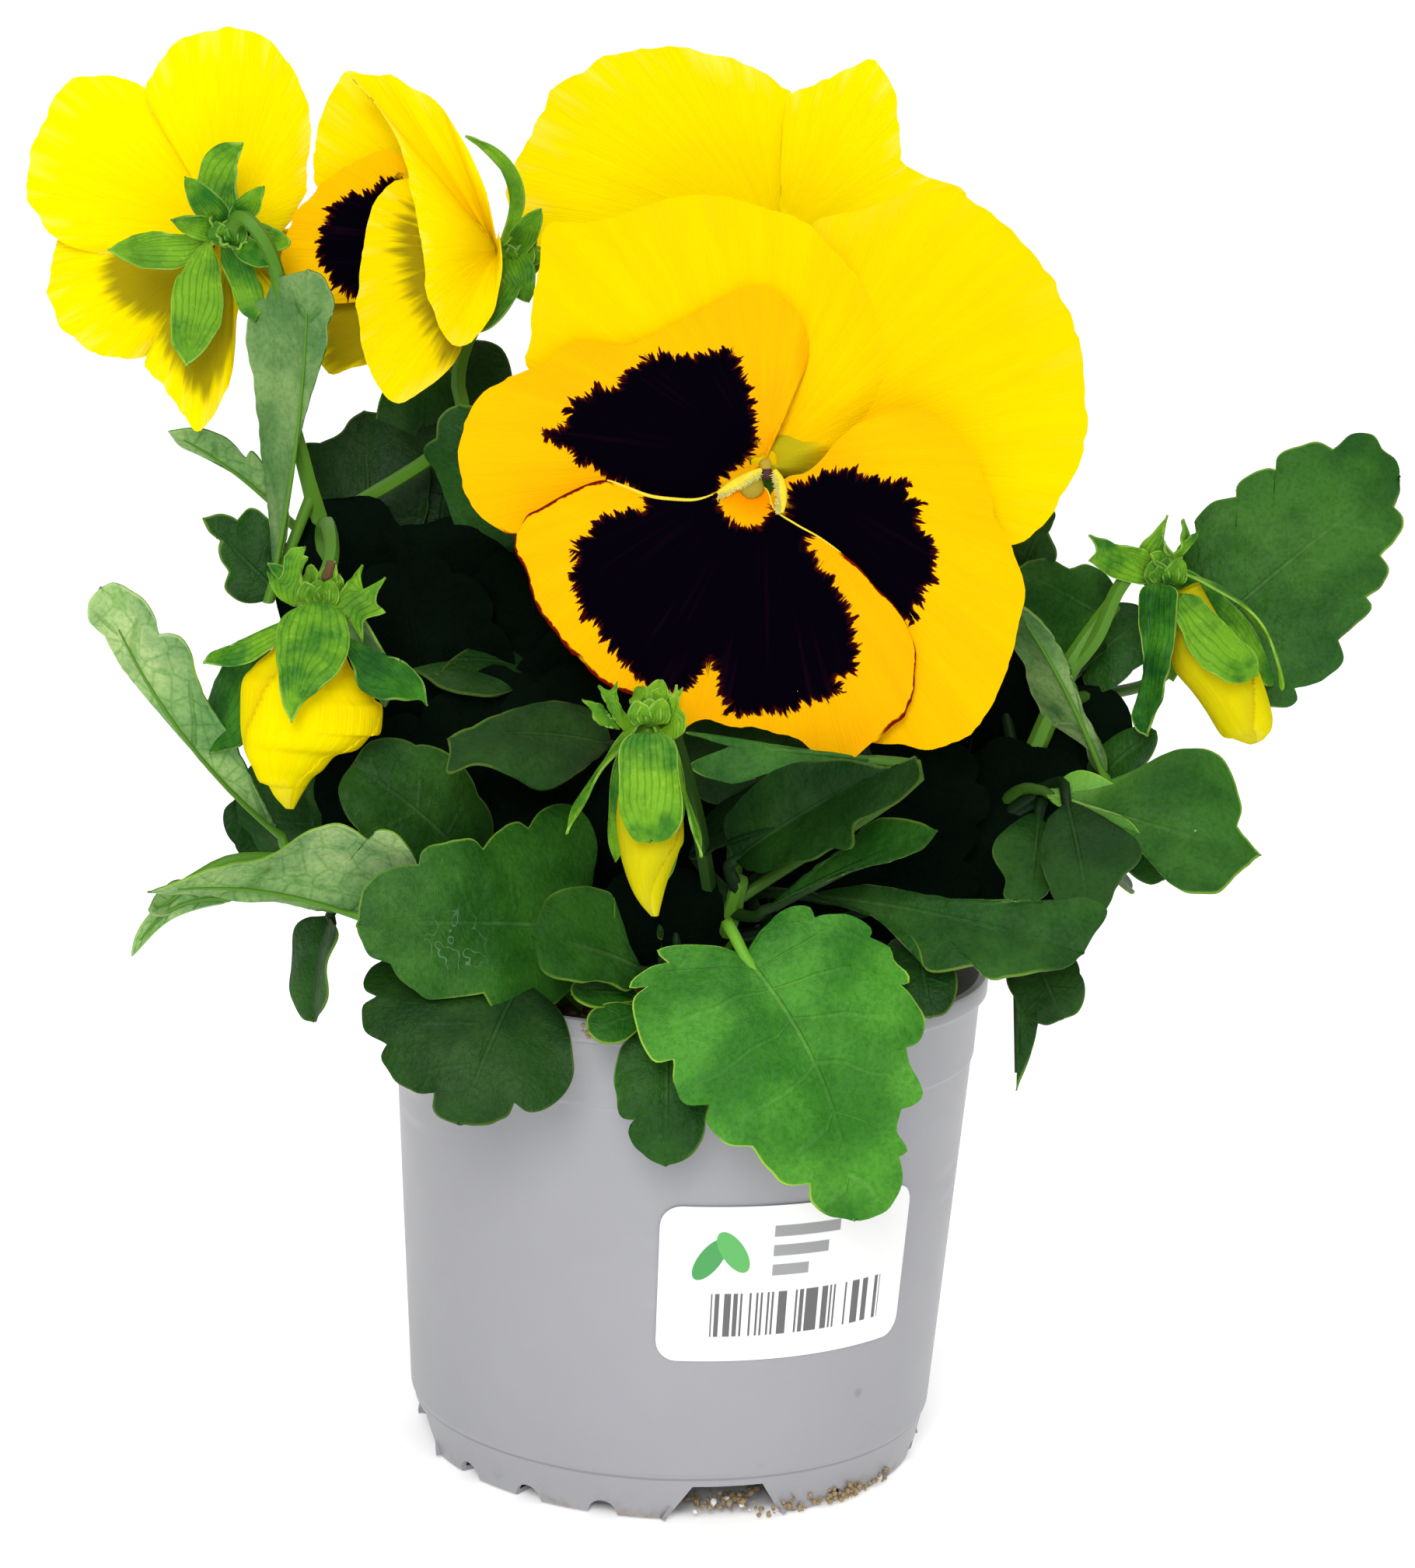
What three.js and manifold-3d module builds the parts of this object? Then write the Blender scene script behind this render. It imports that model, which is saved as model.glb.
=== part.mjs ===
// Potted pansy: a grey plastic nursery pot with soil, leafy stems, four open blooms and three buds.
// Millimetres, +Z up. The origin is the centre of the pot's underside, and the main bloom faces -Y.
import * as THREE from 'three';
import Module from 'manifold-3d';
import { mergeVertices } from 'three/addons/utils/BufferGeometryUtils.js';

const wasm = await Module();
wasm.setup();

// Pot, label and soil
const potHeight = 87;
const rimRadius = 52.5;
const lipHeight = 4;
const lipReach = 1.2;
const bandDepth = 14.5;
const bandRadius = 50.4;
const stepHeight = 8.5;
const stepRadius = 45.6;
const stepReach = 0.5;
const footRadius = 43.9;
const wall = 1;
const potSides = 32;
const channelTop = 12;
const channelFoot = 20;
const channelHeight = 6.5;
const channelStart = 16;
const channelTurn = 13.5;
const notchRadius = 2.6;
const soilLevel = 77;
const gap = 0.3;
const label = { turn: 24.5, height: 43, width: 46.5, tall: 27, corner: 3.5, thick: 0.5 };

// Blades
const leafThickness = 0.8;
const petalThickness = 0.8;
const sepalThickness = 0.8;
const sepalRoot = 1.5;
const petioleRadius = 1.2;
const plainStations = [0.08, 0.35, 0.7, 0.97];
const toothSpan = 8.5;
const earStations = [0.1, 0.5, 0.97];
const leastReach = 0.02;
const petalStart = 0.05;
const petalLift = 0.35;
const petalStep = 0.17;

// A form holds lobe, wide, heel, point, teeth a side and tooth depth
const forms = {
  heart: { lobe: 0.55, wide: 0.72, heel: 0.6, point: 1.35, teeth: 5, tooth: 0.05 },
  drop: { lobe: 0.3, wide: 0.75, heel: 0.7, point: 1.5, teeth: 4, tooth: 0.05 },
  oval: { lobe: 0.15, wide: 0.95, heel: 0.9, point: 1.05, teeth: 4, tooth: 0.05 },
  egg: { lobe: 0.35, wide: 0.85, heel: 0.8, point: 1.0, teeth: 3, tooth: 0.06 },
  spoon: { lobe: 0, wide: 1.5, heel: 1.3, point: 0.95, teeth: 3, tooth: 0.04 },
  pointed: { lobe: 0, wide: 1.35, heel: 1.8, point: 1.6, teeth: 3, tooth: 0.04 },
  lance: { lobe: 0, wide: 1.05, heel: 1.5, point: 1.5, teeth: 2, tooth: 0.03 },
  strap: { lobe: 0, wide: 1.2, heel: 1.0, point: 0.9, teeth: 2, tooth: 0.03 },
  sepal: { lobe: 0, wide: 0.85, heel: 0.8, point: 1.3, teeth: 0, tooth: 0 },
  tongue: { lobe: 0, wide: 1.1, heel: 0.7, point: 0.8, teeth: 0, tooth: 0 },
};

// Each stem has its radius and the points that it grows through
const stems = {
  front: [2.2, [[2, -14, 74], [4, -26, 88], [6, -38, 99], [8, -44, 110]]],
  left: [2.2, [[-14, -6, 74], [-30, -16, 90], [-48, -22, 102], [-62, -20, 108]]],
  tall: [2.2, [[-12, 10, 74], [-30, 10, 105], [-50, 4, 138], [-61, -1, 155], [-68, -6, 176]]],
  right: [2.4, [[12, -4, 74], [34, -6, 98], [54, -4, 118], [64, -5, 143], [70, -3, 152]]],
  back: [2.2, [[2, 14, 74], [4, 24, 100], [8, 28, 130], [8, 26, 150]]],
  rear_left: [2.2, [[-10, 20, 74], [-26, 34, 96], [-40, 42, 120]]],
  rear_right: [2.2, [[14, 16, 74], [30, 30, 96], [44, 38, 120]]],
};

// Leaf rows: stem, share along it, base, tip, way it faces, width, arch, fold in degrees, form, sideways bow
const leaves = [
  ['front', 0.75, [8, -57, 100], [28, -64, 60], [0.1, -0.95, 0.5], 38, 4, 8, 'heart', -3],
  ['left', 0.35, [-17, -42, 101], [-53, -56, 104], [-0.1, -0.9, 0.35], 34, 3, 6, 'oval', 0],
  ['left', 0.25, [-28, -50, 94], [-41, -66, 75], [0, -0.8, 0.5], 30, 4, 0, 'egg', 0],
  ['front', 0.45, [-6, -50, 95], [-24, -61, 104], [0, -0.8, 0.6], 18, 2, 5, 'spoon', 0],
  ['front', 0.35, [-3, -52, 92], [-3, -62, 67], [0, -1, 0.3], 17, 2, 8, 'spoon', 0],
  ['left', 0.95, [-68, -20, 109], [-97, -30, 152], [0.2, 0.95, 0.3], 13, -3, 5, 'spoon', 2],
  ['left', 0.7, [-54, -38, 101], [-87, -50, 105], [0, 0.6, 0.8], 26, 3, 28, 'drop', 0],
  ['left', 0.85, [-72, -30, 102], [-91, -36, 91], [0.3, 0.3, 0.9], 8, 1, 15, 'lance', 0],
  ['left', 0.8, [-58, -20, 96], [-63, -26, 79], [-0.8, -0.5, 0.2], 10, 1, 15, 'strap', 0],
  ['tall', 0.7, [-73, 5, 146], [-85, 8, 160], [-0.1, -0.9, 0.3], 15, 1, 5, 'egg', 0],
  ['tall', 0.9, [-72, -12, 151], [-70, -16, 204], [0.3, 0.8, 0], 11, 3, 20, 'strap', 0],
  ['tall', 0.8, [-75, 5, 163], [-92, 0, 173], [-0.2, 0.5, 0.8], 7, 1, 15, 'lance', 0],
  ['tall', 0.6, [-58, 15, 150], [-66, 22, 176], [0, -0.9, 0.4], 20, 1, 8, 'oval', 0],
  ['tall', 0.5, [-47, 18, 155], [-42, 26, 190], [-0.2, -0.9, 0.3], 20, 2, 8, 'oval', 0],
  ['tall', 0.45, [-25, 4, 148], [-45, -3, 181], [-0.3, -0.9, 0.3], 20, 2, 8, 'oval', 0],
  ['left', 0.3, [-15, -30, 131], [-41, -42, 133], [0, -0.6, 0.8], 15, 2, 8, 'oval', 0],
  ['tall', 0.3, [-28, -5, 141], [-46, -16, 136], [0, -0.5, 0.9], 14, 2, 8, 'oval', 0],
  ['left', 0.5, [-37, -28, 108], [-56, -33, 124], [0, -0.8, 0.6], 20, 2, 8, 'oval', 0],
  ['front', 0.9, [2, -36, 114], [27, -51, 128], [0, -0.5, 0.9], 16, 2, 15, 'oval', 0],
  ['front', 0.95, [7, -48, 114], [35, -62, 135], [0.4, -0.7, 0.7], 20, 2, 25, 'oval', 0],
  ['front', 0.85, [12, -48, 106], [38, -62, 123], [0.1, -0.8, 0.6], 12, 1, 5, 'lance', 0],
  ['right', 0.15, [19, -38, 109], [63, -52, 102], [0, -0.8, 0.6], 22, 3, 12, 'oval', 0],
  ['right', 0.5, [62, -22, 121], [67, -44, 109], [0, -0.8, 0.6], 19, 2, 5, 'egg', 0],
  ['right', 0.45, [58, -18, 118], [53, -38, 106], [0, -0.8, 0.6], 14, 2, 5, 'egg', 0],
  ['right', 0.55, [59, -14, 121], [95, -26, 112], [0, -0.8, 0.6], 27, 3, 10, 'pointed', 2],
  ['right', 0.8, [85, 10, 144], [121, 20, 175], [-0.3, -0.9, 0.3], 33, 3, 6, 'oval', 0],
  ['right', 0.7, [70, -8, 123], [51, -20, 154], [0.3, 0.7, 0.5], 15, 2, 15, 'lance', 0],
  ['right', 0.9, [71, 10, 144], [53, 4, 152], [0, -0.8, 0.6], 14, 1, 5, 'egg', 0],
  ['right', 0.65, [54, 8, 152], [60, 10, 167], [0, -0.9, 0.3], 14, 1, 5, 'egg', 0],
  ['right', 0.75, [66, 2, 140], [77, 4, 149], [0, -0.8, 0.6], 12, 1, 5, 'egg', 0],
  ['right', 0.3, [56, -30, 95], [56, -34, 74], [0.9, -0.4, 0], 9, 0, 15, 'lance', 0],
  ['left', 0.75, [-58, -15, 110], [-62, -20, 123], [0, -0.9, 0.4], 10, 1, 5, 'egg', 0],
  ['back', 0.3, [-6, 40, 98], [-20, 66, 84], [0, 0.8, 0.6], 30, 3, 6, 'oval', 0],
  ['back', 0.35, [14, 44, 100], [28, 70, 90], [0.2, 0.8, 0.6], 30, 3, 6, 'oval', 0],
  ['back', 0.6, [2, 46, 118], [-6, 72, 116], [0, 0.5, 0.9], 26, 3, 8, 'oval', 0],
  ['back', 0.7, [18, 42, 128], [32, 60, 138], [0.2, 0.6, 0.8], 24, 3, 8, 'oval', 0],
  ['back', 0.8, [-6, 42, 134], [-16, 62, 146], [0, 0.8, 0.6], 22, 2, 8, 'oval', 0],
  ['rear_left', 0.5, [-38, 44, 98], [-62, 60, 88], [-0.4, 0.6, 0.7], 30, 3, 6, 'oval', 0],
  ['rear_left', 0.95, [-50, 42, 118], [-76, 52, 122], [-0.3, 0.3, 0.9], 24, 3, 8, 'oval', 0],
  ['rear_left', 0.9, [-38, 48, 126], [-44, 66, 142], [-0.2, 0.8, 0.5], 20, 2, 8, 'egg', 0],
  ['rear_left', 0.6, [-50, 30, 104], [-78, 30, 98], [-0.5, 0, 0.9], 22, 3, 8, 'oval', 0],
  ['rear_right', 0.5, [42, 42, 98], [64, 56, 88], [0.4, 0.6, 0.7], 30, 3, 6, 'oval', 0],
  ['rear_right', 0.95, [54, 40, 118], [78, 48, 120], [0.3, 0.3, 0.9], 24, 3, 8, 'oval', 0],
  ['rear_right', 0.9, [50, 46, 128], [62, 60, 144], [0.2, 0.8, 0.5], 20, 2, 8, 'egg', 0],
  ['rear_right', 0.6, [54, 28, 104], [80, 26, 96], [0.5, 0, 0.9], 22, 3, 8, 'oval', 0],
];

// A bloom's plane has its throat, the way it faces (turn from -Y, lift, roll), and petals as outlines.
// An outline point holds how far right, up and forward of the throat it lies.
const blooms = {
  front: {
    stem: 'front', share: 0.9, throat: [9, -30, 176], turn: 0, lift: 11, roll: 2.5, bulge: 2,
    stalk: [[9, -20, 177], [9, -12, 177], [8, -5, 168], [6, -6, 140]],
    petals: [
      [[10, -5, -7], [28, -12, -7], [39, -13, -7], [46, -3, -7], [51, 9, -7], [50, 17, -7], [40, 38, -7],
        [32, 42.5, -7], [26, 45.5, -7], [7, 38, -7], [0, 6, -7]],
      [[8, 1, -4], [19, 8, -4], [20, 21, -4], [14, 32, -4], [4, 41, -4], [-7, 44, -4], [-16, 43.5, -4],
        [-28, 39, -4], [-35.5, 38.5, -4], [-38, 22, -4], [-37, 13, -4], [-6, 1, -4]],
      [[3, 7, -0.5], [6.5, 17, -0.5], [5, 24, -0.5], [-1, 28.5, -0.5], [-9, 26, -0.5], [-18, 20.5, -0.5],
        [-31, 18.5, -0.5], [-43, 13, -0.5], [-49.5, 1.5, -0.5], [-48, -5, -0.5], [-41, -12, -0.5],
        [-9, -8, -0.5]],
      [[2, -7, 2], [14, -38, 2], [21, -46, 2], [28, -44.5, 2], [37, -33, 2], [40.5, -22, 2], [36.5, -10, 2],
        [35, -4, 2], [29, 5, 2], [22, 9, 2], [9, 5, 2]],
      [[-9, -1, 5], [-26, -4, 5], [-38, -9, 5], [-40.5, -16, 5], [-36, -25, 5], [-29, -32.5, 5],
        [-18, -38, 5], [-12, -44, 5], [1, -43.5, 5], [12, -47.5, 5], [22, -41, 5], [24, -29, 5],
        [18, -20, 5], [7, -7, 5]],
    ],
  },
  left: {
    stem: 'tall', share: 1, throat: [-83, 4, 208], turn: 180, lift: -11, roll: -2.5, bulge: -2,
    stalk: [[-81, -8, 208], [-78, -14, 211], [-75, -14, 208], [-73, -11, 203], [-72, -9, 197], [-71, -6, 189]],
    petals: [
      [[-4, -2, 3], [-9, 2, 3], [-13, 8, 3], [-14, 18, 3], [-12, 25, 3], [-8, 31, 3], [-2, 34.5, 3],
        [4, 33.5, 3], [10, 30, 3], [14, 22, 3], [12, 12, 3], [4, 3, 3]],
      [[1, 6, 6], [8, 18, 6], [13, 25, 6], [20, 26.5, 6], [26, 25, 6], [30, 21, 6], [32.5, 13, 6],
        [32.5, 8, 6], [30, 1, 6], [27, -3, 6], [16, -3, 6], [5, -2, 6]],
      [[4, 0.5, 9], [16, 0, 9], [27, -3, 9], [30, -8, 9], [29, -13, 9], [24, -18, 9], [18, -21, 9],
        [12, -19, 9], [7, -12, 9], [2, -4, 9]],
      [[-2, 0.8, 12], [-8, 2, 12], [-16, 2, 12], [-17, -5, 12], [-12, -12, 12], [-6, -12, 12], [-1.6, -4, 12]],
      [[6, -6, 0], [12, -17, 0], [15, -22, 0], [11, -26, 0], [7.5, -30, 0], [4, -33, 0], [1, -29, 0],
        [-1.5, -20, 0], [-4.5, -15, 0], [-2, -5, 0]],
    ],
  },
  side: {
    stem: 'tall', share: 0.85, throat: [-37, 5, 206], turn: 0, lift: 11, roll: 2.5, bulge: 1,
    stalk: [[-34, 5, 206], [-31, 9, 206], [-33, 15, 203], [-42, 15, 192], [-44, 14, 184], [-43, 13, 176]],
    petals: [
      [[-1, 4, -4], [-6, 18, -4], [-15, 27, -4], [-25, 31, -4], [-29.5, 22, -4], [-30, 13, -4], [-24, 3, -4],
        [-8, -2, -4]],
      [[-5, -1, -4], [-20, -4.5, -4], [-31, -8, -4], [-29, -19, -4], [-23, -19, -4], [-12, -13, -4], [-4, -7, -4]],
      [[-4, 5, 0], [-19, 17.5, 0], [-27, 14, 0], [-32.5, 7, 0], [-36, 0, 1], [-35.5, -5, 1], [-28, -9, 0],
        [-14, -8, 0], [-4, -4, 0]],
      [[-4, 6, 4], [-15.5, 13, 5], [-21, 5, 6], [-24, -8, 6], [-22, -19, 6], [-17.5, -25, 6], [-11.5, -22, 6],
        [-6, -15, 6], [-2, -6, 4]],
      [[1, 5, 9], [-4, 16, 10], [-10, 26, 9], [-18, 31, 8], [-25, 31, 7], [-18, 21, 10], [-15.5, 11, 12],
        [-12, 0, 13], [-9.5, -12, 13], [-6, -15, 12], [-2.5, -12, 9], [0.5, -4, 8]],
    ],
  },
  rear: {
    stem: 'back', share: 0.95, throat: [11, 33, 215], turn: 180, lift: -11, roll: -2.5, bulge: -1,
    stalk: [[11, 24, 215], [11, 16, 214], [10, 14, 205], [9, 18, 185], [8, 26, 160]],
    petals: [
      [[3, -3, 3], [20, -8, 3], [40, -8, 3], [49, -3, 3], [46.5, 8, 3], [43, 15, 3], [39, 21, 3],
        [34, 24, 3], [30, 26.5, 3], [18, 28.5, 3], [8, 26.5, 3], [1, 22, 3], [0, 8, 3]],
      [[1, 6, 0], [1, 20, 0], [-5, 23, 0], [-10, 24.5, 0], [-17, 27, 0], [-20.5, 21, 0], [-21, 14, 0],
        [-26, 6, 0], [-33, 3, 0], [-38, -6, 0], [-30, -14, 0], [-14, -8, 0], [-3, -2, 0]],
      [[5, 1.5, 6], [16, 4, 6], [27, 4, 6], [34, -4, 6], [34, -14, 6], [27, -22, 6], [17, -22, 6],
        [6, -8, 6]],
      [[-5, 1.5, 9], [-16, 4, 9], [-25, 4, 9], [-32, -4, 9], [-32, -14, 9], [-25, -22, 9], [-16, -22, 9],
        [-5, -8, 9]],
      [[7, -3.5, 12], [20, -12, 12], [24, -22, 12], [20, -32, 12], [9, -39, 12], [0, -37, 12], [-9, -39, 12],
        [-19, -32, 12], [-23, -22, 12], [-19, -12, 12], [-6, -3.2, 12]],
    ],
  },
};

// Sepals of the open blooms: base, tip, way they face, width, arch, fold, form
const sepals = {
  front: [
    [[8, -22, 180], [4, -15, 194], [0, 1, 0.3], 7, 2, 10, 'sepal'],
    [[12, -22, 180], [20, -16, 191], [0.3, 1, 0.3], 7, 2, 10, 'sepal'],
    [[5, -22, 176], [-8, -16, 174], [-0.2, 1, 0], 7, 2, 10, 'sepal'],
    [[13, -22, 175], [24, -17, 169], [0.2, 1, 0], 7, 2, 10, 'sepal'],
    [[8, -23, 172], [6, -22, 158], [0, 1, -0.2], 8, 2, 10, 'sepal'],
  ],
  left: [
    [[-84, -6, 211], [-78, -9, 223], [0, -1, 0.2], 6.5, -2, 10, 'sepal'],
    [[-86, -6, 207], [-101, -8, 204], [0, -1, 0], 6.5, -2, 10, 'sepal'],
    [[-84, -7, 205], [-87, -10, 186], [0, -1, -0.2], 8, -2, 10, 'sepal'],
    [[-81, -6, 204], [-78, -7, 193], [0, -1, 0], 5, -2, 10, 'sepal'],
    [[-79, -9, 209], [-71, -8, 207], [0, -1, 0], 5, -2, 10, 'sepal'],
  ],
  side: [
    [[-35, 3, 212], [-40, 0, 226], [0.8, 0, 0.5], 5, 6, 10, 'sepal'],
    [[-34, 2, 208], [-27, 1, 216], [0.2, -0.9, 0.3], 6, 1, 10, 'sepal'],
    [[-34, 1, 202], [-38, -9, 193], [0.6, -0.6, 0], 7, 2, 10, 'sepal'],
    [[-33, 2, 201], [-30, 2, 192], [0.9, -0.3, 0], 7, 1, 10, 'sepal'],
    [[-33, 9, 208], [-34, 16, 218], [0.6, 0.6, 0], 6, 1, 10, 'sepal'],
  ],
  rear: [
    [[11, 24, 219], [12, 27, 232], [0, -1, 0.2], 7, -2, 10, 'sepal'],
    [[14, 24, 217], [26, 27, 222], [0, -1, 0.2], 7, -2, 10, 'sepal'],
    [[8, 24, 217], [-4, 27, 220], [0, -1, 0.2], 7, -2, 10, 'sepal'],
    [[13, 24, 212], [20, 26, 202], [0, -1, 0], 7, -2, 10, 'sepal'],
    [[8, 24, 212], [2, 26, 201], [0, -1, 0], 7, -2, 10, 'sepal'],
  ],
};

// Buds: stalk, crown, the twist of yellow petals from base to tip, and sepals
const buds = {
  left: {
    stem: 'left', share: 0.6, crown: [-62, -32, 154], radius: 4,
    stalk: [[-62, -31, 158], [-61, -26, 163], [-58, -20, 158], [-53, -18, 140]],
    twist: { base: [-63, -34, 147], tip: [-64, -37, 117], width: 17, depth: 11 },
    sepals: [
      [[-63, -41, 151], [-65, -49, 134], [0, -1, 0.4], 12, 1, 5, 'sepal'],
      [[-66, -37, 150], [-80, -38, 140], [-0.3, -0.4, 0.9], 5, 2, 10, 'sepal'],
      [[-69, -29, 149], [-79, -26, 124], [-0.9, -0.3, 0.3], 12, 5, 0, 'sepal'],
      [[-57, -37, 148], [-42, -40, 135], [0.3, -0.8, 0.5], 10, 2, 8, 'sepal'],
      [[-57, -29, 149], [-52, -22, 132], [0.7, 0.7, 0.3], 10, 2, 8, 'sepal'],
    ],
    ears: [[-70, -35, 156], [-65, -31, 161], [-55, -29, 157], [-50, -35, 156], [-52, -39, 151], [-68, -38, 154]],
  },
  middle: {
    stem: 'front', share: 0.6, crown: [-7, -60, 139], radius: 3.6,
    stalk: [[-7, -59, 143], [-7, -53, 146], [-5, -48, 138], [0, -46, 122]],
    twist: { base: [-7, -60, 134], tip: [-5, -61, 107], width: 12, depth: 10 },
    sepals: [
      [[-7, -65, 137], [-6, -68, 120], [0, -1, 0.2], 10, 1, 5, 'tongue'],
      [[-12, -60, 134], [-19, -67, 121], [-0.9, 0, 0.3], 3, 2, 0, 'sepal'],
      [[-2, -60, 133], [4, -66, 118], [0.9, 0, 0.3], 3, 2, 0, 'sepal'],
      [[-11, -56, 135], [-12, -52, 114], [-0.9, 0.5, 0], 5, 2, 0, 'sepal'],
      [[-3, -56, 135], [-2, -51, 112], [0.7, 0.7, 0], 6, 2, 0, 'sepal'],
    ],
    ears: [[-17, -60, 142], [-14, -62, 145], [-11, -60, 146], [-4, -62, 146], [-3, -59, 143]],
  },
  right: {
    stem: 'right', share: 0.85, crown: [78, -5, 158], radius: 3.6,
    stalk: [[77, -5, 161], [73, -5, 161], [70, -6, 156], [67, -6, 150], [64, -6, 143], [61, -5, 134]],
    twist: { base: [81, -5, 154], tip: [96, -4, 130], width: 11, depth: 9 },
    sepals: [
      [[77, -9, 157], [75, -13, 131], [-0.5, -0.8, 0.2], 6, 2, 10, 'sepal'],
      [[82, -10, 156], [93, -12, 141], [0.2, -1, 0.2], 9, 1, 5, 'tongue'],
      [[83, -6, 158], [99, -8, 140], [0.6, 0, 0.8], 3.5, 6, 0, 'sepal'],
      [[83, 0, 156], [98, 3, 137], [0.5, 0.8, 0.3], 7, 2, 5, 'sepal'],
      [[78, 1, 156], [82, 4, 138], [-0.3, 0.9, 0], 7, 2, 5, 'sepal'],
    ],
    ears: [[66, -7, 163], [79, -3, 167], [81, -7, 166], [66, -8, 159], [84, -2, 164]],
  },
};

// Plain helpers
const vector = ([x, y, z]) => new THREE.Vector3(x, y, z);
const mix = (a, b, share) => a + (b - a) * share;

function solid(points, triangles) {
  const flat = Float32Array.from(points.flatMap((p) => [p.x, p.y, p.z]));
  const make = (order) => new wasm.Manifold(
    new wasm.Mesh({ numProp: 3, vertProperties: flat, triVerts: Uint32Array.from(order) }));
  const made = make(triangles.flat());
  return made.volume() > 0 ? made : make(triangles.map(([a, b, c]) => [a, c, b]).flat());
}

// A closed blade from a grid of points, with both faces split into triangles alike
function blade(grid, usual) {
  const rows = grid.length;
  const columns = grid[0].length;
  const points = [];
  for (const side of [0.5, -0.5]) {
    for (const row of grid) {
      for (const { point, normal, thickness = usual } of row) {
        points.push(point.clone().addScaledVector(normal, side * thickness));
      }
    }
  }
  const under = rows * columns;
  const at = (i, j) => i * columns + j;
  const triangles = [];
  for (let i = 0; i < rows - 1; i++) {
    for (let j = 0; j < columns - 1; j++) {
      const [a, b, c, d] = [at(i, j), at(i + 1, j), at(i + 1, j + 1), at(i, j + 1)];
      triangles.push([a, b, c], [a, c, d]);
      triangles.push([a + under, c + under, b + under], [a + under, d + under, c + under]);
    }
  }
  const edge = [];
  for (let j = 0; j < columns; j++) edge.push(at(0, j));
  for (let i = 1; i < rows; i++) edge.push(at(i, columns - 1));
  for (let j = columns - 2; j >= 0; j--) edge.push(at(rows - 1, j));
  for (let i = rows - 2; i > 0; i--) edge.push(at(i, 0));
  edge.forEach((here, k) => {
    const next = edge[(k + 1) % edge.length];
    triangles.push([here, next, next + under], [here, next + under, here + under]);
  });
  return solid(points, triangles);
}

// A closed round body through rings of points, from a path and a radius for each step
function rod(path, steps, sides, radiusAt, flatness = 1) {
  const curve = new THREE.CatmullRomCurve3(path, false, 'centripetal');
  const frames = curve.computeFrenetFrames(steps, false);
  const points = [];
  const triangles = [];
  for (let i = 0; i <= steps; i++) {
    const centre = curve.getPointAt(i / steps);
    for (let k = 0; k < sides; k++) {
      const turn = (2 * Math.PI * k) / sides;
      points.push(centre.clone()
        .addScaledVector(frames.normals[i], Math.cos(turn) * radiusAt(i / steps))
        .addScaledVector(frames.binormals[i], Math.sin(turn) * radiusAt(i / steps) * flatness));
    }
  }
  for (let i = 0; i < steps; i++) {
    for (let k = 0; k < sides; k++) {
      const next = (k + 1) % sides;
      const [a, b, c, d] = [i * sides + k, i * sides + next, (i + 1) * sides + next, (i + 1) * sides + k];
      triangles.push([a, b, c], [a, c, d]);
    }
  }
  for (let k = 1; k < sides - 1; k++) {
    triangles.push([0, k + 1, k]);
    triangles.push([steps * sides, steps * sides + k, steps * sides + k + 1]);
  }
  return solid(points, triangles);
}

function ball(centre, radius) {
  return fromGeometry(new THREE.IcosahedronGeometry(radius, 0).translate(centre.x, centre.y, centre.z));
}

function fromGeometry(geometry) {
  const bare = geometry.clone();
  bare.deleteAttribute('normal');
  bare.deleteAttribute('uv');
  const merged = mergeVertices(bare.index ? bare.toNonIndexed() : bare, 1e-4);
  const place = merged.attributes.position;
  const points = Array.from({ length: place.count }, (_, i) => new THREE.Vector3().fromBufferAttribute(place, i));
  const order = Array.from(merged.index.array);
  const triangles = [];
  for (let i = 0; i < order.length; i += 3) {
    const [a, b, c] = order.slice(i, i + 3);
    if (a !== b && b !== c && a !== c) triangles.push([a, b, c]);
  }
  return solid(points, triangles);
}

// The largest single body of a joined solid
function oneBody(joined) {
  const bodies = joined.decompose();
  return bodies.reduce((best, body) => (body.volume() > best.volume() ? body : best));
}

const join = (parts) => parts.reduce((sum, part) => sum.add(part));

// Leaves
function leafOutline(form, length, width, share) {
  const away = Math.PI * share;
  const along = length * ((1 - Math.cos(away)) / 2 - form.lobe * Math.sin(away) * (1 - share) ** 3);
  const swell = Math.max(Math.sin(Math.PI * share ** form.wide), 0);
  return [along, (width / 2) * swell ** mix(form.heel, form.point, share)];
}

// Narrow leaves have fewer teeth, and the narrowest have none
function teethOf(form, width) {
  const teeth = Math.min(form.teeth, Math.round(width / toothSpan));
  return teeth > 1 ? teeth : 0;
}

function toothedOutline(form, length, width, share) {
  const [along, out] = leafOutline(form, length, width, share);
  const [ahead, aheadOut] = leafOutline(form, length, width, Math.min(share + 0.01, 1));
  const [behind, behindOut] = leafOutline(form, length, width, Math.max(share - 0.01, 0));
  const run = Math.hypot(ahead - behind, aheadOut - behindOut) || 1;
  const place = ((share * teethOf(form, width)) % 1) ** 0.8;
  const depth = form.tooth * width * Math.sin(Math.PI * place) ** 0.6 * Math.min(1, 6 * (1 - share));
  return [along - (depth * (aheadOut - behindOut)) / run, out + (depth * (ahead - behind)) / run];
}

function bladeFrame(base, tip, face) {
  const chord = tip.clone().sub(base);
  const ahead = chord.clone().normalize();
  const normal = face.clone().addScaledVector(ahead, -face.dot(ahead)).normalize();
  return { chord, normal, across: new THREE.Vector3().crossVectors(ahead, normal) };
}

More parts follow.
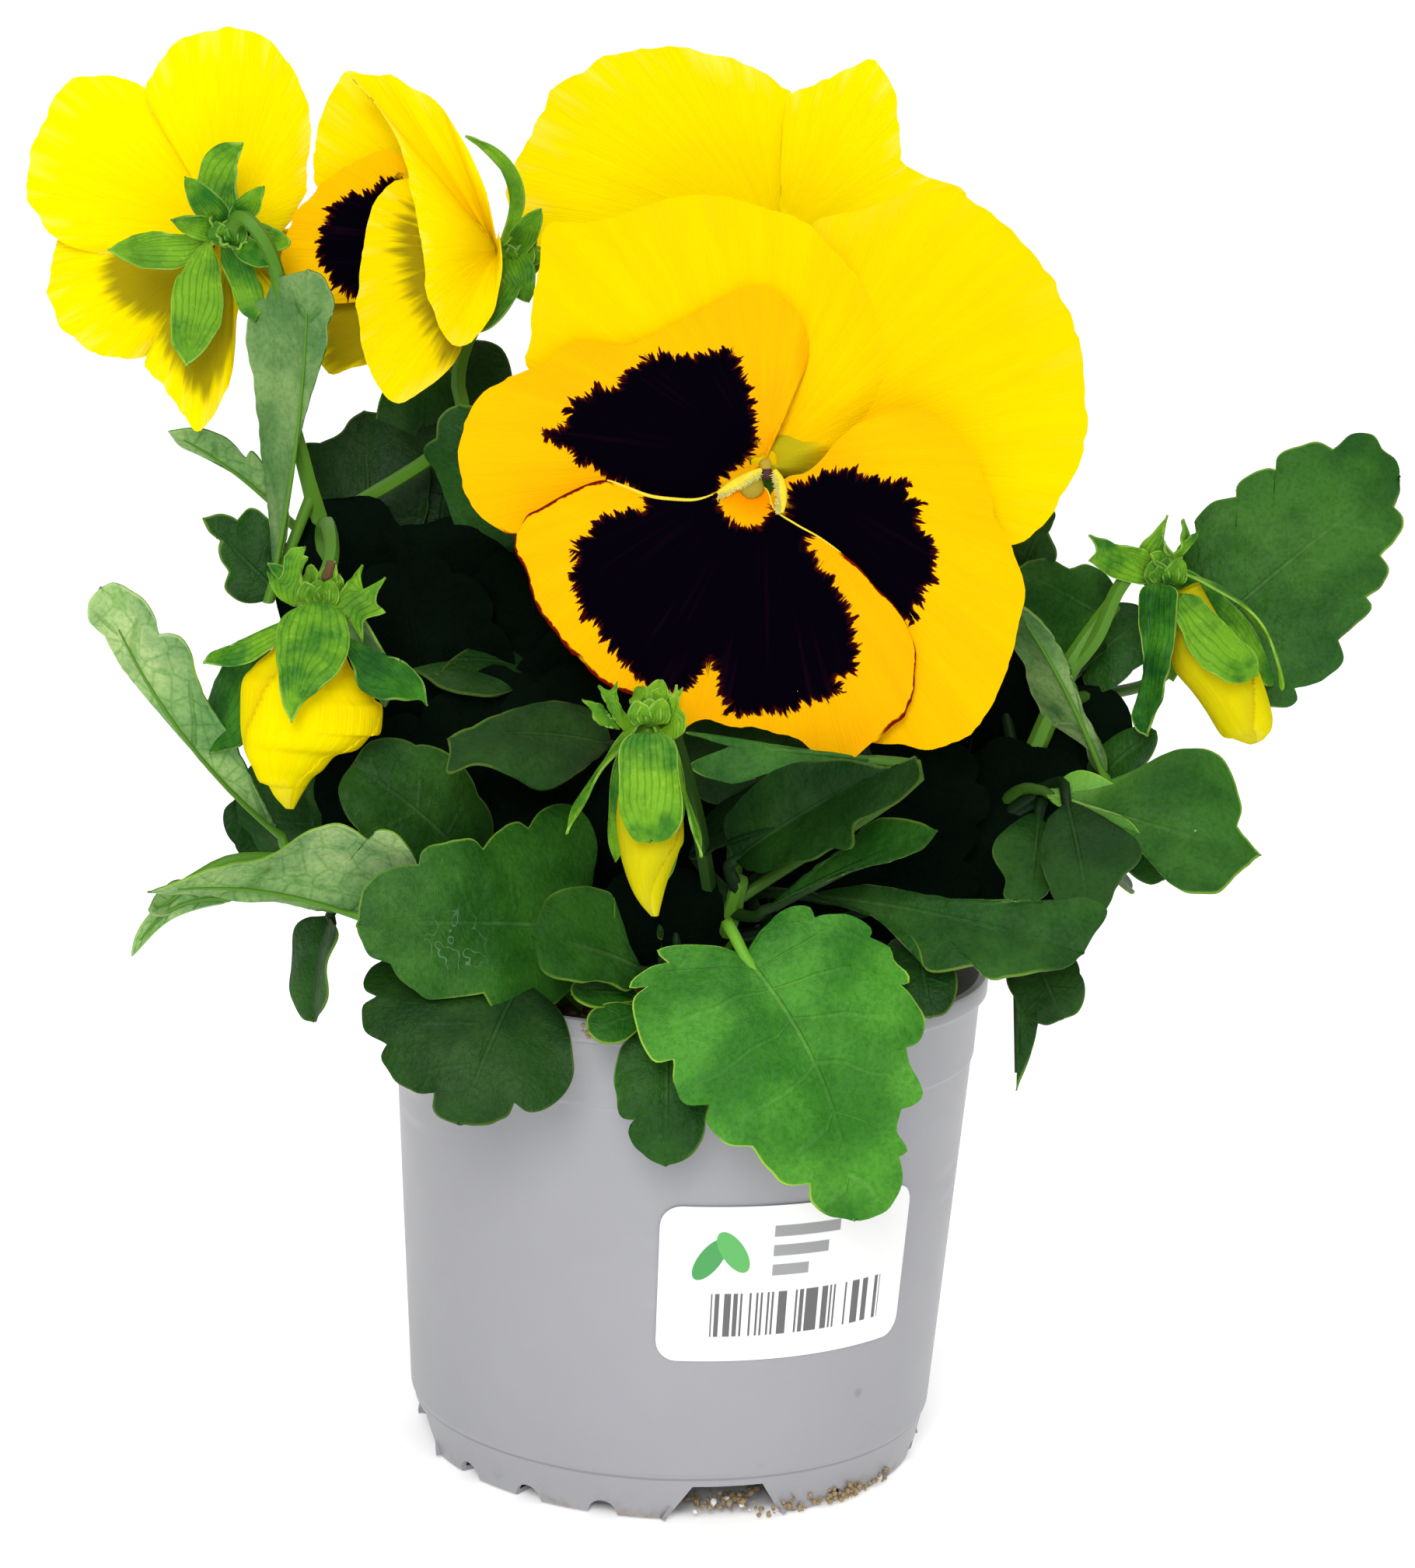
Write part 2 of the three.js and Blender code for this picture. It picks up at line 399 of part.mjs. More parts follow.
function leafGrid(row, form, shares, offsets, least = -1) {
  const { base, tip, face, width, arch, fold, bow } = row;
  const { chord, normal, across } = bladeFrame(base, tip, face);
  const length = chord.length();
  const lean = THREE.MathUtils.degToRad(fold);
  return shares.map((share) => offsets.map((offset) => {
    const [along, out] = toothedOutline(form, length, width, share);
    const part = Math.abs(offset);
    const x = Math.max(mix(length * share ** 1.35, along, part), least * length);
    const y = part * out * Math.sign(offset);
    const place = x / length;
    const rise = 4 * place * (1 - place);
    const slope = 4 * (1 - 2 * place);
    const point = base.clone().addScaledVector(chord, place).addScaledVector(normal, arch * rise)
      .addScaledVector(across, bow * rise);
    const ahead = chord.clone().addScaledVector(normal, arch * slope).addScaledVector(across, bow * slope)
      .normalize();
    const up = normal.clone().addScaledVector(ahead, -normal.dot(ahead)).normalize();
    const side = new THREE.Vector3().crossVectors(ahead, up);
    point.addScaledVector(side, y * Math.cos(lean)).addScaledVector(up, Math.abs(y) * Math.sin(lean));
    return { point, normal: up };
  }));
}

// Outline stations fall on the notches and crests of the teeth
function toothStations(teeth) {
  if (teeth === 0) return plainStations;
  const stations = [0.06];
  for (let k = 0; k < teeth; k++) {
    if (k > 0) stations.push(k / teeth);
    stations.push((k + 0.42) / teeth);
  }
  return [...stations, 0.97];
}

// A sepal or ear grows out of the middle of its calyx, towards where its row starts
function sepalBlade(centre, values, stations = plainStations) {
  const row = readBlade(values);
  const away = row.base.clone().sub(centre);
  row.base = centre.clone().addScaledVector(away, sepalRoot / Math.max(away.length(), sepalRoot));
  return blade(leafGrid(row, forms[row.form], stations, [-1, 1]), sepalThickness);
}

const readBlade = ([base, tip, face, width, arch, fold, form, bow = 0]) => (
  { base: vector(base), tip: vector(tip), face: vector(face), width, arch, fold, form, bow });

// The petiole runs from its stem to the blade's base, coming up from behind the blade
function petioleCurve(root, row) {
  const { chord, normal } = bladeFrame(row.base, row.tip, row.face);
  const reach = root.distanceTo(row.base);
  const before = row.base.clone().addScaledVector(chord.normalize(), -0.25 * reach)
    .addScaledVector(normal, -0.1 * reach);
  return new THREE.CatmullRomCurve3([root, before, row.base], false, 'centripetal');
}

// A petiole and its blade in one strip
function stalkedLeaf(root, row) {
  const form = forms[row.form];
  const offsets = [-1, 0, 1];
  const { normal } = bladeFrame(row.base, row.tip, row.face);
  const curve = petioleCurve(root, row);
  const steps = root.distanceTo(row.base) > 35 ? 3 : 2;
  const strip = Array.from({ length: steps + 1 }, (_, i) => {
    const ahead = curve.getTangentAt(i / steps);
    const side = new THREE.Vector3().crossVectors(ahead, normal).normalize();
    const up = new THREE.Vector3().crossVectors(side, ahead);
    return offsets.map((offset) => ({
      point: curve.getPointAt(i / steps).addScaledVector(side, offset * petioleRadius),
      normal: up,
      thickness: mix(2 * petioleRadius, 1.4 * petioleRadius, i / steps),
    }));
  });
  const grid = leafGrid(row, form, toothStations(teethOf(form, row.width)), offsets, leastReach);
  return blade([...strip, ...grid], leafThickness);
}

// Stems with all that grows on them
function stemCurve(name) {
  return new THREE.CatmullRomCurve3(stems[name][1].map(vector), false, 'centripetal');
}

function stemRod(name, spare) {
  const [radius, points] = stems[name];
  return rod(points.map(vector), points.length + 1, 6, (share) => spare + mix(radius, 0.6 * radius, share));
}

const calyxRadius = 2.9;
const stalkRadius = 1.2;

function stalk(stemName, share, points, top) {
  const root = stemCurve(stemName).getPointAt(share);
  return rod([top, ...points.map(vector), root], points.length + 2, 4, () => stalkRadius);
}

function bloomFrame({ turn, lift, roll }) {
  const [a, e, r] = [turn, lift, roll].map(THREE.MathUtils.degToRad);
  const out = new THREE.Vector3(Math.sin(a) * Math.cos(e), -Math.cos(a) * Math.cos(e), Math.sin(e));
  const level = new THREE.Vector3(Math.cos(a), Math.sin(a), 0);
  const upright = new THREE.Vector3().crossVectors(out, level);
  const right = level.clone().multiplyScalar(Math.cos(r)).addScaledVector(upright, Math.sin(r));
  return { out, right, up: new THREE.Vector3().crossVectors(out, right) };
}

function leafyStem(name) {
  const curve = stemCurve(name);
  const parts = [stemRod(name, 0)];
  for (const [stemName, share, ...rest] of leaves) {
    if (stemName !== name) continue;
    parts.push(stalkedLeaf(curve.getPointAt(share), readBlade(rest)));
  }
  for (const [bloomName, bloom] of Object.entries(blooms)) {
    if (bloom.stem !== name) continue;
    const centre = vector(bloom.stalk[0]);
    parts.push(ball(centre, calyxRadius), stalk(name, bloom.share, bloom.stalk.slice(1), centre));
    for (const sepal of sepals[bloomName]) parts.push(sepalBlade(centre, sepal));
  }
  for (const bud of Object.values(buds)) {
    if (bud.stem !== name) continue;
    const centre = vector(bud.crown);
    parts.push(ball(centre, bud.radius), stalk(name, bud.share, bud.stalk, centre));
    for (const sepal of bud.sepals) parts.push(sepalBlade(centre, sepal));
    for (const ear of bud.ears) {
      parts.push(sepalBlade(centre, [bud.crown, ear, [0, -1, 0.3], 4, 0, 0, 'sepal'], earStations));
    }
  }
  return oneBody(join(parts));
}

// Petals fan out from the throat to their outlines
function petalBlade(bloom, frame, throat, outline, layer) {
  const line = new THREE.CatmullRomCurve3(outline.map(vector), false, 'centripetal');
  const rays = outline.length - 2;
  const reaches = [petalStart, 0.55, 1];
  const grid = reaches.map((reach) => Array.from({ length: rays + 1 }, (_, k) => {
    const edge = line.getPoint(k / rays);
    const forward = edge.z * reach ** petalLift + bloom.bulge * 4 * reach * (1 - reach) + layer * petalStep;
    const point = throat.clone().addScaledVector(frame.right, edge.x * reach)
      .addScaledVector(frame.up, edge.y * reach).addScaledVector(frame.out, forward);
    return { point, normal: frame.out };
  }));
  return blade(grid, petalThickness);
}

function bloomPetals(name) {
  const bloom = blooms[name];
  const frame = bloomFrame(bloom);
  const throat = vector(bloom.throat);
  const parts = bloom.petals.map((outline, layer) => petalBlade(bloom, frame, throat, outline, layer));
  const back = vector(bloom.stalk[0]);
  const inward = back.clone().sub(throat);
  const reach = inward.length() - calyxRadius - gap;
  const end = throat.clone().addScaledVector(inward.normalize(), reach);
  const foremost = Math.max(...bloom.petals.flat().map(([, , forward]) => forward));
  const front = throat.clone().addScaledVector(inward, -1.5 - foremost * petalStart ** petalLift);
  parts.push(rod([front, end], 1, 6, () => 3.6));
  return oneBody(join(parts));
}

// A furled bud is a spindle with one petal edge winding round it
function budPetals(name) {
  const { base, tip, width, depth } = buds[name].twist;
  const round = (share) => Math.max(0.15, Math.sin(Math.PI * Math.min(0.12 + 0.86 * share, 1) ** 0.9));
  return rod([vector(base), vector(base).lerp(vector(tip), 0.5), vector(tip)], 6, 8,
    (share) => (width / 2) * round(share), depth / width);
}

// Pot: a shell of revolution with four channels under it and twelve small notches
function wallRadius(height) {
  return mix(stepRadius + stepReach, bandRadius, (height - stepHeight) / (potHeight - bandDepth - stepHeight));
}

function lathe(profile, sides = potSides) {
  return fromGeometry(new THREE.LatheGeometry(profile.map(([r, z]) => new THREE.Vector2(r, z)), sides)
    .rotateX(Math.PI / 2));
}

function potShell() {
  const band = potHeight - bandDepth;
  const lip = potHeight - lipHeight;
  return lathe([
    [0, 0], [footRadius, 0], [stepRadius, stepHeight - 0.4], [stepRadius + stepReach, stepHeight + 0.4],
    [bandRadius, band - 0.4], [bandRadius + 0.3, band], [rimRadius - lipReach, lip], [rimRadius, lip + 0.6],
    [rimRadius, potHeight], [rimRadius - 1.8, potHeight], [rimRadius - lipReach - wall, lip - 1],
    [bandRadius - wall, band - 1], [stepRadius + stepReach - wall, stepHeight + 0.4],
    [footRadius - wall, wall], [0, wall],
  ]);
}

// A prism along one side of the pot's underside, wider at its foot
function channel(spare, from, to) {
  const half = [channelFoot / 2 + spare, channelTop / 2 + spare];
  const top = channelHeight + spare;
  const outline = new THREE.Shape([
    new THREE.Vector2(-half[0], -5), new THREE.Vector2(half[0], -5), new THREE.Vector2(half[0], 0),
    new THREE.Vector2(half[1], top), new THREE.Vector2(-half[1], top), new THREE.Vector2(-half[0], 0),
  ]);
  const shape = new THREE.ExtrudeGeometry(outline, { depth: to - from, bevelEnabled: false });
  shape.rotateX(Math.PI / 2);
  shape.translate(0, -from, 0);
  return fromGeometry(shape);
}

function turned(part, degrees) {
  return part.rotate([0, 0, degrees]);
}

const quarterTurns = [0, 90, 180, 270].map((turn) => turn + channelTurn);
const notchTurns = quarterTurns.flatMap((turn) => [27, 45, 63].map((extra) => turn + extra));

function pot() {
  let body = potShell();
  for (const turn of quarterTurns) {
    body = body.subtract(turned(channel(0, channelStart, 60), turn));
    const roof = channel(wall, channelStart - wall, footRadius - 2).subtract(channel(0, channelStart, 60));
    body = body.add(turned(roof, turn).intersect(potInside()));
  }
  for (const turn of notchTurns) {
    const hole = new THREE.CylinderGeometry(notchRadius, notchRadius, 8, 6);
    hole.translate(0, -footRadius, 0);
    body = body.subtract(turned(fromGeometry(hole), turn));
  }
  return oneBody(body);
}

// The room inside the shell, from the underside up
function potInside(spare = 0) {
  const band = potHeight - bandDepth;
  return lathe([
    [0, 0], [footRadius - wall - spare, 0], [footRadius - wall - spare, wall],
    [stepRadius + stepReach - wall - spare, stepHeight + 0.4],
    [bandRadius - wall - spare, band - 1], [bandRadius - wall - spare, soilLevel - 1], [30, soilLevel + 1.5],
    [0, soilLevel + 1.5],
  ]);
}

function soil() {
  let body = potInside(gap).intersect(fromGeometry(
    new THREE.BoxGeometry(200, 200, 100).translate(0, 0, 50 + wall + gap)));
  for (const turn of quarterTurns) {
    body = body.subtract(turned(channel(wall + gap, channelStart - wall - gap, 60), turn));
  }
  for (const name of Object.keys(stems)) body = body.subtract(stemRod(name, gap + 0.1));
  return oneBody(body);
}

// The label follows the facets of the pot's wall
function labelPatch() {
  const facet = 360 / potSides;
  const half = THREE.MathUtils.radToDeg(label.width / 2 / wallRadius(label.height));
  const turns = [-half, -half + 2, -half + 5];
  for (let k = Math.ceil((label.turn - half + 7) / facet) * facet; k < label.turn + half - 5; k += facet) {
    turns.push(k - label.turn);
  }
  turns.push(half - 5, half - 2, half);
  const rows = [-1, -0.5, 0, 0.5, 1];
  const grid = rows.map((row) => turns.map((turn) => {
    const inset = Math.max(0, Math.abs(turn) - (half - 5)) / 5;
    const tall = label.tall / 2 - label.corner * (1 - Math.sqrt(Math.max(0, 1 - inset ** 2)));
    const height = label.height + row * tall;
    const angle = THREE.MathUtils.degToRad(turn + label.turn);
    const within = ((turn + label.turn) % facet + facet) % facet - facet / 2;
    const flat = Math.cos(Math.PI / potSides) / Math.cos(THREE.MathUtils.degToRad(within));
    const radius = (wallRadius(height) + gap + label.thick / 2) * flat;
    const normal = new THREE.Vector3(Math.sin(angle), -Math.cos(angle), 0);
    return { point: normal.clone().multiplyScalar(radius).setZ(height), normal };
  }));
  return blade(grid, label.thick);
}

// The parts list
const colours = {
  pot: 0xa9a9b0, label: 0xf2f2f0, soil: 0x2a1d14, leaf: 0x2f7a22, petal: 0xffd500, bud: 0xf0ea20,
};

function mesh(name, part, colour, roughness) {
  const { numProp, vertProperties, triVerts } = part.getMesh();
  const geometry = new THREE.BufferGeometry();
  const place = [];
  for (let i = 0; i < vertProperties.length; i += numProp) place.push(...vertProperties.slice(i, i + 3));
  geometry.setAttribute('position', new THREE.Float32BufferAttribute(place, 3));
  geometry.setIndex(Array.from(triVerts));
  geometry.computeVertexNormals();
  const made = new THREE.Mesh(geometry, new THREE.MeshStandardMaterial({ color: colour, roughness, metalness: 0 }));
  made.name = name;
  return made;
}

const pansy = new THREE.Group();
pansy.add(mesh('pot', pot(), colours.pot, 0.45));
pansy.add(mesh('label', labelPatch(), colours.label, 0.5));
pansy.add(mesh('soil', soil(), colours.soil, 0.95));
for (const name of Object.keys(stems)) {
  pansy.add(mesh(`leafy_stem_${name}`, leafyStem(name), colours.leaf, 0.5));
}
for (const name of Object.keys(blooms)) {
  pansy.add(mesh(`petals_${name}`, bloomPetals(name), colours.petal, 0.6));
}
for (const name of Object.keys(buds)) {
  pansy.add(mesh(`bud_${name}`, budPetals(name), colours.bud, 0.6));
}

export default pansy;
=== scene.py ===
"""A yellow pansy in a grey nursery pot: leafy stems, four open blooms, three buds, soil and a label.

Shapes are worked out in millimetres and become metres when a piece is made. A leaf is a toothed
outline bent along its midrib. A petal is a fan of rays from the bloom's throat to its outline.
"""

import math
import random

import bmesh
import bpy
import numpy as np
from mathutils import Matrix, Vector, noise


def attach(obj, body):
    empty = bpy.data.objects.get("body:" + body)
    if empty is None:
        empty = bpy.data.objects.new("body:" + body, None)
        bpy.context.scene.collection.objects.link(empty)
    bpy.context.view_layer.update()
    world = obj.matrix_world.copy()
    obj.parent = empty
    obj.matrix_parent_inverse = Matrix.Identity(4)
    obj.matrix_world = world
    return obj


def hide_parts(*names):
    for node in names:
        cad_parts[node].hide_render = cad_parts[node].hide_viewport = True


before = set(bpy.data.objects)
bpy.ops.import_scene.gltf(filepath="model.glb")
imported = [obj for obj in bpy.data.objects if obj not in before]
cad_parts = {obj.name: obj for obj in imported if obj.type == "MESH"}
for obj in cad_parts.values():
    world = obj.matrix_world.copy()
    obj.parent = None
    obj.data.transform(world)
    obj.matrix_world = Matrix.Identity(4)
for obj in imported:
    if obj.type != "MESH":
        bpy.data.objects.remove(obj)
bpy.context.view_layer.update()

MM = 0.001

# Pot, in millimetres, with turns and the least angle of a sharp edge in degrees
POT_HEIGHT = 87
RIM_RADIUS = 52.5
LIP_HEIGHT = 4
LIP_REACH = 1.2
BAND_DEPTH = 14.5
BAND_RADIUS = 50.4
STEP_HEIGHT = 8.5
STEP_RADIUS = 45.6
STEP_REACH = 0.5
FOOT_RADIUS = 43.9
WALL = 0.9
POT_SIDES = 160
POT_SHARP = 38
CHANNEL_TOP = 12
CHANNEL_FOOT = 20
CHANNEL_HEIGHT = 6.5
CHANNEL_START = 16
CHANNEL_WALL = 0.8
CHANNEL_END = 60
CHANNEL_TURNS = (13.5, 103.5, 193.5, 283.5)
NOTCH_RADIUS = 2.6
NOTCH_TURNS = (27, 45, 63)

# Soil: its level and crown, and its loose crumbs and white grains
SOIL_LEVEL = 77
SOIL_CROWN = 1.2
SOIL_RADIUS = 48
SOIL_SIDES = 96
SOIL_CRUMBS = 1300
SOIL_GRAINS = 70

# Label on the pot's wall: turn from -Y, height of its middle, its sizes and how far it stands off
LABEL_TURN = 24.5
LABEL_HEIGHT = 43
LABEL_WIDTH = 46.5
LABEL_TALL = 27
LABEL_CORNER = 3.5
LABEL_THICKNESS = 0.24
LABEL_STAND = 0.32

# Blades
LEAF_THICKNESS = 0.35
PETAL_THICKNESS = 0.22
SEPAL_THICKNESS = 0.4
PETIOLE_RADIUS = 1.2
STALK_RADIUS = 1.25
CALYX_RADIUS = 2.6
PETAL_LIFT = 0.35

# How leaves and petals bend, in millimetres where it is a length
TOOTH_SPAN = 6.0
TOOTH_LEAN = 0.5
MARGIN_UNEVEN = 0.35
RIB_DROP = 0.05
CURL = 0.14
GROOVE = 0.45
PETAL_STEP = 0.17
PETAL_START = 0.05
RUFFLE = 1.0
LIP_THICKNESS = 0.3
BLOTCH_START = 0.22
CHEEK_HAIRS = 240
HAIR_RADII = (0.09, 0.07, 0.03)

# Calyx: how near its middle a sepal starts, the ears round it, and those in front from left to right
SEPAL_ROOT = 1.5
CALYX_EARS = 7
FRONT_EARS = (-0.8, 0, 0.75)

# Points along and round a furled bud
BUD_ROWS = 90
BUD_SIDES = 96

# Forms whose base is lit or which lie in shade, and the place of a pale mined track, in metres
LIT_BASES = {"winged": -1}
DIM_FORMS = ("bud_shade", "bud_wing", "bud_drape")
MINED_PLACE = (-0.0365, -0.055, 0.1005)

# Camera: place in millimetres, yaw, pitch and roll in degrees, and lens for a 36 mm high frame
CAMERA_PLACE = (0, -595, 230)
CAMERA_AIM = (0.21, -10.75, 2.5)
CAMERA_LENS = 80.3

# Sky: its strength from the front and from high at the sides, with the stretches of its direction's
# X and Z over which it changes
SKY_STRENGTH = 1.03
SKY_SIDES = 0.05
SKY_SHIFT = 0.1
SKY_SIDE_RANGE = (0.22, 0.85)
SKY_LOW_RANGE = (0.06, 0.16)

# Lamps: place and aim in metres, width and height in metres, and power in watts
LAMPS = {
    "key": ((-0.12, -1.0, 0.62), (0, 0, 0.13), (0.35, 0.5), 7),
    "top": ((0, 0.1, 1.1), (0, 0, 0.1), (0.9, 0.9), 2),
}

# Floor, in millimetres, and its glow, which starts at the pot's foot, in metres from the origin,
# so that a painted shadow lies under the pot
FLOOR_REACH = 4000
FLOOR_DROP = -0.3
FLOOR_GLOW = 0.4
FLOOR_GLOW_START = (0.038, 0.043)

# Lobe at the base, where it is widest, roundness of heel and point, teeth a side, tooth depth
FORMS = {
    "oval": (0.15, 0.95, 0.9, 1.05, 5, 0.075),
    "egg": (0.35, 0.85, 0.8, 1.0, 3, 0.08),
    "spoon": (0, 1.5, 1.3, 0.95, 3, 0.04),
    "sepal": (0, 0.85, 0.8, 1.3, 0, 0),
    "ear": (0, 0.8, 0.9, 1.6, 3, 0.14),
}

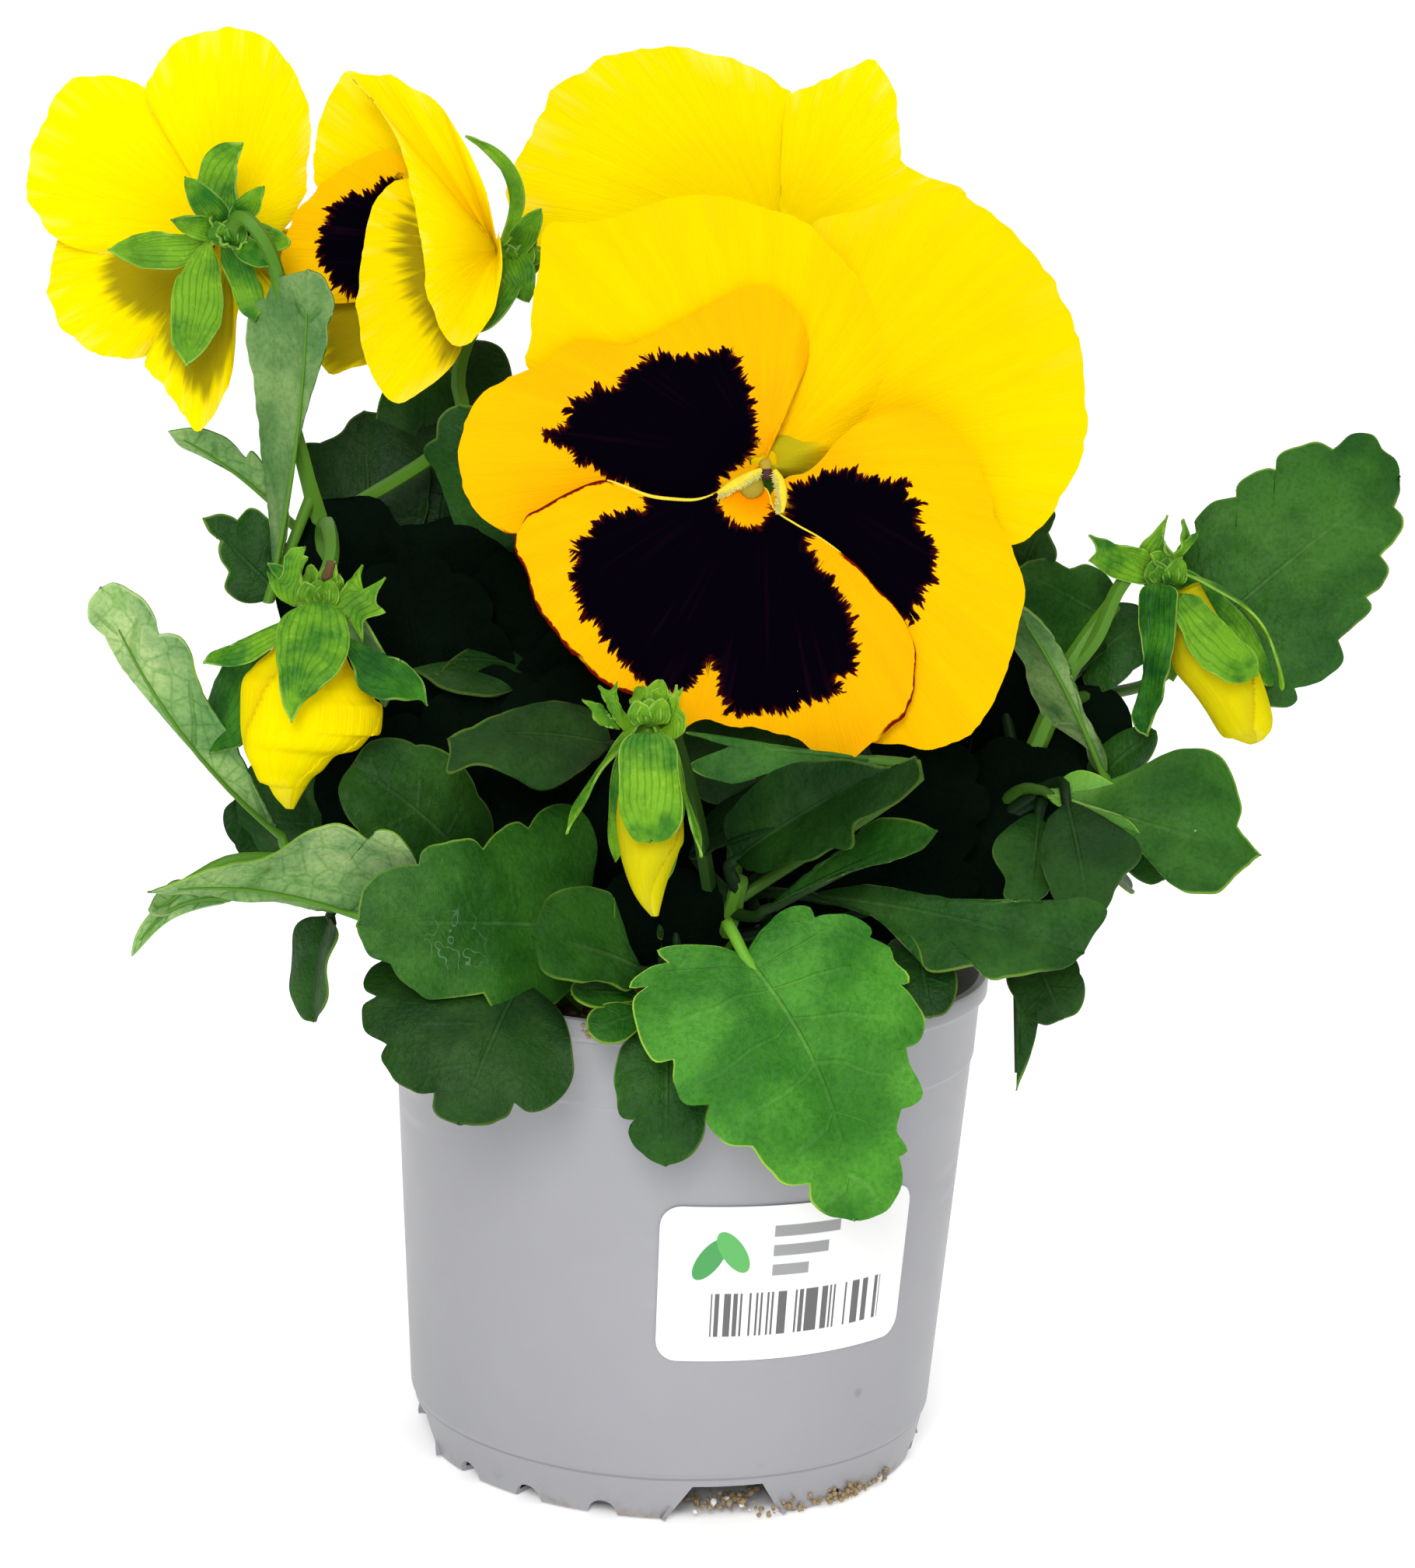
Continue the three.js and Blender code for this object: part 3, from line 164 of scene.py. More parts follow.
# Leaves drawn one by one. Each side has its lobes from the base to the tip, and a lobe has its
# points along and across the blade, up to the notch that ends it.
OUTLINES = {
    "bright_heart": (
        (((-3, 2), (-7.5, 7), (-9, 10), (-6.5, 10)),
         ((-8, 12.5), (-8, 17), (-6, 15)),
         ((-6, 18), (0, 21.5), (5.5, 22), (7, 19.5)),
         ((10, 21), (15.5, 21.5), (18, 18)),
         ((20.5, 19.5), (26.5, 18), (28.5, 14.5)),
         ((32, 13.5), (36.5, 11), (37.5, 7)),
         ((40.5, 7), (43.5, 4.5)),),
        (((-1.5, -6.5), (-1, -11), (0.5, -13), (2, -12.5)),
         ((2.5, -14), (4, -17), (7.5, -19), (8, -18)),
         ((10.5, -20), (12, -19.5), (14.5, -20.5), (15.5, -20), (15, -18.5)),
         ((18, -19.5), (21, -19.5), (23, -17), (23, -14.5)),
         ((25, -14), (29.5, -14.5), (30.5, -12.5), (30.5, -10.5)),
         ((33, -9), (36.5, -10), (37, -8.5)),
         ((40, -8.5), (43.5, -6.5), (45, -3)),),
    ),
    "broad_left": (
        (((-4.5, 8), (-5, 16.5), (-1, 20.5), (4.5, 19), (7, 16)),
         ((9, 17), (13, 15), (16, 12)),
         ((17.5, 13.5), (22, 13), (26, 11.5), (26.5, 9.5)),
         ((31, 9), (35, 6)),),
        (((-3, -5.5), (1.5, -11), (6.5, -14.5), (9.5, -16.5), (14.5, -15.5), (17, -11.5)),
         ((21, -12), (26, -12), (30.5, -8.5), (31.5, -6.5)),
         ((34.5, -5), (36, -2)),),
    ),
    "low_shield": (
        (((-5, 11.5), (-1, 20.5), (6.5, 23.5), (10.5, 22.5), (11.5, 20)),
         ((14, 21.5), (18, 19.5), (19, 15.5)),
         ((21.5, 15.5), (24.5, 9), (23.5, 5.5)),
         ((25.5, 5), (26.5, 2.5)),),
        (((2.5, -7), (9, -12), (14.5, -14), (20, -12), (21.5, -9.5), (21, -7)),
         ((23.5, -6.5), (25.5, -3.5)),),
    ),
    "small_ladle": (
        (((5.5, 2.5), (8, 6.5), (8.5, 10.5), (12.5, 11), (18, 9), (21, 5.5)),),
        (((5, -5), (9.5, -5), (16, -6.5), (20.5, -5.5)),),
    ),
    "small_club": (
        (((6, 6), (9, 8), (15.5, 8), (18.5, 7), (19, 5)),
         ((21, 6), (24.5, 3.5)),),
        (((5.5, -6), (14, -7), (22.5, -5.5), (25, -3)),),
    ),
    "raised_under": (
        (((13, 0), (28, 1), (40.5, 3), (46, 3)),
         ((47.5, 4.5), (50.5, 3)),),
        (((19.5, -7), (29.5, -8)),
         ((33.5, -9), (39, -10), (41, -8), (41.5, -6)),
         ((45.5, -7), (50, -5), (52, -2.5)),),
    ),
    "wide_under": (
        (((9.5, 3.5), (20, 3), (27.5, 3.5)),),
        (((-3.5, -6.5), (-4.5, -16.5), (0.5, -23), (3, -22), (3.5, -17.5)),
         ((8.5, -19), (12.5, -16), (17.5, -9), (24, -6), (31, -1.5)),),
    ),
    "low_paddle": (
        (((2, 8.5), (7, 8.5), (13, 6.5), (17.5, 3)),),
        (((4, -7), (8, -5.5), (14.5, -6)),),
    ),
    "ragged": (
        (((4, 4.5), (10.5, 8), (14.5, 7), (14.5, 4)),
         ((17, 3),),),
        (((3, -5), (7.5, -6), (9, -3.5)),
         ((12.5, -2.5), (14, -0.5)),
         ((16.5, -1),),),
    ),
    "tall_fold": (
        (((11.5, 4.5), (21.5, 8.5), (32.5, 11.5), (39, 13.5), (44, 12), (45.5, 9.5)),
         ((48.5, 8),),),
        (((10, -0.5), (17.5, 2), (28.5, 0), (34.5, -1), (40, -3.5), (44, -3.5)),
         ((46, -4.5), (51, -3)),),
    ),
    "flick": (
        (((10, 1), (17, 3)),),
        (((4.5, -5), (8, -6), (8, -3.5)),
         ((13, -5.5), (17, -4)),),
    ),
    "dusk": (
        (((7.5, 9), (18, 11), (26.5, 8)),),
        (((12.5, -9), (23.5, -11), (23.5, -8)),
         ((25, -4.5), (27.5, -2.5)),),
    ),
    "lobed": (
        (((9, 5), (23.5, 8), (35, 4.5)),),
        (((8, -6), (17, -10), (23.5, -9.5)),
         ((29, -9), (33.5, -9), (34.5, -6)),
         ((37.5, -4),),),
    ),
    "fin": (
        (((1, 7), (6, 8), (12.5, 6.5), (18, 5), (24.5, 1.5)),
         ((27, 1),),),
        (((8.5, -8.5), (16, -12.5), (20.5, -10), (26, -7), (30.5, -7.5), (29, -3)),),
    ),
    "lid": (
        (((-1, 6.5), (5.5, 6.5), (14.5, 1.5), (20, -4)),
         ((21, -0.5),),),
        (((12.5, -11), (20, -7)),),
    ),
    "cowl": (
        (((6.5, 7), (12, 8.5)),
         ((16.5, 10.5), (21, 10.5)),
         ((24, 12.5), (26, 8.5), (29, 8.5)),
         ((32.5, 8), (37, 5)),),
        (((2, -6.5), (12, -8.5), (24.5, -5.5), (33, 0)),),
    ),
    "long_blade": (
        (((9.5, -0.5), (21, 1), (31, 2)),),
        (((8.5, -2), (18.5, -4), (23, -6), (30, -3.5)),),
    ),
    "apron": (
        (((8.5, 1.5), (13, 2.5), (18, 4), (21.5, 7), (24, 10.5), (31, 7.5)),
         ((33.5, 9.5), (41.5, 5.5)),
         ((44.5, 3.5),),),
        (((10.5, -3), (26, -3.5), (38, -6.5), (44.5, -9.5), (48, -8.5), (47, -3)),),
    ),
    "hood": (
        (((6.5, 4.5), (15, 6.5), (23.5, 4.5)),),
        (((6, -6.5), (13.5, -10.5), (19, -6), (24.5, -3)),),
    ),
    "cuff": (
        (((6, 4.5), (13.5, 7), (19, 4), (22.5, 4)),),
        (((10.5, -2.5), (20, -3)),),
    ),
    "winged": (
        (((4, 2), (14, 0), (20, 3.5), (26.5, 10.5), (32, 10), (34.5, 5.5)),
         ((36, 3),),),
        (((4.5, -5.5), (12.5, -5.5), (14, -9.5), (19, -14.5), (28, -16), (33.5, -8.5), (33.5, -4)),
         ((35.5, -2),),),
    ),
    "great": (
        (((-1, 10.5), (4, 19), (6.5, 19.5), (7.5, 17.5)),
         ((11.5, 19.5), (17, 19.5), (18.5, 16.5)),
         ((23.5, 16.5), (26.5, 16), (27, 14)),
         ((30.5, 14), (34, 12), (34.5, 9.5)),
         ((39.5, 8.5), (42.5, 6.5), (42.5, 4)),
         ((45, 2.5),),),
        (((4.5, -8.5), (10, -14), (14, -14.5)),
         ((14.5, -16.5), (19, -17), (23, -15)),
         ((25, -17), (31, -16), (32, -14.5)),
         ((34, -16.5), (40.5, -14), (41.5, -11)),
         ((46.5, -11), (49, -9), (48.5, -6)),
         ((49, -2.5),),),
    ),
    "scarf": (
        (((2.5, 2), (11, 1.5), (11.5, 7), (17.5, 7.5), (25, 5.5), (31, 6)),),
        (((3.5, -1.5), (13, -1), (19, -2), (26.5, -2.5), (34.5, -2)),),
    ),
    "shade": (
        (((2, 6.5), (8, 8), (12, 5)),
         ((17.5, 4.5),),),
        (((8, -10.5), (17.5, -7.5)),),
    ),
    "ghost": (
        (((4, 4), (9, 4), (11.5, 1.5)),
         ((14.5, 1.5),),),
        (((5, -4), (13, -4)),),
    ),
    "drip": (
        (((3, 1), (10, -0.5), (17.5, -0.5)),),
        (((-0.5, -7), (3, -8.5), (7.5, -4.5), (15.5, -2)),),
    ),
    "bud_shield": (
        (((3.6, 4.6), (9.6, 4.4), (13.2, 3.2), (17.4, 1.8)),),
        (((0.6, -4), (3.6, -6.4), (8.2, -6.8), (11.8, -5.6), (14.2, -3.4), (16.8, -1.4)),),
    ),
    "bud_wing": (
        (((3.8, 3.8), (7.8, 6), (11.6, 5.4), (14.4, 2.4), (16, 0.2)),),
        (((2.4, 0.2), (6.2, -0.8), (10, -2.2), (13.4, -2.4)),),
    ),
    "bud_arm": (
        (((4, -0.8), (8.8, -0.2), (12.2, 0.6)),),
        (((1.4, -3.2), (5.4, -4), (9.6, -3.4)),),
    ),
    "bud_shade": (
        (((4.6, 3), (10, 4.6), (14.4, 5.4), (18.2, 4.4), (22, 2)),),
        (((2.4, -3.6), (8, -4), (14.2, -6.2), (17.6, -6.8), (20.8, -4)),),
    ),
    "bud_tongue": (
        (((0.4, 3), (2.2, 4.4), (7.4, 4.6), (12, 4.6), (14.8, 3.6), (16.6, 2)),),
        (((0.6, -3), (2.8, -4.4), (7.4, -4.6), (12.2, -5.2), (15.2, -4.2), (16.6, -1.8)),),
    ),
    "bud_drape": (
        (((1, 2.6), (5.6, 2.8), (10.8, 1.6), (15.4, 1.2), (20, 2), (22.6, 2.8), (25, 1.8)),),
        (((1.2, -3.8), (6.2, -4.2), (12.6, -3.8), (18.2, -3), (22.4, -1.4)),),
    ),
    "bud_oval": (
        (((1.2, 2.6), (4.6, 5), (9.2, 6), (12.8, 6), (16, 4.8), (17.8, 3)),),
        (((2.4, -1.6), (6.8, -1.6), (11.2, -1.8), (15.2, -2), (17.4, -1.4)),),
    ),
    "hooked": (
        (((1, 4.2), (5, 1.4), (8.8, 0.2)),),
        (((-1, -3.6), (3.6, -5.2), (8, -5.2), (10.8, -3.4)),),
    ),
    "side_fin": (
        (((3.6, 1.4), (8.6, 2.2), (12.8, 1.6)),),
        (((1.2, -2), (4.6, -4), (9.2, -3.8), (13.2, -2.2)),),
    ),
    "low_fin": (
        (((3.2, 2.2), (8.4, 4.4), (13.4, 4.2), (18.4, 2.8)),),
        (((3.6, -2.2), (8.4, -3.8), (13.6, -4.2), (18.4, -2.4)),),
    ),
    "crook": (
        (((3, 1.8), (7.6, 2), (12.4, 1.8)),),
        (((3.4, -1.8), (9.2, -3), (12.6, -2.4)),),
    ),
    "frill": (
        (((1.6, 3.4), (3.6, 1), (6, 0.2), (8.2, 0.8)),
         ((8.4, -0.2),),),
        (((0.6, -2), (2.2, -4), (4.6, -5.4)),
         ((3.4, -3.6), (4.6, -2.8), (7.4, -3)),
         ((9.2, -2),),),
    ),
    "horn": (
        (((1, 2.2), (2, 3.4), (1, 7.2)),
         ((2.8, 4.6), (4.6, 4.4), (6.8, 5)),
         ((6.2, 3),),),
        (((2, -1.4), (4.8, -2.6), (7.6, -3.6)),
         ((6.2, -1.6), (5.6, 0.4), (6.6, 1.4)),),
    ),
    "prong": (
        (((0.2, 1.6), (3.8, 1.2), (6.8, 1.8), (8, 3)),
         ((7.4, 1.2),),),
        (((2.8, -0.4), (6, -0.4)),),
    ),
    "lip": (
        (((2.8, 0.6), (5, 1.2)),),
        (((2.2, -1), (4.2, -1.4), (5.6, -0.2)),),
    ),
    "fork": (
        (((1.8, 2), (4.2, 1.8), (6, 0.6), (8.8, 1)),
         ((8.2, 0.4),),),
        (((1, -2.2), (3.2, -0.6), (5.6, -0.2), (7.8, -1.2)),
         ((7.4, -0.4),),),
    ),
    "star": (
        (((2.4, 2.2), (5, 1.6), (9, 0.6)),),
        (((-0.2, -2.4), (3, -4), (6.2, -4.4), (11.2, -4)),
         ((10.6, -2),),),
    ),
    "spur": (
        (((2.2, 2.6), (4.2, 0.6), (6, -0.4)),),
        (((1.4, -3.4), (3.2, -3.8), (6, -1.8)),),
    ),
}

# Each stem has its radius and the points that it grows through
STEMS = {
    "front": (2.2, ((2, -14, 74), (4, -26, 88), (6, -38, 99), (8, -44, 110))),
    "left": (2.2, ((-14, -6, 74), (-30, -16, 90), (-48, -22, 102), (-62, -20, 108))),
    "tall": (2.2, ((-12, 10, 74), (-30, 10, 105), (-50, 4, 138), (-63.5, -1, 155), (-70, -6, 176))),
    "right": (2.4, ((12, -4, 74), (34, -6, 98), (54, -4, 118), (64, -5, 143), (70, -3, 152))),
    "back": (2.2, ((2, 14, 74), (4, 24, 100), (8, 28, 130), (8, 26, 150))),
    "rear_left": (2.2, ((-10, 20, 74), (-26, 34, 96), (-40, 42, 120))),
    "rear_right": (2.2, ((14, 16, 74), (30, 30, 96), (44, 38, 120))),
}


def inner(stem, share, base, tip, width, form="oval", tone=0):
    """A leaf inside the plant, which stands upright and is painted in deep shade where its tone is 0"""
    return stem, share, base, tip, (0, -0.95, 0.3), width, 2, 6, form, 0, tone


# Leaves: stem, share along it, base, tip, way it faces, width, arch, fold in degrees, form,
# sideways bow and tone, which is partly how young and bright it is and partly painted shade, with 0
# for the deep painted shade inside the plant. A leaf's place in the list seeds its unevenness.
LEAVES = (
    ("front", 0.75, (9, -57, 100.5), (28, -64, 60), (0.1, -0.95, 0.5), 38, 4, 8, "bright_heart", -3, 0.88),
    ("left", 0.35, (-19, -42, 100.5), (-52.5, -56, 102.5), (-0.1, -0.9, 0.35), 34, 3, 6,
     "broad_left", 0, 0.4),
    ("left", 0.25, (-26.5, -50, 93), (-34.5, -66, 73.5), (0, -0.8, 0.5), 30, 4, 0, "low_shield", 0, 0.16),
    ("front", 0.45, (-6.5, -50, 95.5), (-24.5, -61, 103), (0, -0.8, 0.6), 18, 2, 5, "small_ladle", 0, 0.3),
    ("front", 0.35, (-3, -52, 91), (-2, -62, 67), (0, -1, 0.3), 17, 2, 8, "small_club", 0, 0.3),
    ("left", 0.95, (-69, -20, 109), (-98, -30, 151), (0.2, 0.95, 0.3), 13, -3, 5, "raised_under", 2, 0.75),
    ("left", 0.7, (-54, -38, 100), (-86.5, -50, 105), (0.1, 0.8, 0.6), 26, 3, 8, "wide_under", 0, 0.62),
    ("left", 0.85, (-76.5, -30, 100), (-91.5, -34, 90.5), (0, 0.8, 0.3), 3.6, 1, 8, "sepal", -3.2, 0.8),
    ("left", 0.85, (-83, -32, 103), (-88.5, -36, 99), (0, 0.8, 0.3), 5, 1, 20, "sepal", 1.5, 0.7),
    ("left", 0.8, (-60.5, -20, 95.5), (-62, -26, 78.5), (-0.8, -0.5, 0.2), 12, 1, 15, "low_paddle", 0, 0.3),
    ("tall", 0.7, (-73, 5, 146), (-87, 8, 158.5), (-0.1, -0.9, 0.3), 15, 1, 5, "ragged", 0, 0.3),
    ("tall", 0.9, (-72, -12, 151), (-67, -16, 203), (0.3, 0.8, 0), 11, 3, 20, "tall_fold", 0, 0.42),
    ("tall", 0.8, (-75, 5, 162.5), (-92, 0, 174), (-0.2, 0.5, 0.8), 7, 1, 15, "flick", 0, 0.7),
    ("tall", 0.6, (-58, 15, 149), (-61, 22, 177), (0, -0.9, 0.4), 20, 1, 8, "dusk", 0, 0.12),
    ("tall", 0.5, (-47, 18, 155), (-42, 26, 190), (-0.2, -0.9, 0.3), 20, 2, 8, "oval", 0, 0.12),
    ("tall", 0.45, (-25, 4, 148), (-42.5, -3, 181), (-0.3, -0.9, 0.3), 20, 2, 8, "lobed", 0, 0.25),
    ("left", 0.3, (-14, -30, 128.5), (-40, -42, 130.5), (0, -0.6, 0.8), 15, 2, 8, "fin", 0, 0.2),
    ("tall", 0.3, (-28, -5, 136.5), (-48, -16, 137.5), (0, -0.5, 0.9), 14, 2, 8, "lid", 0, 0.15),
    ("left", 0.5, (-37, -28, 108), (-56, -33, 124), (0, -0.8, 0.6), 20, 2, 8, "oval", 0, 0.25),
    ("front", 0.9, (2, -36, 114), (27, -51, 128), (0, -0.5, 0.9), 16, 2, 15, "oval", 0, 0.06),
    ("front", 0.95, (7, -48, 114), (34, -62, 134.5), (0.4, -0.7, 0.7), 20, 2, 25, "cowl", 0, 0.13),
    ("front", 0.85, (12, -48, 106), (38, -62, 123), (0.1, -0.8, 0.6), 12, 1, 5, "long_blade", 0, 0.3),
    ("right", 0.15, (19, -38, 106.5), (63, -52, 102), (0, -0.8, 0.6), 22, 3, 12, "apron", 0, 0.3),
    ("right", 0.5, (62, -22, 121), (65, -44, 103.5), (0, -0.8, 0.6), 19, 2, 5, "hood", 0, 0.2),
    ("right", 0.45, (58, -18, 118), (55, -38, 106), (0, -0.8, 0.6), 14, 2, 5, "cuff", 0, 0.25),
    ("right", 0.55, (59, -14, 121), (94.5, -26, 114), (0, -0.8, 0.6), 27, 3, 10, "winged", 2, 0.42),
    ("right", 0.8, (86, 10, 143.5), (121.5, 20, 173.5), (-0.3, -0.9, 0.3), 33, 3, 6, "great", 0, 0.42),
    ("right", 0.7, (70, -8, 122.5), (51, -20, 154), (0.3, 0.7, 0.5), 15, 2, 15, "scarf", 0, 0.42),
    ("right", 0.9, (72, 10, 146.5), (53, 4, 156), (0, -0.8, 0.6), 14, 1, 5, "shade", 0, 0.3),
    ("right", 0.65, (54, 8, 152), (59.5, 10, 167), (0, -0.9, 0.3), 14, 1, 5, "ghost", 0, 0.2),
    ("right", 0.75, (66, 2, 140), (77, 4, 149), (0, -0.8, 0.6), 12, 1, 5, "egg", 0, 0.3),
    ("right", 0.3, (55, -30, 94.5), (55.5, -34, 74), (0.2, -1, 0), 9, 0, 15, "drip", 0, 0.3),
    ("left", 0.75, (-58, -15, 110), (-62, -20, 123), (0, -0.9, 0.4), 10, 1, 5, "egg", 0, 0.3),
    ("back", 0.3, (-6, 40, 98), (-20, 66, 84), (0, 0.8, 0.6), 30, 3, 6, "oval", 0, 0.3),
    ("back", 0.35, (14, 44, 100), (28, 70, 90), (0.2, 0.8, 0.6), 30, 3, 6, "oval", 0, 0.3),
    ("back", 0.6, (2, 46, 118), (-6, 72, 116), (0, 0.5, 0.9), 26, 3, 8, "oval", 0, 0.3),
    ("back", 0.7, (18, 42, 128), (32, 60, 138), (0.2, 0.6, 0.8), 24, 3, 8, "oval", 0, 0.3),
    ("back", 0.8, (-6, 42, 134), (-16, 62, 146), (0, 0.8, 0.6), 22, 2, 8, "oval", 0, 0.3),
    ("rear_left", 0.5, (-38, 44, 98), (-62, 60, 88), (-0.4, 0.6, 0.7), 30, 3, 6, "oval", 0, 0.3),
    ("rear_left", 0.95, (-50, 42, 118), (-76, 52, 122), (-0.3, 0.3, 0.9), 24, 3, 8, "oval", 0, 0.3),
    ("rear_left", 0.9, (-38, 48, 126), (-44, 66, 142), (-0.2, 0.8, 0.5), 20, 2, 8, "egg", 0, 0.3),
    ("rear_left", 0.6, (-50, 30, 104), (-78, 30, 98), (-0.5, 0, 0.9), 22, 3, 8, "oval", 0, 0.3),
    ("rear_right", 0.5, (42, 42, 98), (64, 56, 88), (0.4, 0.6, 0.7), 30, 3, 6, "oval", 0, 0.3),
    ("rear_right", 0.95, (54, 40, 118), (78, 48, 120), (0.3, 0.3, 0.9), 24, 3, 8, "oval", 0, 0.3),
    ("rear_right", 0.9, (50, 46, 128), (62, 60, 144), (0.2, 0.8, 0.5), 20, 2, 8, "egg", 0, 0.3),
    ("rear_right", 0.6, (54, 28, 104), (80, 26, 96), (0.5, 0, 0.9), 22, 3, 8, "oval", 0, 0.3),
    inner("left", 0.55, (-57, -2, 129), (-62, -2, 164), 24),
    inner("left", 0.7, (-69, -10, 102.5), (-70, -12, 121), 15, tone=0.3),
    inner("left", 0.7, (-64, -14, 106.5), (-64, -16, 124), 16, "egg", tone=0.3),
    inner("tall", 0.5, (-51, 22, 161), (-50.5, 24, 186), 15, tone=0.25),
    inner("front", 0.7, (32.5, -15, 108.5), (33, -15, 130.5), 30),
    inner("left", 0.5, (-27.5, -2, 135.5), (-30, -2, 156), 24),
    inner("left", 0.4, (-17.5, -8, 123.5), (-19.5, -8, 144), 24),
    inner("front", 0.3, (-4, -42, 95.5), (-6, -38, 108.5), 22),
    ("front", 0.9, (29, -44, 130.5), (5.5, -46, 132), (0, -0.9, 0.4), 7, 1, 5, "long_blade", 0, 0.5),
    ("front", 0.9, (21.5, -26, 128.5), (-2, -26, 127), (0, -0.9, 0.4), 20, 1, 5, "oval", 0, 0.12),
    inner("left", 0.5, (-44, -8, 120), (-51, -6, 154), 28),
    inner("front", 0.9, (-34, -4, 116), (-34, -2, 149), 28),
    inner("left", 0.45, (-27, -14, 114), (-40, -16, 135), 26),
    inner("left", 0.6, (-47, -18, 107), (-54, -18, 128), 24),
    inner("left", 0.3, (-33, -16, 102), (-36, -16, 125), 32),
    inner("front", 0.5, (-17, -20, 103), (-21, -20, 126), 28),
    inner("front", 0.6, (-3, -16, 101), (1, -14, 123), 30),
    inner("front", 0.7, (13, -22, 99), (14, -20, 122), 32),
    inner("right", 0.2, (28, -16, 95), (31, -14, 119), 34),
    inner("right", 0.3, (42, -10, 95), (46, -8, 121), 32),
    inner("right", 0.5, (53, -8, 102), (58, -6, 127), 26),
    inner("right", 0.85, (60, 8, 116), (58, 10, 145), 22),
    inner("right", 0.7, (47, 4, 121), (51, 6, 151), 28),
    inner("right", 0.6, (66, -2, 110), (67, 0, 137), 18),
    inner("front", 0.5, (-9, -22, 107), (-27, -20, 137), 28),
    inner("front", 0.7, (14, -12, 104), (12, -8, 130), 36),
    inner("front", 0.6, (2, -16, 104), (-5, -14, 130), 28),
    inner("left", 0.5, (-42, -2, 134), (-48, 0, 160), 26),
    ("front", 0.2, (-6, -50, 91), (-18, -57, 93), (0, -0.5, 0.9), 7, 1, 5, "spoon", 0, 0.5),
    ("front", 0.3, (-5, -54, 90), (-15, -61, 88), (0, -0.8, 0.6), 7, 1, 5, "spoon", 0, 0.5),
    ("right", 0.3, (58, -30, 95), (62, -36, 87), (0, -0.9, 0.2), 11, 1, 5, "egg", 0, 0.2),
    ("front", 0.5, (37, -45, 101), (39, -54, 91), (0, -0.9, 0.4), 10, 1, 5, "egg", 0, 0.2),
    ("front", 0.6, (-2, -42, 100), (-4, -38, 109), (0, -1, 0.2), 8, 1, 5, "egg", 0, 0.2),
    ("left", 0.9, (-72, -10, 105), (-78, -12, 113), (0, -0.9, 0.4), 9, 1, 5, "egg", 0, 0.2),
    ("right", 0.6, (73, -10, 116), (80, -16, 107), (0, -0.9, 0.4), 9, 1, 5, "egg", 0, 0.3),
    ("right", 0.7, (69, -6, 122), (78, -8, 131), (0, -0.8, 0.6), 8, 1, 5, "egg", 0, 0.3),
)

# Sepals: base, tip, way it faces, width, arch, fold, form and sideways bow
SEPALS = {
    "front": (
        ((8, -22, 180), (4, -15, 194), (0, 1, 0.3), 7, 2, 10, "sepal"),
        ((12, -22, 180), (20, -16, 191), (0.3, 1, 0.3), 7, 2, 10, "sepal"),
        ((5, -22, 176), (-8, -16, 174), (-0.2, 1, 0), 7, 2, 10, "sepal"),
        ((13, -22, 175), (24, -17, 169), (0.2, 1, 0), 7, 2, 10, "sepal"),
        ((8, -23, 172), (6, -22, 158), (0, 1, -0.2), 8, 2, 10, "sepal"),
    ),
    "left": (
        ((-83.5, -8, 211.5), (-79, -9, 223), (0, -1, 0.2), 9, -1.5, 8, "hooked"),
        ((-85.5, -8, 206.5), (-101, -9, 204.5), (0, -1, 0), 6, -1.5, 8, "side_fin"),
        ((-84.5, -9, 207), (-87.5, -11, 186), (0, -1, -0.2), 9, -2, 8, "low_fin"),
        ((-82, -8, 207.5), (-76.5, -8, 193.5), (0, -1, 0), 5, -1, 8, "crook"),
        ((-79, -9, 209), (-71, -8, 207), (0, -1, 0.3), 5, -2, 10, "sepal"),
        ((-84, -9, 212), (-88, -12, 217), (0, -1, 0), 5, 0.5, 0, "ear"),
        ((-80, -9, 211), (-75, -12, 216), (0, -1, 0), 4, 0.5, 0, "ear"),
        ((-86, -9, 208), (-90, -13, 210), (0, -1, 0), 4, 0.5, 0, "ear"),
        ((-79, -9, 206), (-74, -12, 203), (0, -1, 0), 4, 0.5, 0, "ear"),
    ),
    "side": (
        ((-36.5, 2, 207.5), (-43, 0, 225.5), (0, -1, 0), 2.6, 1, 8, "sepal", 5.5),
        ((-37, 1, 207), (-30, 0, 214), (0.2, -1, 0.2), 4.5, 1, 8, "sepal"),
        ((-36.5, 1, 206.5), (-31.5, 0, 198.5), (0, -1, 0), 6, 2, 8, "sepal"),
        ((-35.5, 0, 203), (-39, -6, 193.5), (0, -1, 0.2), 6.5, 1, 10, "sepal"),
        ((-36.5, 3, 206), (-30, 6, 204), (0, -1, 0.4), 5.5, 1, 10, "sepal"),
    ),
    "rear": (
        ((7, 24, 210), (-1, 28, 204), (0, -1, 0.2), 6, -2, 10, "sepal"),
        ((15, 24, 210), (22, 28, 205), (0, -1, 0.2), 6, -2, 10, "sepal"),
        ((13, 24, 207), (19, 26, 196), (0, -1, 0), 7, -2, 10, "sepal"),
        ((9, 24, 207), (2, 26, 196), (0, -1, 0), 7, -2, 10, "sepal"),
        ((11, 24, 206), (11, 24, 194), (0, -1, 0), 7, -2, 10, "sepal"),
    ),
}

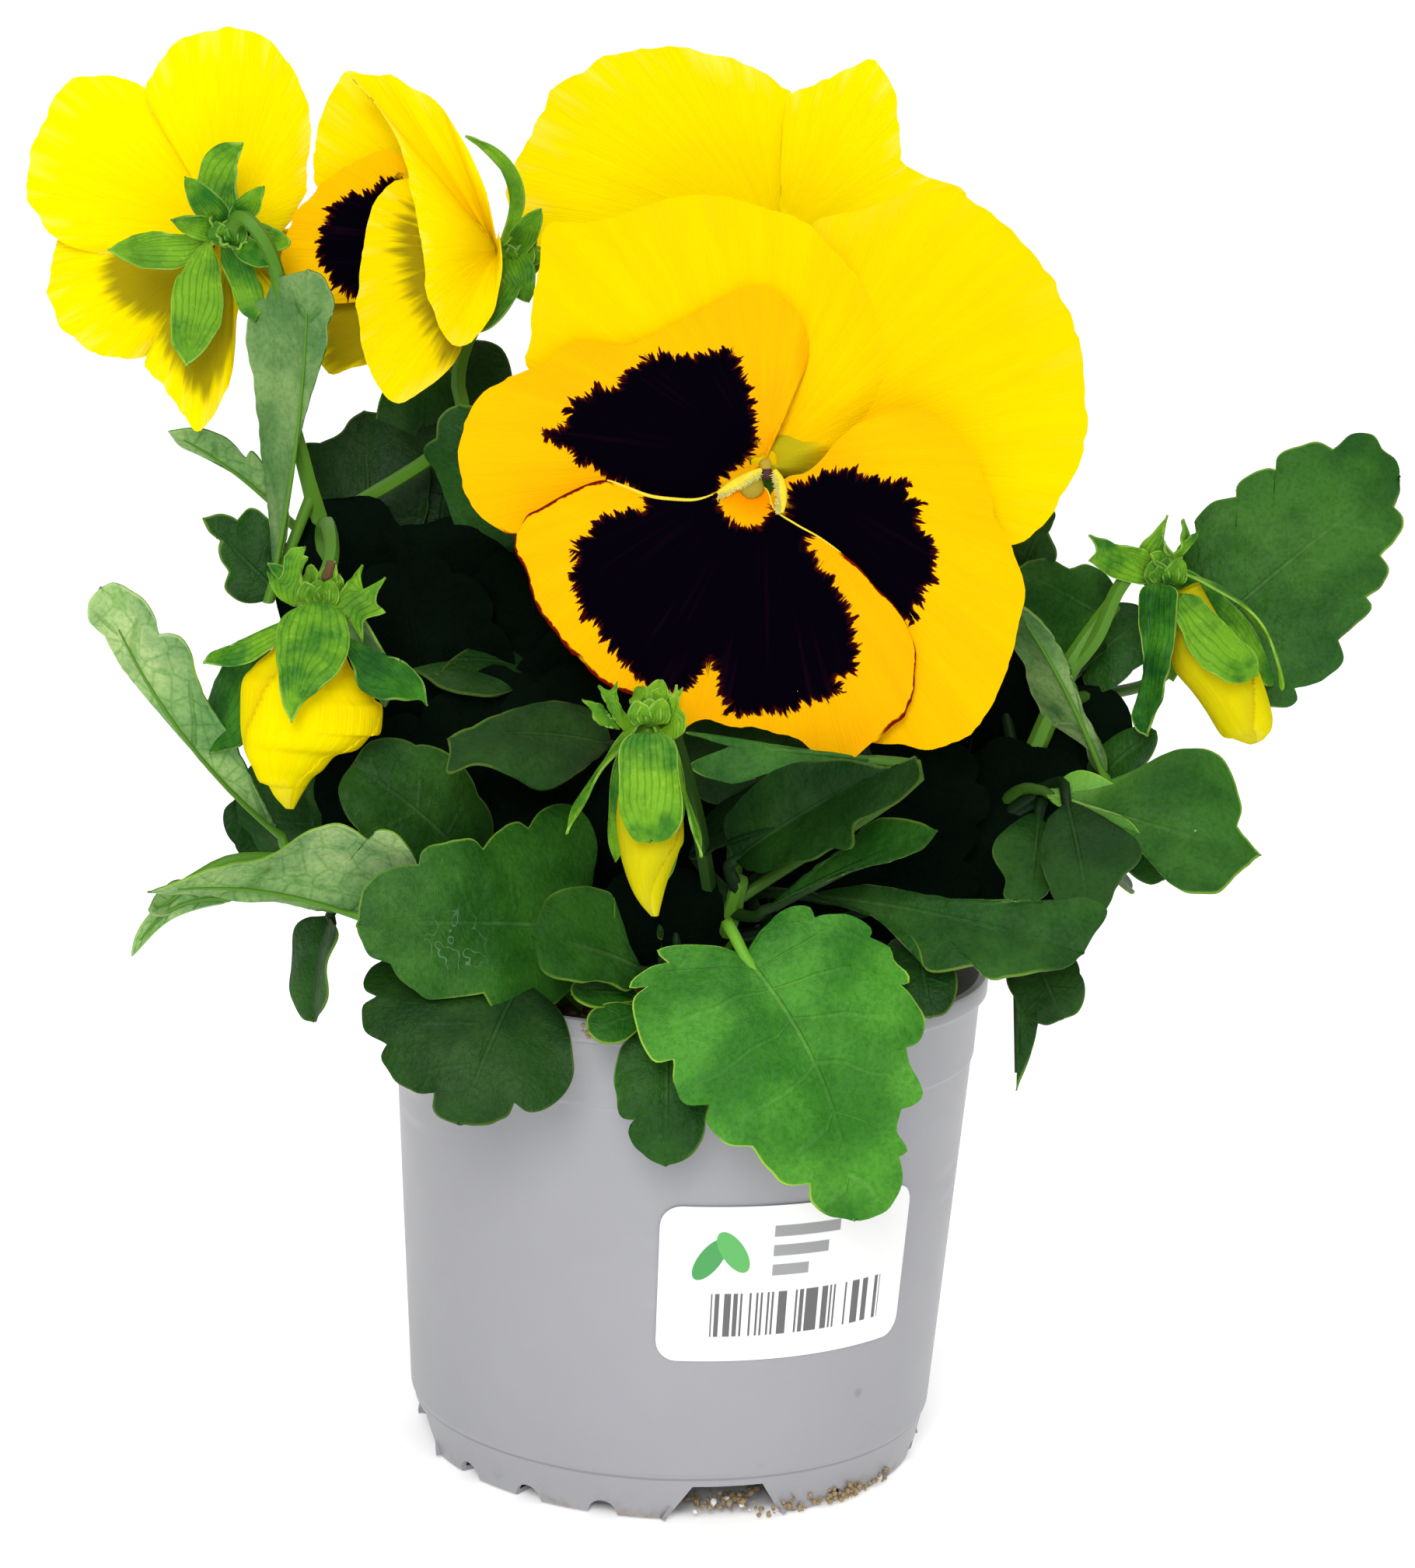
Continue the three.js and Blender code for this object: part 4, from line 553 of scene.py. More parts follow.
# Buds. A stalk starts at its stem or at a share along it. The sepals come with the ears that stand
# behind them, and a stub is the dry end above the crown. The left and right edges of the furled
# petals are shares of their length with distances from their axis, and green is how green they are.
BUDS = {
    "left": {
        "stem": "left", "crown": (-62, -33, 152), "radius": 2.8,
        "stub": ((-60.5, -35, 155.5), (-60, -35, 157.5)),
        "stalk": ((-61, -27, 157), (-63, -14, 161), (-65, -5, 158), (-64, -3, 152)),
        "sepals": (
            ((-62, -40, 151.5), (-64.5, -47, 133), (0, -1, 0.4), 11, 1.5, 6, "bud_shield"),
            ((-57, -36, 145.5), (-43.5, -40, 135.5), (0.3, -0.8, 0.5), 8, 1.5, 8, "bud_wing"),
            ((-68, -37, 147.5), (-80, -38, 140.5), (-0.2, -0.9, 0.4), 5, 1, 6, "bud_arm"),
            ((-71, -29, 145), (-80.5, -26, 123.5), (-0.6, -0.7, 0.3), 12, 1, 4, "bud_shade"),
            ((-57, -29, 149), (-52, -22, 132), (0.7, 0.7, 0.3), 10, 2, 8, "sepal"),
            ((-66, -35, 150), (-64.5, -33, 159.5), (0, -1, 0.3), 9, 0.5, 0, "frill"),
            ((-59.5, -35, 150), (-51.5, -33, 155), (0, -1, 0.3), 11, 0.5, 0, "horn"),
            ((-61, -34, 153), (-59.5, -35, 157.5), (0, -1, 0.3), 3, 0.5, 0, "ear"),
            ((-66, -34, 150), (-70.5, -33, 156.5), (0, -1, 0.3), 3, 0.5, 0, "ear"),
        ),
        "petals": {
            "base": (-63.6, -35, 148), "tip": (-65.6, -37, 117), "depth": 6.5, "folds": 3,
            "left": (
                (0, 2.5), (0.17, 5.2), (0.28, 8.1), (0.41, 9.7), (0.55, 9.5), (0.69, 8.6), (0.81, 6.6),
                (0.875, 5.4), (0.885, 4), (0.94, 2.8), (1, 0.8)),
            "right": (
                (0, 2.5), (0.05, 5), (0.22, 7.4), (0.29, 9.5), (0.39, 12.2), (0.46, 13.6), (0.52, 13.6),
                (0.56, 12.2), (0.65, 10), (0.7, 6.4), (0.78, 4.7), (0.83, 3.1), (0.91, 1.8), (1, 0.6)),
        },
    },
    "middle": {
        "stem": "front", "share": 0.6, "crown": (-7.5, -60, 139.5), "radius": 2.7, "light": 0.1,
        "stalk": ((-7, -54, 141), (-5, -49, 137), (0, -46, 122)),
        "sepals": (
            ((-7.5, -65, 137), (-6.5, -68, 120.5), (0, -1, 0.2), 10, 1, 4, "bud_tongue"),
            ((-12, -62, 136), (-19.5, -67, 121), (-0.9, -0.3, 0.3), 3, 0.5, 0, "sepal", 2.2),
            ((-3, -62, 132), (1.5, -66, 118), (0.9, -0.3, 0.3), 3, 0.5, 0, "sepal", -1.2),
            ((-11.5, -57, 135), (-12, -53, 114), (-0.6, -0.8, 0), 5, 2, 0, "sepal"),
            ((-3, -57, 135), (-4, -52, 111), (0.6, -0.8, 0), 7, 2, 0, "sepal"),
            ((-11, -60, 136), (-15.5, -62, 143.5), (0, -1, 0.3), 3, 0.5, 0, "prong"),
            ((-12, -60, 136.5), (-18, -61, 141), (0, -1, 0.3), 3, 0.5, 0, "lip"),
            ((-4, -60, 135), (-3.5, -61, 144), (0, -1, 0.3), 4, 0.5, 0, "fork"),
        ),
        "petals": {
            "base": (-7.4, -60, 136), "tip": (-5.3, -61, 107.3), "depth": 5, "folds": 2, "green": 0.75,
            "left": ((0, 2), (0.09, 3.4), (0.31, 5), (0.48, 5.6), (0.62, 5.3), (0.75, 4.5), (0.86, 3.4),
                     (0.93, 2.3), (1, 0.7)),
            "right": ((0, 2), (0.15, 3.6), (0.37, 4.8), (0.54, 4.9), (0.64, 4.1), (0.76, 2.6), (0.84, 1.8),
                      (0.91, 1.2), (1, 0.5)),
        },
    },
    "right": {
        "stem": "right", "share": 0.85, "sepal_tone": -0.1, "crown": (78, -5, 158), "radius": 3,
        "stalk": ((74, -5, 159), (70.5, -6, 155), (67, -6, 146)),
        "sepals": (
            ((76.5, -9, 156.5), (76, -13, 131), (-0.5, -0.8, 0.2), 7, 1, 8, "bud_drape"),
            ((80.5, -10, 155), (94, -12, 142), (0.2, -1, 0.2), 8, 1, 4, "bud_oval"),
            ((81, -7, 159), (99, -8, 139), (0.6, 0, 0.8), 3.5, 5, 0, "sepal", 2),
            ((83, 0, 156), (99, 3, 138), (0.5, -0.8, 0.3), 8, 2, 5, "sepal"),
            ((78, 1, 156), (82, 4, 138), (-0.3, 0.9, 0), 7, 2, 5, "sepal"),
            ((76, -6, 158.5), (64.5, -8, 164), (0, -1, 0.3), 7, 0.5, 0, "star"),
            ((77, -5, 158.5), (78, -4, 167.5), (0, -1, 0.3), 6, 0.5, 0, "spur"),
            ((79, -5, 160), (80.5, -5, 167), (0.8, -0.4, 0.3), 2, 1, 0, "sepal", 1.5),
            ((80, -5, 161), (83.5, -4, 165), (0, -1, 0.3), 1.5, 0.5, 0, "sepal"),
        ),
        "petals": {
            "base": (82.3, -5, 155.5), "tip": (95, -4, 129), "depth": 5, "folds": 2, "green": 0.55,
            "left": ((0, 2), (0.11, 3.8), (0.24, 6.1), (0.41, 7.4), (0.59, 6), (0.74, 5), (0.88, 4.3),
                     (0.92, 3), (1, 0.5)),
            "right": ((0, 2), (0.2, 2.7), (0.39, 4.3), (0.58, 5.7), (0.74, 5.6), (0.87, 5.2), (0.95, 4.4),
                      (1, 2.5)),
        },
    },
}

# Blooms. Aim is a turn from -Y, a lift upwards and a roll round the way it faces. Warm and tone are
# how orange a bloom or a petal is, and detail is a petal's rays and the steps on each. Petals lie from
# the rearmost forward, and a turned one shows its back. An outline point is right, up and forward of
# the throat. A blotch is an outline, or a share of the petal, and a rim lists the stretches of the
# outline that have a dark edge line. A root is the line that a petal starts from when it isn't the
# throat, with its own rim and pale lips: start, end and thickness. A claw is a green base, partly the
# petal's own colour and partly painted shade in the throat's recess, or an orange one where it is
# below zero.
BLOOMS = {
    "front": {
        "stem": "front", "share": 0.9, "throat": (9, -30, 176), "aim": (0, 11, 2.5), "bulge": 2,
        "warm": 0.75, "detail": (116, 56), "ruffle": 0.5,
        "stalk": ((9, -20, 177), (9, -12, 177), (8, -5, 168), (6, -6, 140)),
        "petals": (
            {"forward": -7, "tone": 0.4, "claw": 1, "outline": (
                (10, -5), (25, -12), (39, -13), (43.5, -11.5), (47, -8), (49, -4.5), (51.5, 0.5),
                (52.5, 3.5), (53, 7.5), (52.5, 10.5), (52.5, 14.5), (52, 19), (50.5, 23.5), (48.5, 28),
                (45, 34), (39, 40), (34, 43.5), (26.4, 45.6), (22.9, 44.6), (17.5, 42.3), (7, 39),
                (0, 6))},
            {"forward": -4, "tone": 0.45, "outline": (
                (6, 0), (10, 1.5), (15, 3.5), (19, 9.5), (21, 16), (19.5, 22), (16.5, 28.5), (11, 35),
                (7, 39.1), (3.3, 40.7), (-7, 43.7), (-15.2, 43.5), (-27.8, 39.1), (-34.9, 39.1),
                (-36.6, 31.4), (-38.2, 20.6), (-38.4, 15.7), (-6, 1))},
            # A small olive patch at the upper petals' folded claws, its green partly painted shade in the
            # recess
            {"forward": -3, "tone": 0.4, "claw": 1, "outline": (
                (0.5, -1), (0.5, 3), (2, 5.5), (5, 6), (9, 5), (13, 4), (10, 1), (6.5, -1.5), (2, -2))},
            {"forward": -0.5, "tone": 0.85, "rim": ((0, 0.05), (0.76, 0.86)), "outline": (
                (2.5, 7, 0), (5, 11.5, 0), (6.9, 16.5, 0), (6.5, 21.5, 0), (4, 26, 0), (-0.5, 28.3, 0),
                (-8.4, 25.8, 0), (-16.6, 21, 0), (-22, 18.8), (-31, 19.3), (-34.5, 16.5), (-45.2, 11.3),
                (-49.6, 1.9), (-48.7, -3.1), (-46.5, -7.5), (-41, -11.6), (-26, -9), (-9, -7)),
             "blotch": (
                (-1, 3.1), (-1.7, 6.2), (-1.4, 9.4), (-2.3, 11.9), (-3.5, 13.8), (-4.4, 16.3), (-5, 18.2),
                (-8.6, 17.8), (-11.7, 16.7), (-14.2, 17.5), (-19, 17.5), (-21.1, 15), (-22.8, 14.4),
                (-23.6, 11.9), (-28, 11.5), (-30.3, 10.4), (-32.1, 8.8), (-31.8, 5.9), (-35.6, 5),
                (-35.9, 3.5), (-31.2, 1.8), (-30.6, -0.3), (-27.4, -1.3), (-24.3, -3.4), (-16, -7),
                (-8, -7), (-7.7, -4.4), (-4.2, -1.3), (-2.5, -0.3))},
            {"forward": 2, "tone": 0.75,
             "root": ((0, -7), (2, -4), (4, -2.5), (6.5, -2), (9, 0), (11.5, 3), (15, 6)),
             "outline": (
                (1.5, -8.5), (5, -24.5), (15, -44), (22.5, -46), (27, -46.5), (33.5, -43.5), (37, -38),
                (40, -30.5), (41.5, -23), (41, -17.5), (39, -12.5), (37, -9), (36, -4.5), (33.5, 1.5),
                (30, 5), (28, 7.5), (22.5, 8.5), (18.5, 8), (16, 7)),
             "blotch": (
                (3.7, -7.1), (3.5, -5.3), (5.2, -3.4), (8.3, -1.9), (13.3, -1.5), (18.3, -3), (23.3, -3.4),
                (22.7, -5.3), (25.2, -6.9), (25.2, -10.9), (27.1, -12.8), (27.4, -15.3), (27.1, -17.8),
                (25.8, -22.8), (24.3, -24), (23.9, -26.5), (18, -24), (10, -18), (3.3, -10))},
            {"forward": 5, "tone": 0.9, "claw": -1, "rim": ((0, 0.4), (0.82, 1)),
             "root_rim": ((0, 0.22), (0.8, 1)), "lips": ((0.22, 0.46, 1), (0.55, 0.8, 0.6)),
             "root": (
                (-39, -11), (-38, -9), (-36, -8), (-32.5, -6), (-28, -4), (-25.5, -3.5), (-22.5, -4.5),
                (-18.5, -6), (-14.5, -6.5), (-11, -6.5), (-8, -5.5), (-5, -4), (0, -4.5), (1.5, -8),
                (5, -10.5), (8.5, -12.5), (12, -15), (15, -17.5), (17.5, -20.5), (20.5, -23.5),
                (22.5, -26.5)),
             "outline": (
                (-40, -12.5), (-40, -14.5), (-38, -18.5), (-36.5, -23.5), (-34, -27.5), (-30.5, -31.5),
                (-26.5, -35), (-22, -37.5), (-17, -38.5), (-14, -40.5), (-13.5, -43.5), (-11.5, -42),
                (-9.5, -41.5), (-6, -42.5), (0, -43.5), (5, -45), (11, -48.5), (15, -47), (19, -44),
                (22, -41.5), (23.5, -38), (24, -34.5), (24, -30.5), (23, -28)),
             "blotch": (
                (-8, -2), (-17, -2), (-19.8, -8), (-23.5, -8.6), (-26.7, -9.6), (-28.5, -11.7),
                (-31.4, -14.8), (-30.4, -16.7), (-31.4, -18.6), (-30, -22.3), (-29.8, -23.9), (-27.9, -26),
                (-25.4, -29.8), (-21.7, -34.1), (-19.2, -36), (-16.7, -37), (-13, -37.3), (-10.5, -35.4),
                (-8.9, -31.8), (-7, -37.9), (-5.8, -41), (-3.7, -41.2), (0.1, -40.7), (3.8, -40.6),
                (6.9, -39.4), (10.7, -38.5), (12.5, -37.3), (11.9, -35.4), (14.4, -33.8), (14.7, -29.8),
                (13.2, -23.6), (10.7, -19.2), (6.9, -14.2), (9, -11), (5, -6), (0.5, -7.3),
                (0.1, -9.2), (-1.1, -10.8), (-3, -11), (-4.6, -10), (-6.1, -9.2), (-7.4, -7.9),
                (-7.4, -6))},
        ),
    },
    "left": {
        "stem": "tall", "share": 1, "throat": (-83, 4, 208), "aim": (180, -11, -2.5), "bulge": -2,
        "warm": 0.1, "detail": (96, 34), "ruffle": 0.6,
        "stalk": ((-81, -8, 208), (-78, -14, 211), (-75, -14, 208), (-73, -11, 203), (-72, -9, 197),
                  (-71, -6, 189)),
        "petals": (
            {"forward": 0, "blotch": 0.85, "outline": (
                (5.5, -7.5), (13.5, -21), (14, -23), (11, -26.5), (9, -29.5), (5, -34), (4, -33.5),
                (2, -30.5), (0, -26.5), (-1, -21), (-1.5, -14), (-3, -10))},
            {"forward": 3, "outline": (
                (-5.5, 0.5), (-7, -1), (-10.5, 2.5), (-12.5, 6.5), (-13, 11), (-13.5, 16.5), (-13, 23),
                (-11, 27), (-9, 30), (-5.5, 33.5), (-1, 35), (2.5, 34.5), (8, 33.5), (11.5, 30),
                (13.5, 27), (14.5, 24), (9, 13.5), (3, 4.5))},
            {"forward": 6, "outline": (
                (3.5, 9), (11, 21), (15, 25.5), (19, 27), (24, 27.5), (28, 26.5), (30.5, 24.5),
                (31.5, 21.5), (33, 18), (34.5, 15), (35, 12), (35, 8.5), (34.5, 5.5), (32.5, 2.5),
                (30, -0.5), (21.5, -3), (8.5, -1.5))},
            {"forward": 9, "blotch": 0.7, "outline": (
                (7.5, -0.5), (19.5, -1.5), (30, 0.5), (31.5, -3.5), (32, -7), (32.5, -9.5), (31, -13),
                (28.5, -16.5), (24, -19.5), (20.5, -20.5), (16.5, -20.5), (14.5, -19), (12, -15),
                (11, -16.5), (6, -7.5))},
            {"forward": 12, "blotch": 0.6, "outline": (
                (-2, 0.8), (-8, 2), (-16, 2), (-17, -5), (-12, -12), (-6, -12), (-1.6, -4))},
        ),
    },
    "side": {
        "stem": "tall", "share": 0.85, "sepal_tone": -0.2, "throat": (-37, 5, 206),
        "aim": (0, 11, 2.5), "bulge": 1, "warm": 0.2, "detail": (90, 34), "ruffle": 0.5,
        "stalk": ((-34, 5, 206), (-31, 9, 206), (-33, 15, 203), (-42, 15, 192), (-44, 14, 184),
                  (-43, 13, 176)),
        "petals": (
            {"forward": -4, "outline": (
                (-2.5, 7.5), (-9.5, 16.5), (-17, 25), (-26, 32), (-28, 29.5), (-30.5, 25), (-31.5, 20),
                (-32, 16), (-31.5, 12.5), (-26.5, 10.5), (-15, 7), (-4, 3.5))},
            {"forward": -4, "turned": True, "blotch": 1, "outline": (
                (-6, 1), (-23, 0), (-37, -4), (-35.5, -7.5), (-32, -12), (-30.5, -18.5), (-29, -20),
                (-26, -19), (-21.5, -17.5), (-7, -4.5))},
            {"forward": 0, "tone": 0.7, "outline": (
                (-5.5, 4.5), (-15, 10.5), (-16.5, 16.5), (-20, 17.5), (-23.5, 16), (-27.5, 14),
                (-31, 11), (-34, 7.5), (-36, 3.5), (-37, -0.5), (-36.5, -3.5), (-34.5, -6), (-30.5, -8),
                (-23.5, -8), (-14.5, -5), (-4.5, 0.5)),
             "blotch": (
                (-16.5, 13.5), (-21.5, 11.5), (-24.5, 10.5), (-28.5, 8), (-30, 4.5), (-31, 1.5),
                (-30.5, -1), (-29, -4), (-27, -7), (-23.5, -8.5), (-18.5, -6), (-13.5, 1.5))},
            {"forward": 5, "turned": True, "outline": (
                (-3, 4), (-10.5, 10), (-14.5, 12), (-18, 11), (-20.5, 8), (-22, 3.5), (-23, -2),
                (-23.5, -7), (-23.5, -12), (-22.5, -17.5), (-21, -21.5), (-19, -24.5), (-16.5, -26),
                (-13, -24), (-9, -21), (-6.5, -17.5), (-4.5, -11), (-2, -2)),
             "blotch": (
                (-14.5, 8), (-17.5, 3.5), (-17.5, -0.5), (-16, -5.5), (-14.5, -9.5), (-12.5, -13.5),
                (-10, -18), (-6.5, -20), (-5, -15), (-9, -7), (-10.5, 1))},
            {"forward": 10, "outline": (
                (0.5, 2), (1, -1.5), (1, -4.5), (0.5, -7.5), (-0.5, -11.5), (-2.5, -14.5),
                (-5.5, -17), (-7.5, -16.5), (-10, -12.5, 1), (-11.5, -7.5, 2), (-12, -1.5, 3), (-14, 9, 3),
                (-16, 16.5, 2), (-20, 23.5, 0), (-24.5, 29, -3), (-21.5, 29, -3), (-17.5, 28.5, -2),
                (-14, 26.5, -2), (-10, 24, -1), (-7.5, 20.5), (-4, 14.5), (-1.5, 8.5))},
        ),
    },
    "rear": {
        "stem": "back", "share": 0.95, "throat": (11, 33, 209), "aim": (180, -11, -2.5), "bulge": -1,
        "warm": 0.1, "detail": (84, 38), "ruffle": 0.8,
        "stalk": ((11, 24, 209), (11, 17, 208), (10, 15, 200), (9, 18, 185), (8, 26, 160)),
        "petals": (
            {"forward": 0, "outline": (
                (-2, 6), (-0.5, 10), (-1.5, 26.5), (-3.5, 27.5), (-10.3, 30.1), (-16.9, 32.5),
                (-20.4, 26.6), (-21, 19.4), (-21.7, 14.1), (-25.8, 11.8), (-32.2, 9.3), (-38, 0),
                (-30, -8), (-14, -2), (-3, -2))},
            {"forward": 3, "outline": (
                (3, -3), (20, -2), (40, -2), (49, 9.5), (46.5, 16), (43, 23), (40, 28.5), (36.5, 30.5),
                (33, 32.5), (30, 34.5), (26.5, 35), (21.5, 35.5), (16.5, 35.5), (13.5, 34.5),
                (10, 33.5), (7, 33), (3.5, 31.5), (0.5, 29), (-2.5, 27), (-2, 8))},
            {"forward": 6, "outline": (
                (5, 1.5), (16, 10), (27, 10), (34, 2), (34, -8), (27, -16), (17, -16), (6, -8)),
             "blotch": 0.72},
            {"forward": 9, "outline": (
                (-5, 1.5), (-16, 10), (-25, 10), (-32, 2), (-32, -8), (-25, -16), (-16, -16), (-5, -8)),
             "blotch": 0.72},
            {"forward": 12, "outline": (
                (7, -3.5), (20, -6), (24, -16), (20, -26), (9, -33), (0, -31), (-9, -33), (-19, -26),
                (-23, -16), (-19, -6), (-6, -3.2)), "blotch": 0.74},
        ),
    },
}


def unit(vectors):
    return vectors / np.linalg.norm(vectors, axis=-1, keepdims=True)


def mix(a, b, share):
    return a + (b - a) * share


def smooth_step(low, high, value):
    share = np.clip((value - low) / (high - low), 0, 1)
    return share * share * (3 - 2 * share)


def waves(points, size, seed=0):
    """Smooth random numbers from -1 to 1 at the points, with bumps of the given size"""
    flat = np.asarray(points, float).reshape(-1, 3) / size
    found = [noise.noise(Vector((x + 17.3 * seed, y, z))) for x, y, z in flat]
    return np.array(found).reshape(np.shape(points)[:-1])


def wander(seed, *places):
    """Smooth random numbers at places given by their three coordinates"""
    return waves(np.stack(np.broadcast_arrays(*places), axis=-1), 1, seed)


def curve_line(points, steps=24):
    """A smooth line through the points, leaving and reaching each one in even time for its spacing"""
    points = np.array(points, float)
    padded = np.vstack([2 * points[0] - points[1], points, 2 * points[-1] - points[-2]])
    gaps = np.sqrt(np.maximum(np.linalg.norm(np.diff(padded, axis=0), axis=1), 1e-6))
    w = np.linspace(0, 1, steps, endpoint=False)[:, None]
    line = []
    for k in range(len(points) - 1):
        p0, p1, p2, p3 = padded[k:k + 4]
        d0, d1, d2 = gaps[k:k + 3]
        leave = d1 * ((p1 - p0) / d0 - (p2 - p0) / (d0 + d1) + (p2 - p1) / d1)
        reach = d1 * ((p2 - p1) / d1 - (p3 - p1) / (d1 + d2) + (p3 - p2) / d2)
        line.append(
            (2 * w ** 3 - 3 * w ** 2 + 1) * p1 + (w ** 3 - 2 * w ** 2 + w) * leave
            + (3 * w ** 2 - 2 * w ** 3) * p2 + (w ** 3 - w ** 2) * reach)
    return np.vstack(line + [points[-1:]])


def spread(line, shares):
    """Points at shares of a line's length"""
    lengths = np.concatenate([[0], np.cumsum(np.linalg.norm(np.diff(line, axis=0), axis=1))])
    at = np.asarray(shares, float) * lengths[-1]
    return np.stack([np.interp(at, lengths, line[:, k]) for k in range(line.shape[1])], axis=-1)


def rings(path):
    """Two crossing directions at each point of a path, which don't twist along it"""
    ahead = unit(np.gradient(path, axis=0))
    first = np.cross(ahead[0], (0.3, 0.9, 0.2))
    sides = [first / np.linalg.norm(first)]
    for direction in ahead[1:]:
        side = sides[-1] - direction * np.dot(sides[-1], direction)
        sides.append(side / np.linalg.norm(side))
    sides = np.array(sides)
    return sides, np.cross(ahead, sides)


def ring_faces(at):
    """Faces between closed rings of point numbers, with one ring in each row"""
    following = np.roll(at, -1, axis=1)
    return np.stack([at[:-1], following[:-1], following[1:], at[1:]], axis=-1).reshape(-1, 4).tolist()


def pole_faces(at, last):
    """Faces from point 0 to the first ring, and from the last ring to the last point"""
    following = np.roll(at, -1, axis=1)
    faces = [(0, b, a) for a, b in zip(at[0].tolist(), following[0].tolist())]
    return faces + [(last, a, b) for a, b in zip(at[-1].tolist(), following[-1].tolist())]


def circle(steps):
    return np.arange(steps) * 2 * math.pi / steps


def new_mesh(name, points, faces):
    mesh = bpy.data.meshes.new(name)
    mesh.from_pydata((np.asarray(points) * MM).tolist(), [], faces)
    return mesh


def link(name, data):
    """A new object in the scene"""
    made = bpy.data.objects.new(name, data)
    bpy.context.scene.collection.objects.link(made)
    return made


class Piece:
    """Gathers points, faces and numbers kept at the points, and becomes one object

    What a kept number means is up to the material that reads it.
    """

    KEPT = ("along", "across", "tone", "blotch", "margin", "edge", "veins", "spikes")

    def __init__(self, *materials):
        self.materials = materials
        self.points = []
        self.faces = []
        self.finish = []
        self.kept = {name: [] for name in self.KEPT}
        self.count = 0

    def add(self, points, faces, finish=0, **kept):
        points = np.asarray(points, float).reshape(-1, 3)
        self.points.append(points)
        self.faces += [tuple(corner + self.count for corner in face) for face in faces]
        self.finish += list(finish) if np.ndim(finish) else [finish] * len(faces)
        for name in self.KEPT:
            values = kept.get(name, 0)
            self.kept[name].append(np.broadcast_to(values, np.shape(values) or len(points)).reshape(-1))
        self.count += len(points)

    def sheet(self, grid, normals, thickness, upper, under, **kept):
        """A thin closed sheet whose upper and under sides have their own materials"""
        rows, columns = grid.shape[:2]
        half = np.asarray(thickness, float)[..., None] / 2 * normals
        points = np.vstack([(grid + half).reshape(-1, 3), (grid - half).reshape(-1, 3)])
        size = rows * columns
        at = np.arange(size).reshape(rows, columns)
        quads = np.stack([at[:-1, :-1], at[1:, :-1], at[1:, 1:], at[:-1, 1:]], axis=-1).reshape(-1, 4)
        edge = np.concatenate([at[0, :], at[1:, -1], at[-1, -2::-1], at[-2:0:-1, 0]])
        rim = np.stack([edge, np.roll(edge, -1), np.roll(edge, -1) + size, edge + size], axis=-1)
        faces = quads.tolist() + (quads[:, ::-1] + size).tolist() + rim[:, ::-1].tolist()
        finish = [upper] * len(quads) + [under] * len(quads) + [upper] * len(rim)
        doubled = {name: np.tile(np.broadcast_to(values, (rows, columns)).reshape(-1), 2)
                   for name, values in kept.items()}
        self.add(points, faces, finish, **doubled)

    def tube(self, path, radius, sides, finish, flatness=1.0, ridge=0.0, **kept):
        """A closed tube along a path, with a radius for the whole path or for each point"""
        path = np.asarray(path, float)
        first, second = rings(path)
        radius = np.broadcast_to(radius, len(path))[:, None, None]
        turn = circle(sides)
        swell = (1 + ridge * np.cos(turn * sides / 2))[None, :, None]
        points = path[:, None] + radius * swell * (
            np.cos(turn)[None, :, None] * first[:, None]
            + np.sin(turn)[None, :, None] * second[:, None] * flatness)
        at = np.arange(len(path) * sides).reshape(len(path), sides)
        faces = ring_faces(at) + [at[0, ::-1].tolist(), at[-1].tolist()]
        along = np.repeat(np.linspace(0, 1, len(path)), sides)
        self.add(points, faces, finish, along=along, across=np.tile(turn / math.pi - 1, len(path)), **kept)

    def ball(self, centre, size, finish, ahead=(0, 0, 1), rough=0.0, seed=0, steps=(10, 14), **kept):
        """A closed egg with its own half sizes across and along, and a little unevenness"""
        ahead = unit(np.array(ahead, float))
        first = unit(np.cross(ahead, (0.31, 0.87, 0.38)))
        second = np.cross(ahead, first)
        shares = np.linspace(0, math.pi, steps[0] + 2)[1:-1]
        turn = circle(steps[1])
        around = np.cos(turn)[:, None] * first + np.sin(turn)[:, None] * second
        body = np.sin(shares)[:, None, None] * around[None] * size[0]
        body = body - np.cos(shares)[:, None, None] * ahead * size[1]
        points = np.vstack([-ahead * size[1], body.reshape(-1, 3), ahead * size[1]])
        if rough:
            points = points * (1 + rough * waves(points, size[0] * 0.8, seed))[:, None]
        at = np.arange(steps[0] * steps[1]).reshape(steps) + 1
        faces = ring_faces(at) + pole_faces(at, len(points) - 1)
        self.add(points + np.array(centre, float), faces, finish, **kept)

    def make(self, name, slot, *nodes, sharp=50):
        mesh = new_mesh(name, np.vstack(self.points), self.faces)
        for material in self.materials:
            mesh.materials.append(material)
        mesh.polygons.foreach_set("material_index", self.finish)
        for kept_name, values in self.kept.items():
            layer = mesh.attributes.new(kept_name, "FLOAT", "POINT")
            layer.data.foreach_set("value", np.concatenate(values).astype(np.float32))
        mesh.shade_smooth()
        mesh.set_sharp_from_angle(angle=math.radians(sharp))
        return settle(link(name, mesh), slot, *nodes)


def settle(piece, slot, *nodes):
    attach(piece, "root")
    if nodes:
        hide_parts(*nodes)
    return piece


# Leaves
def leaf_outline(form, length, width, share):
    lobe, wide, heel, point = form[:4]
    away = math.pi * share
    along = length * ((1 - np.cos(away)) / 2 - lobe * np.sin(away) * (1 - share) ** 3)
    swell = np.maximum(np.sin(math.pi * share ** wide), 0)
    return along, width / 2 * swell ** mix(heel, point, share)


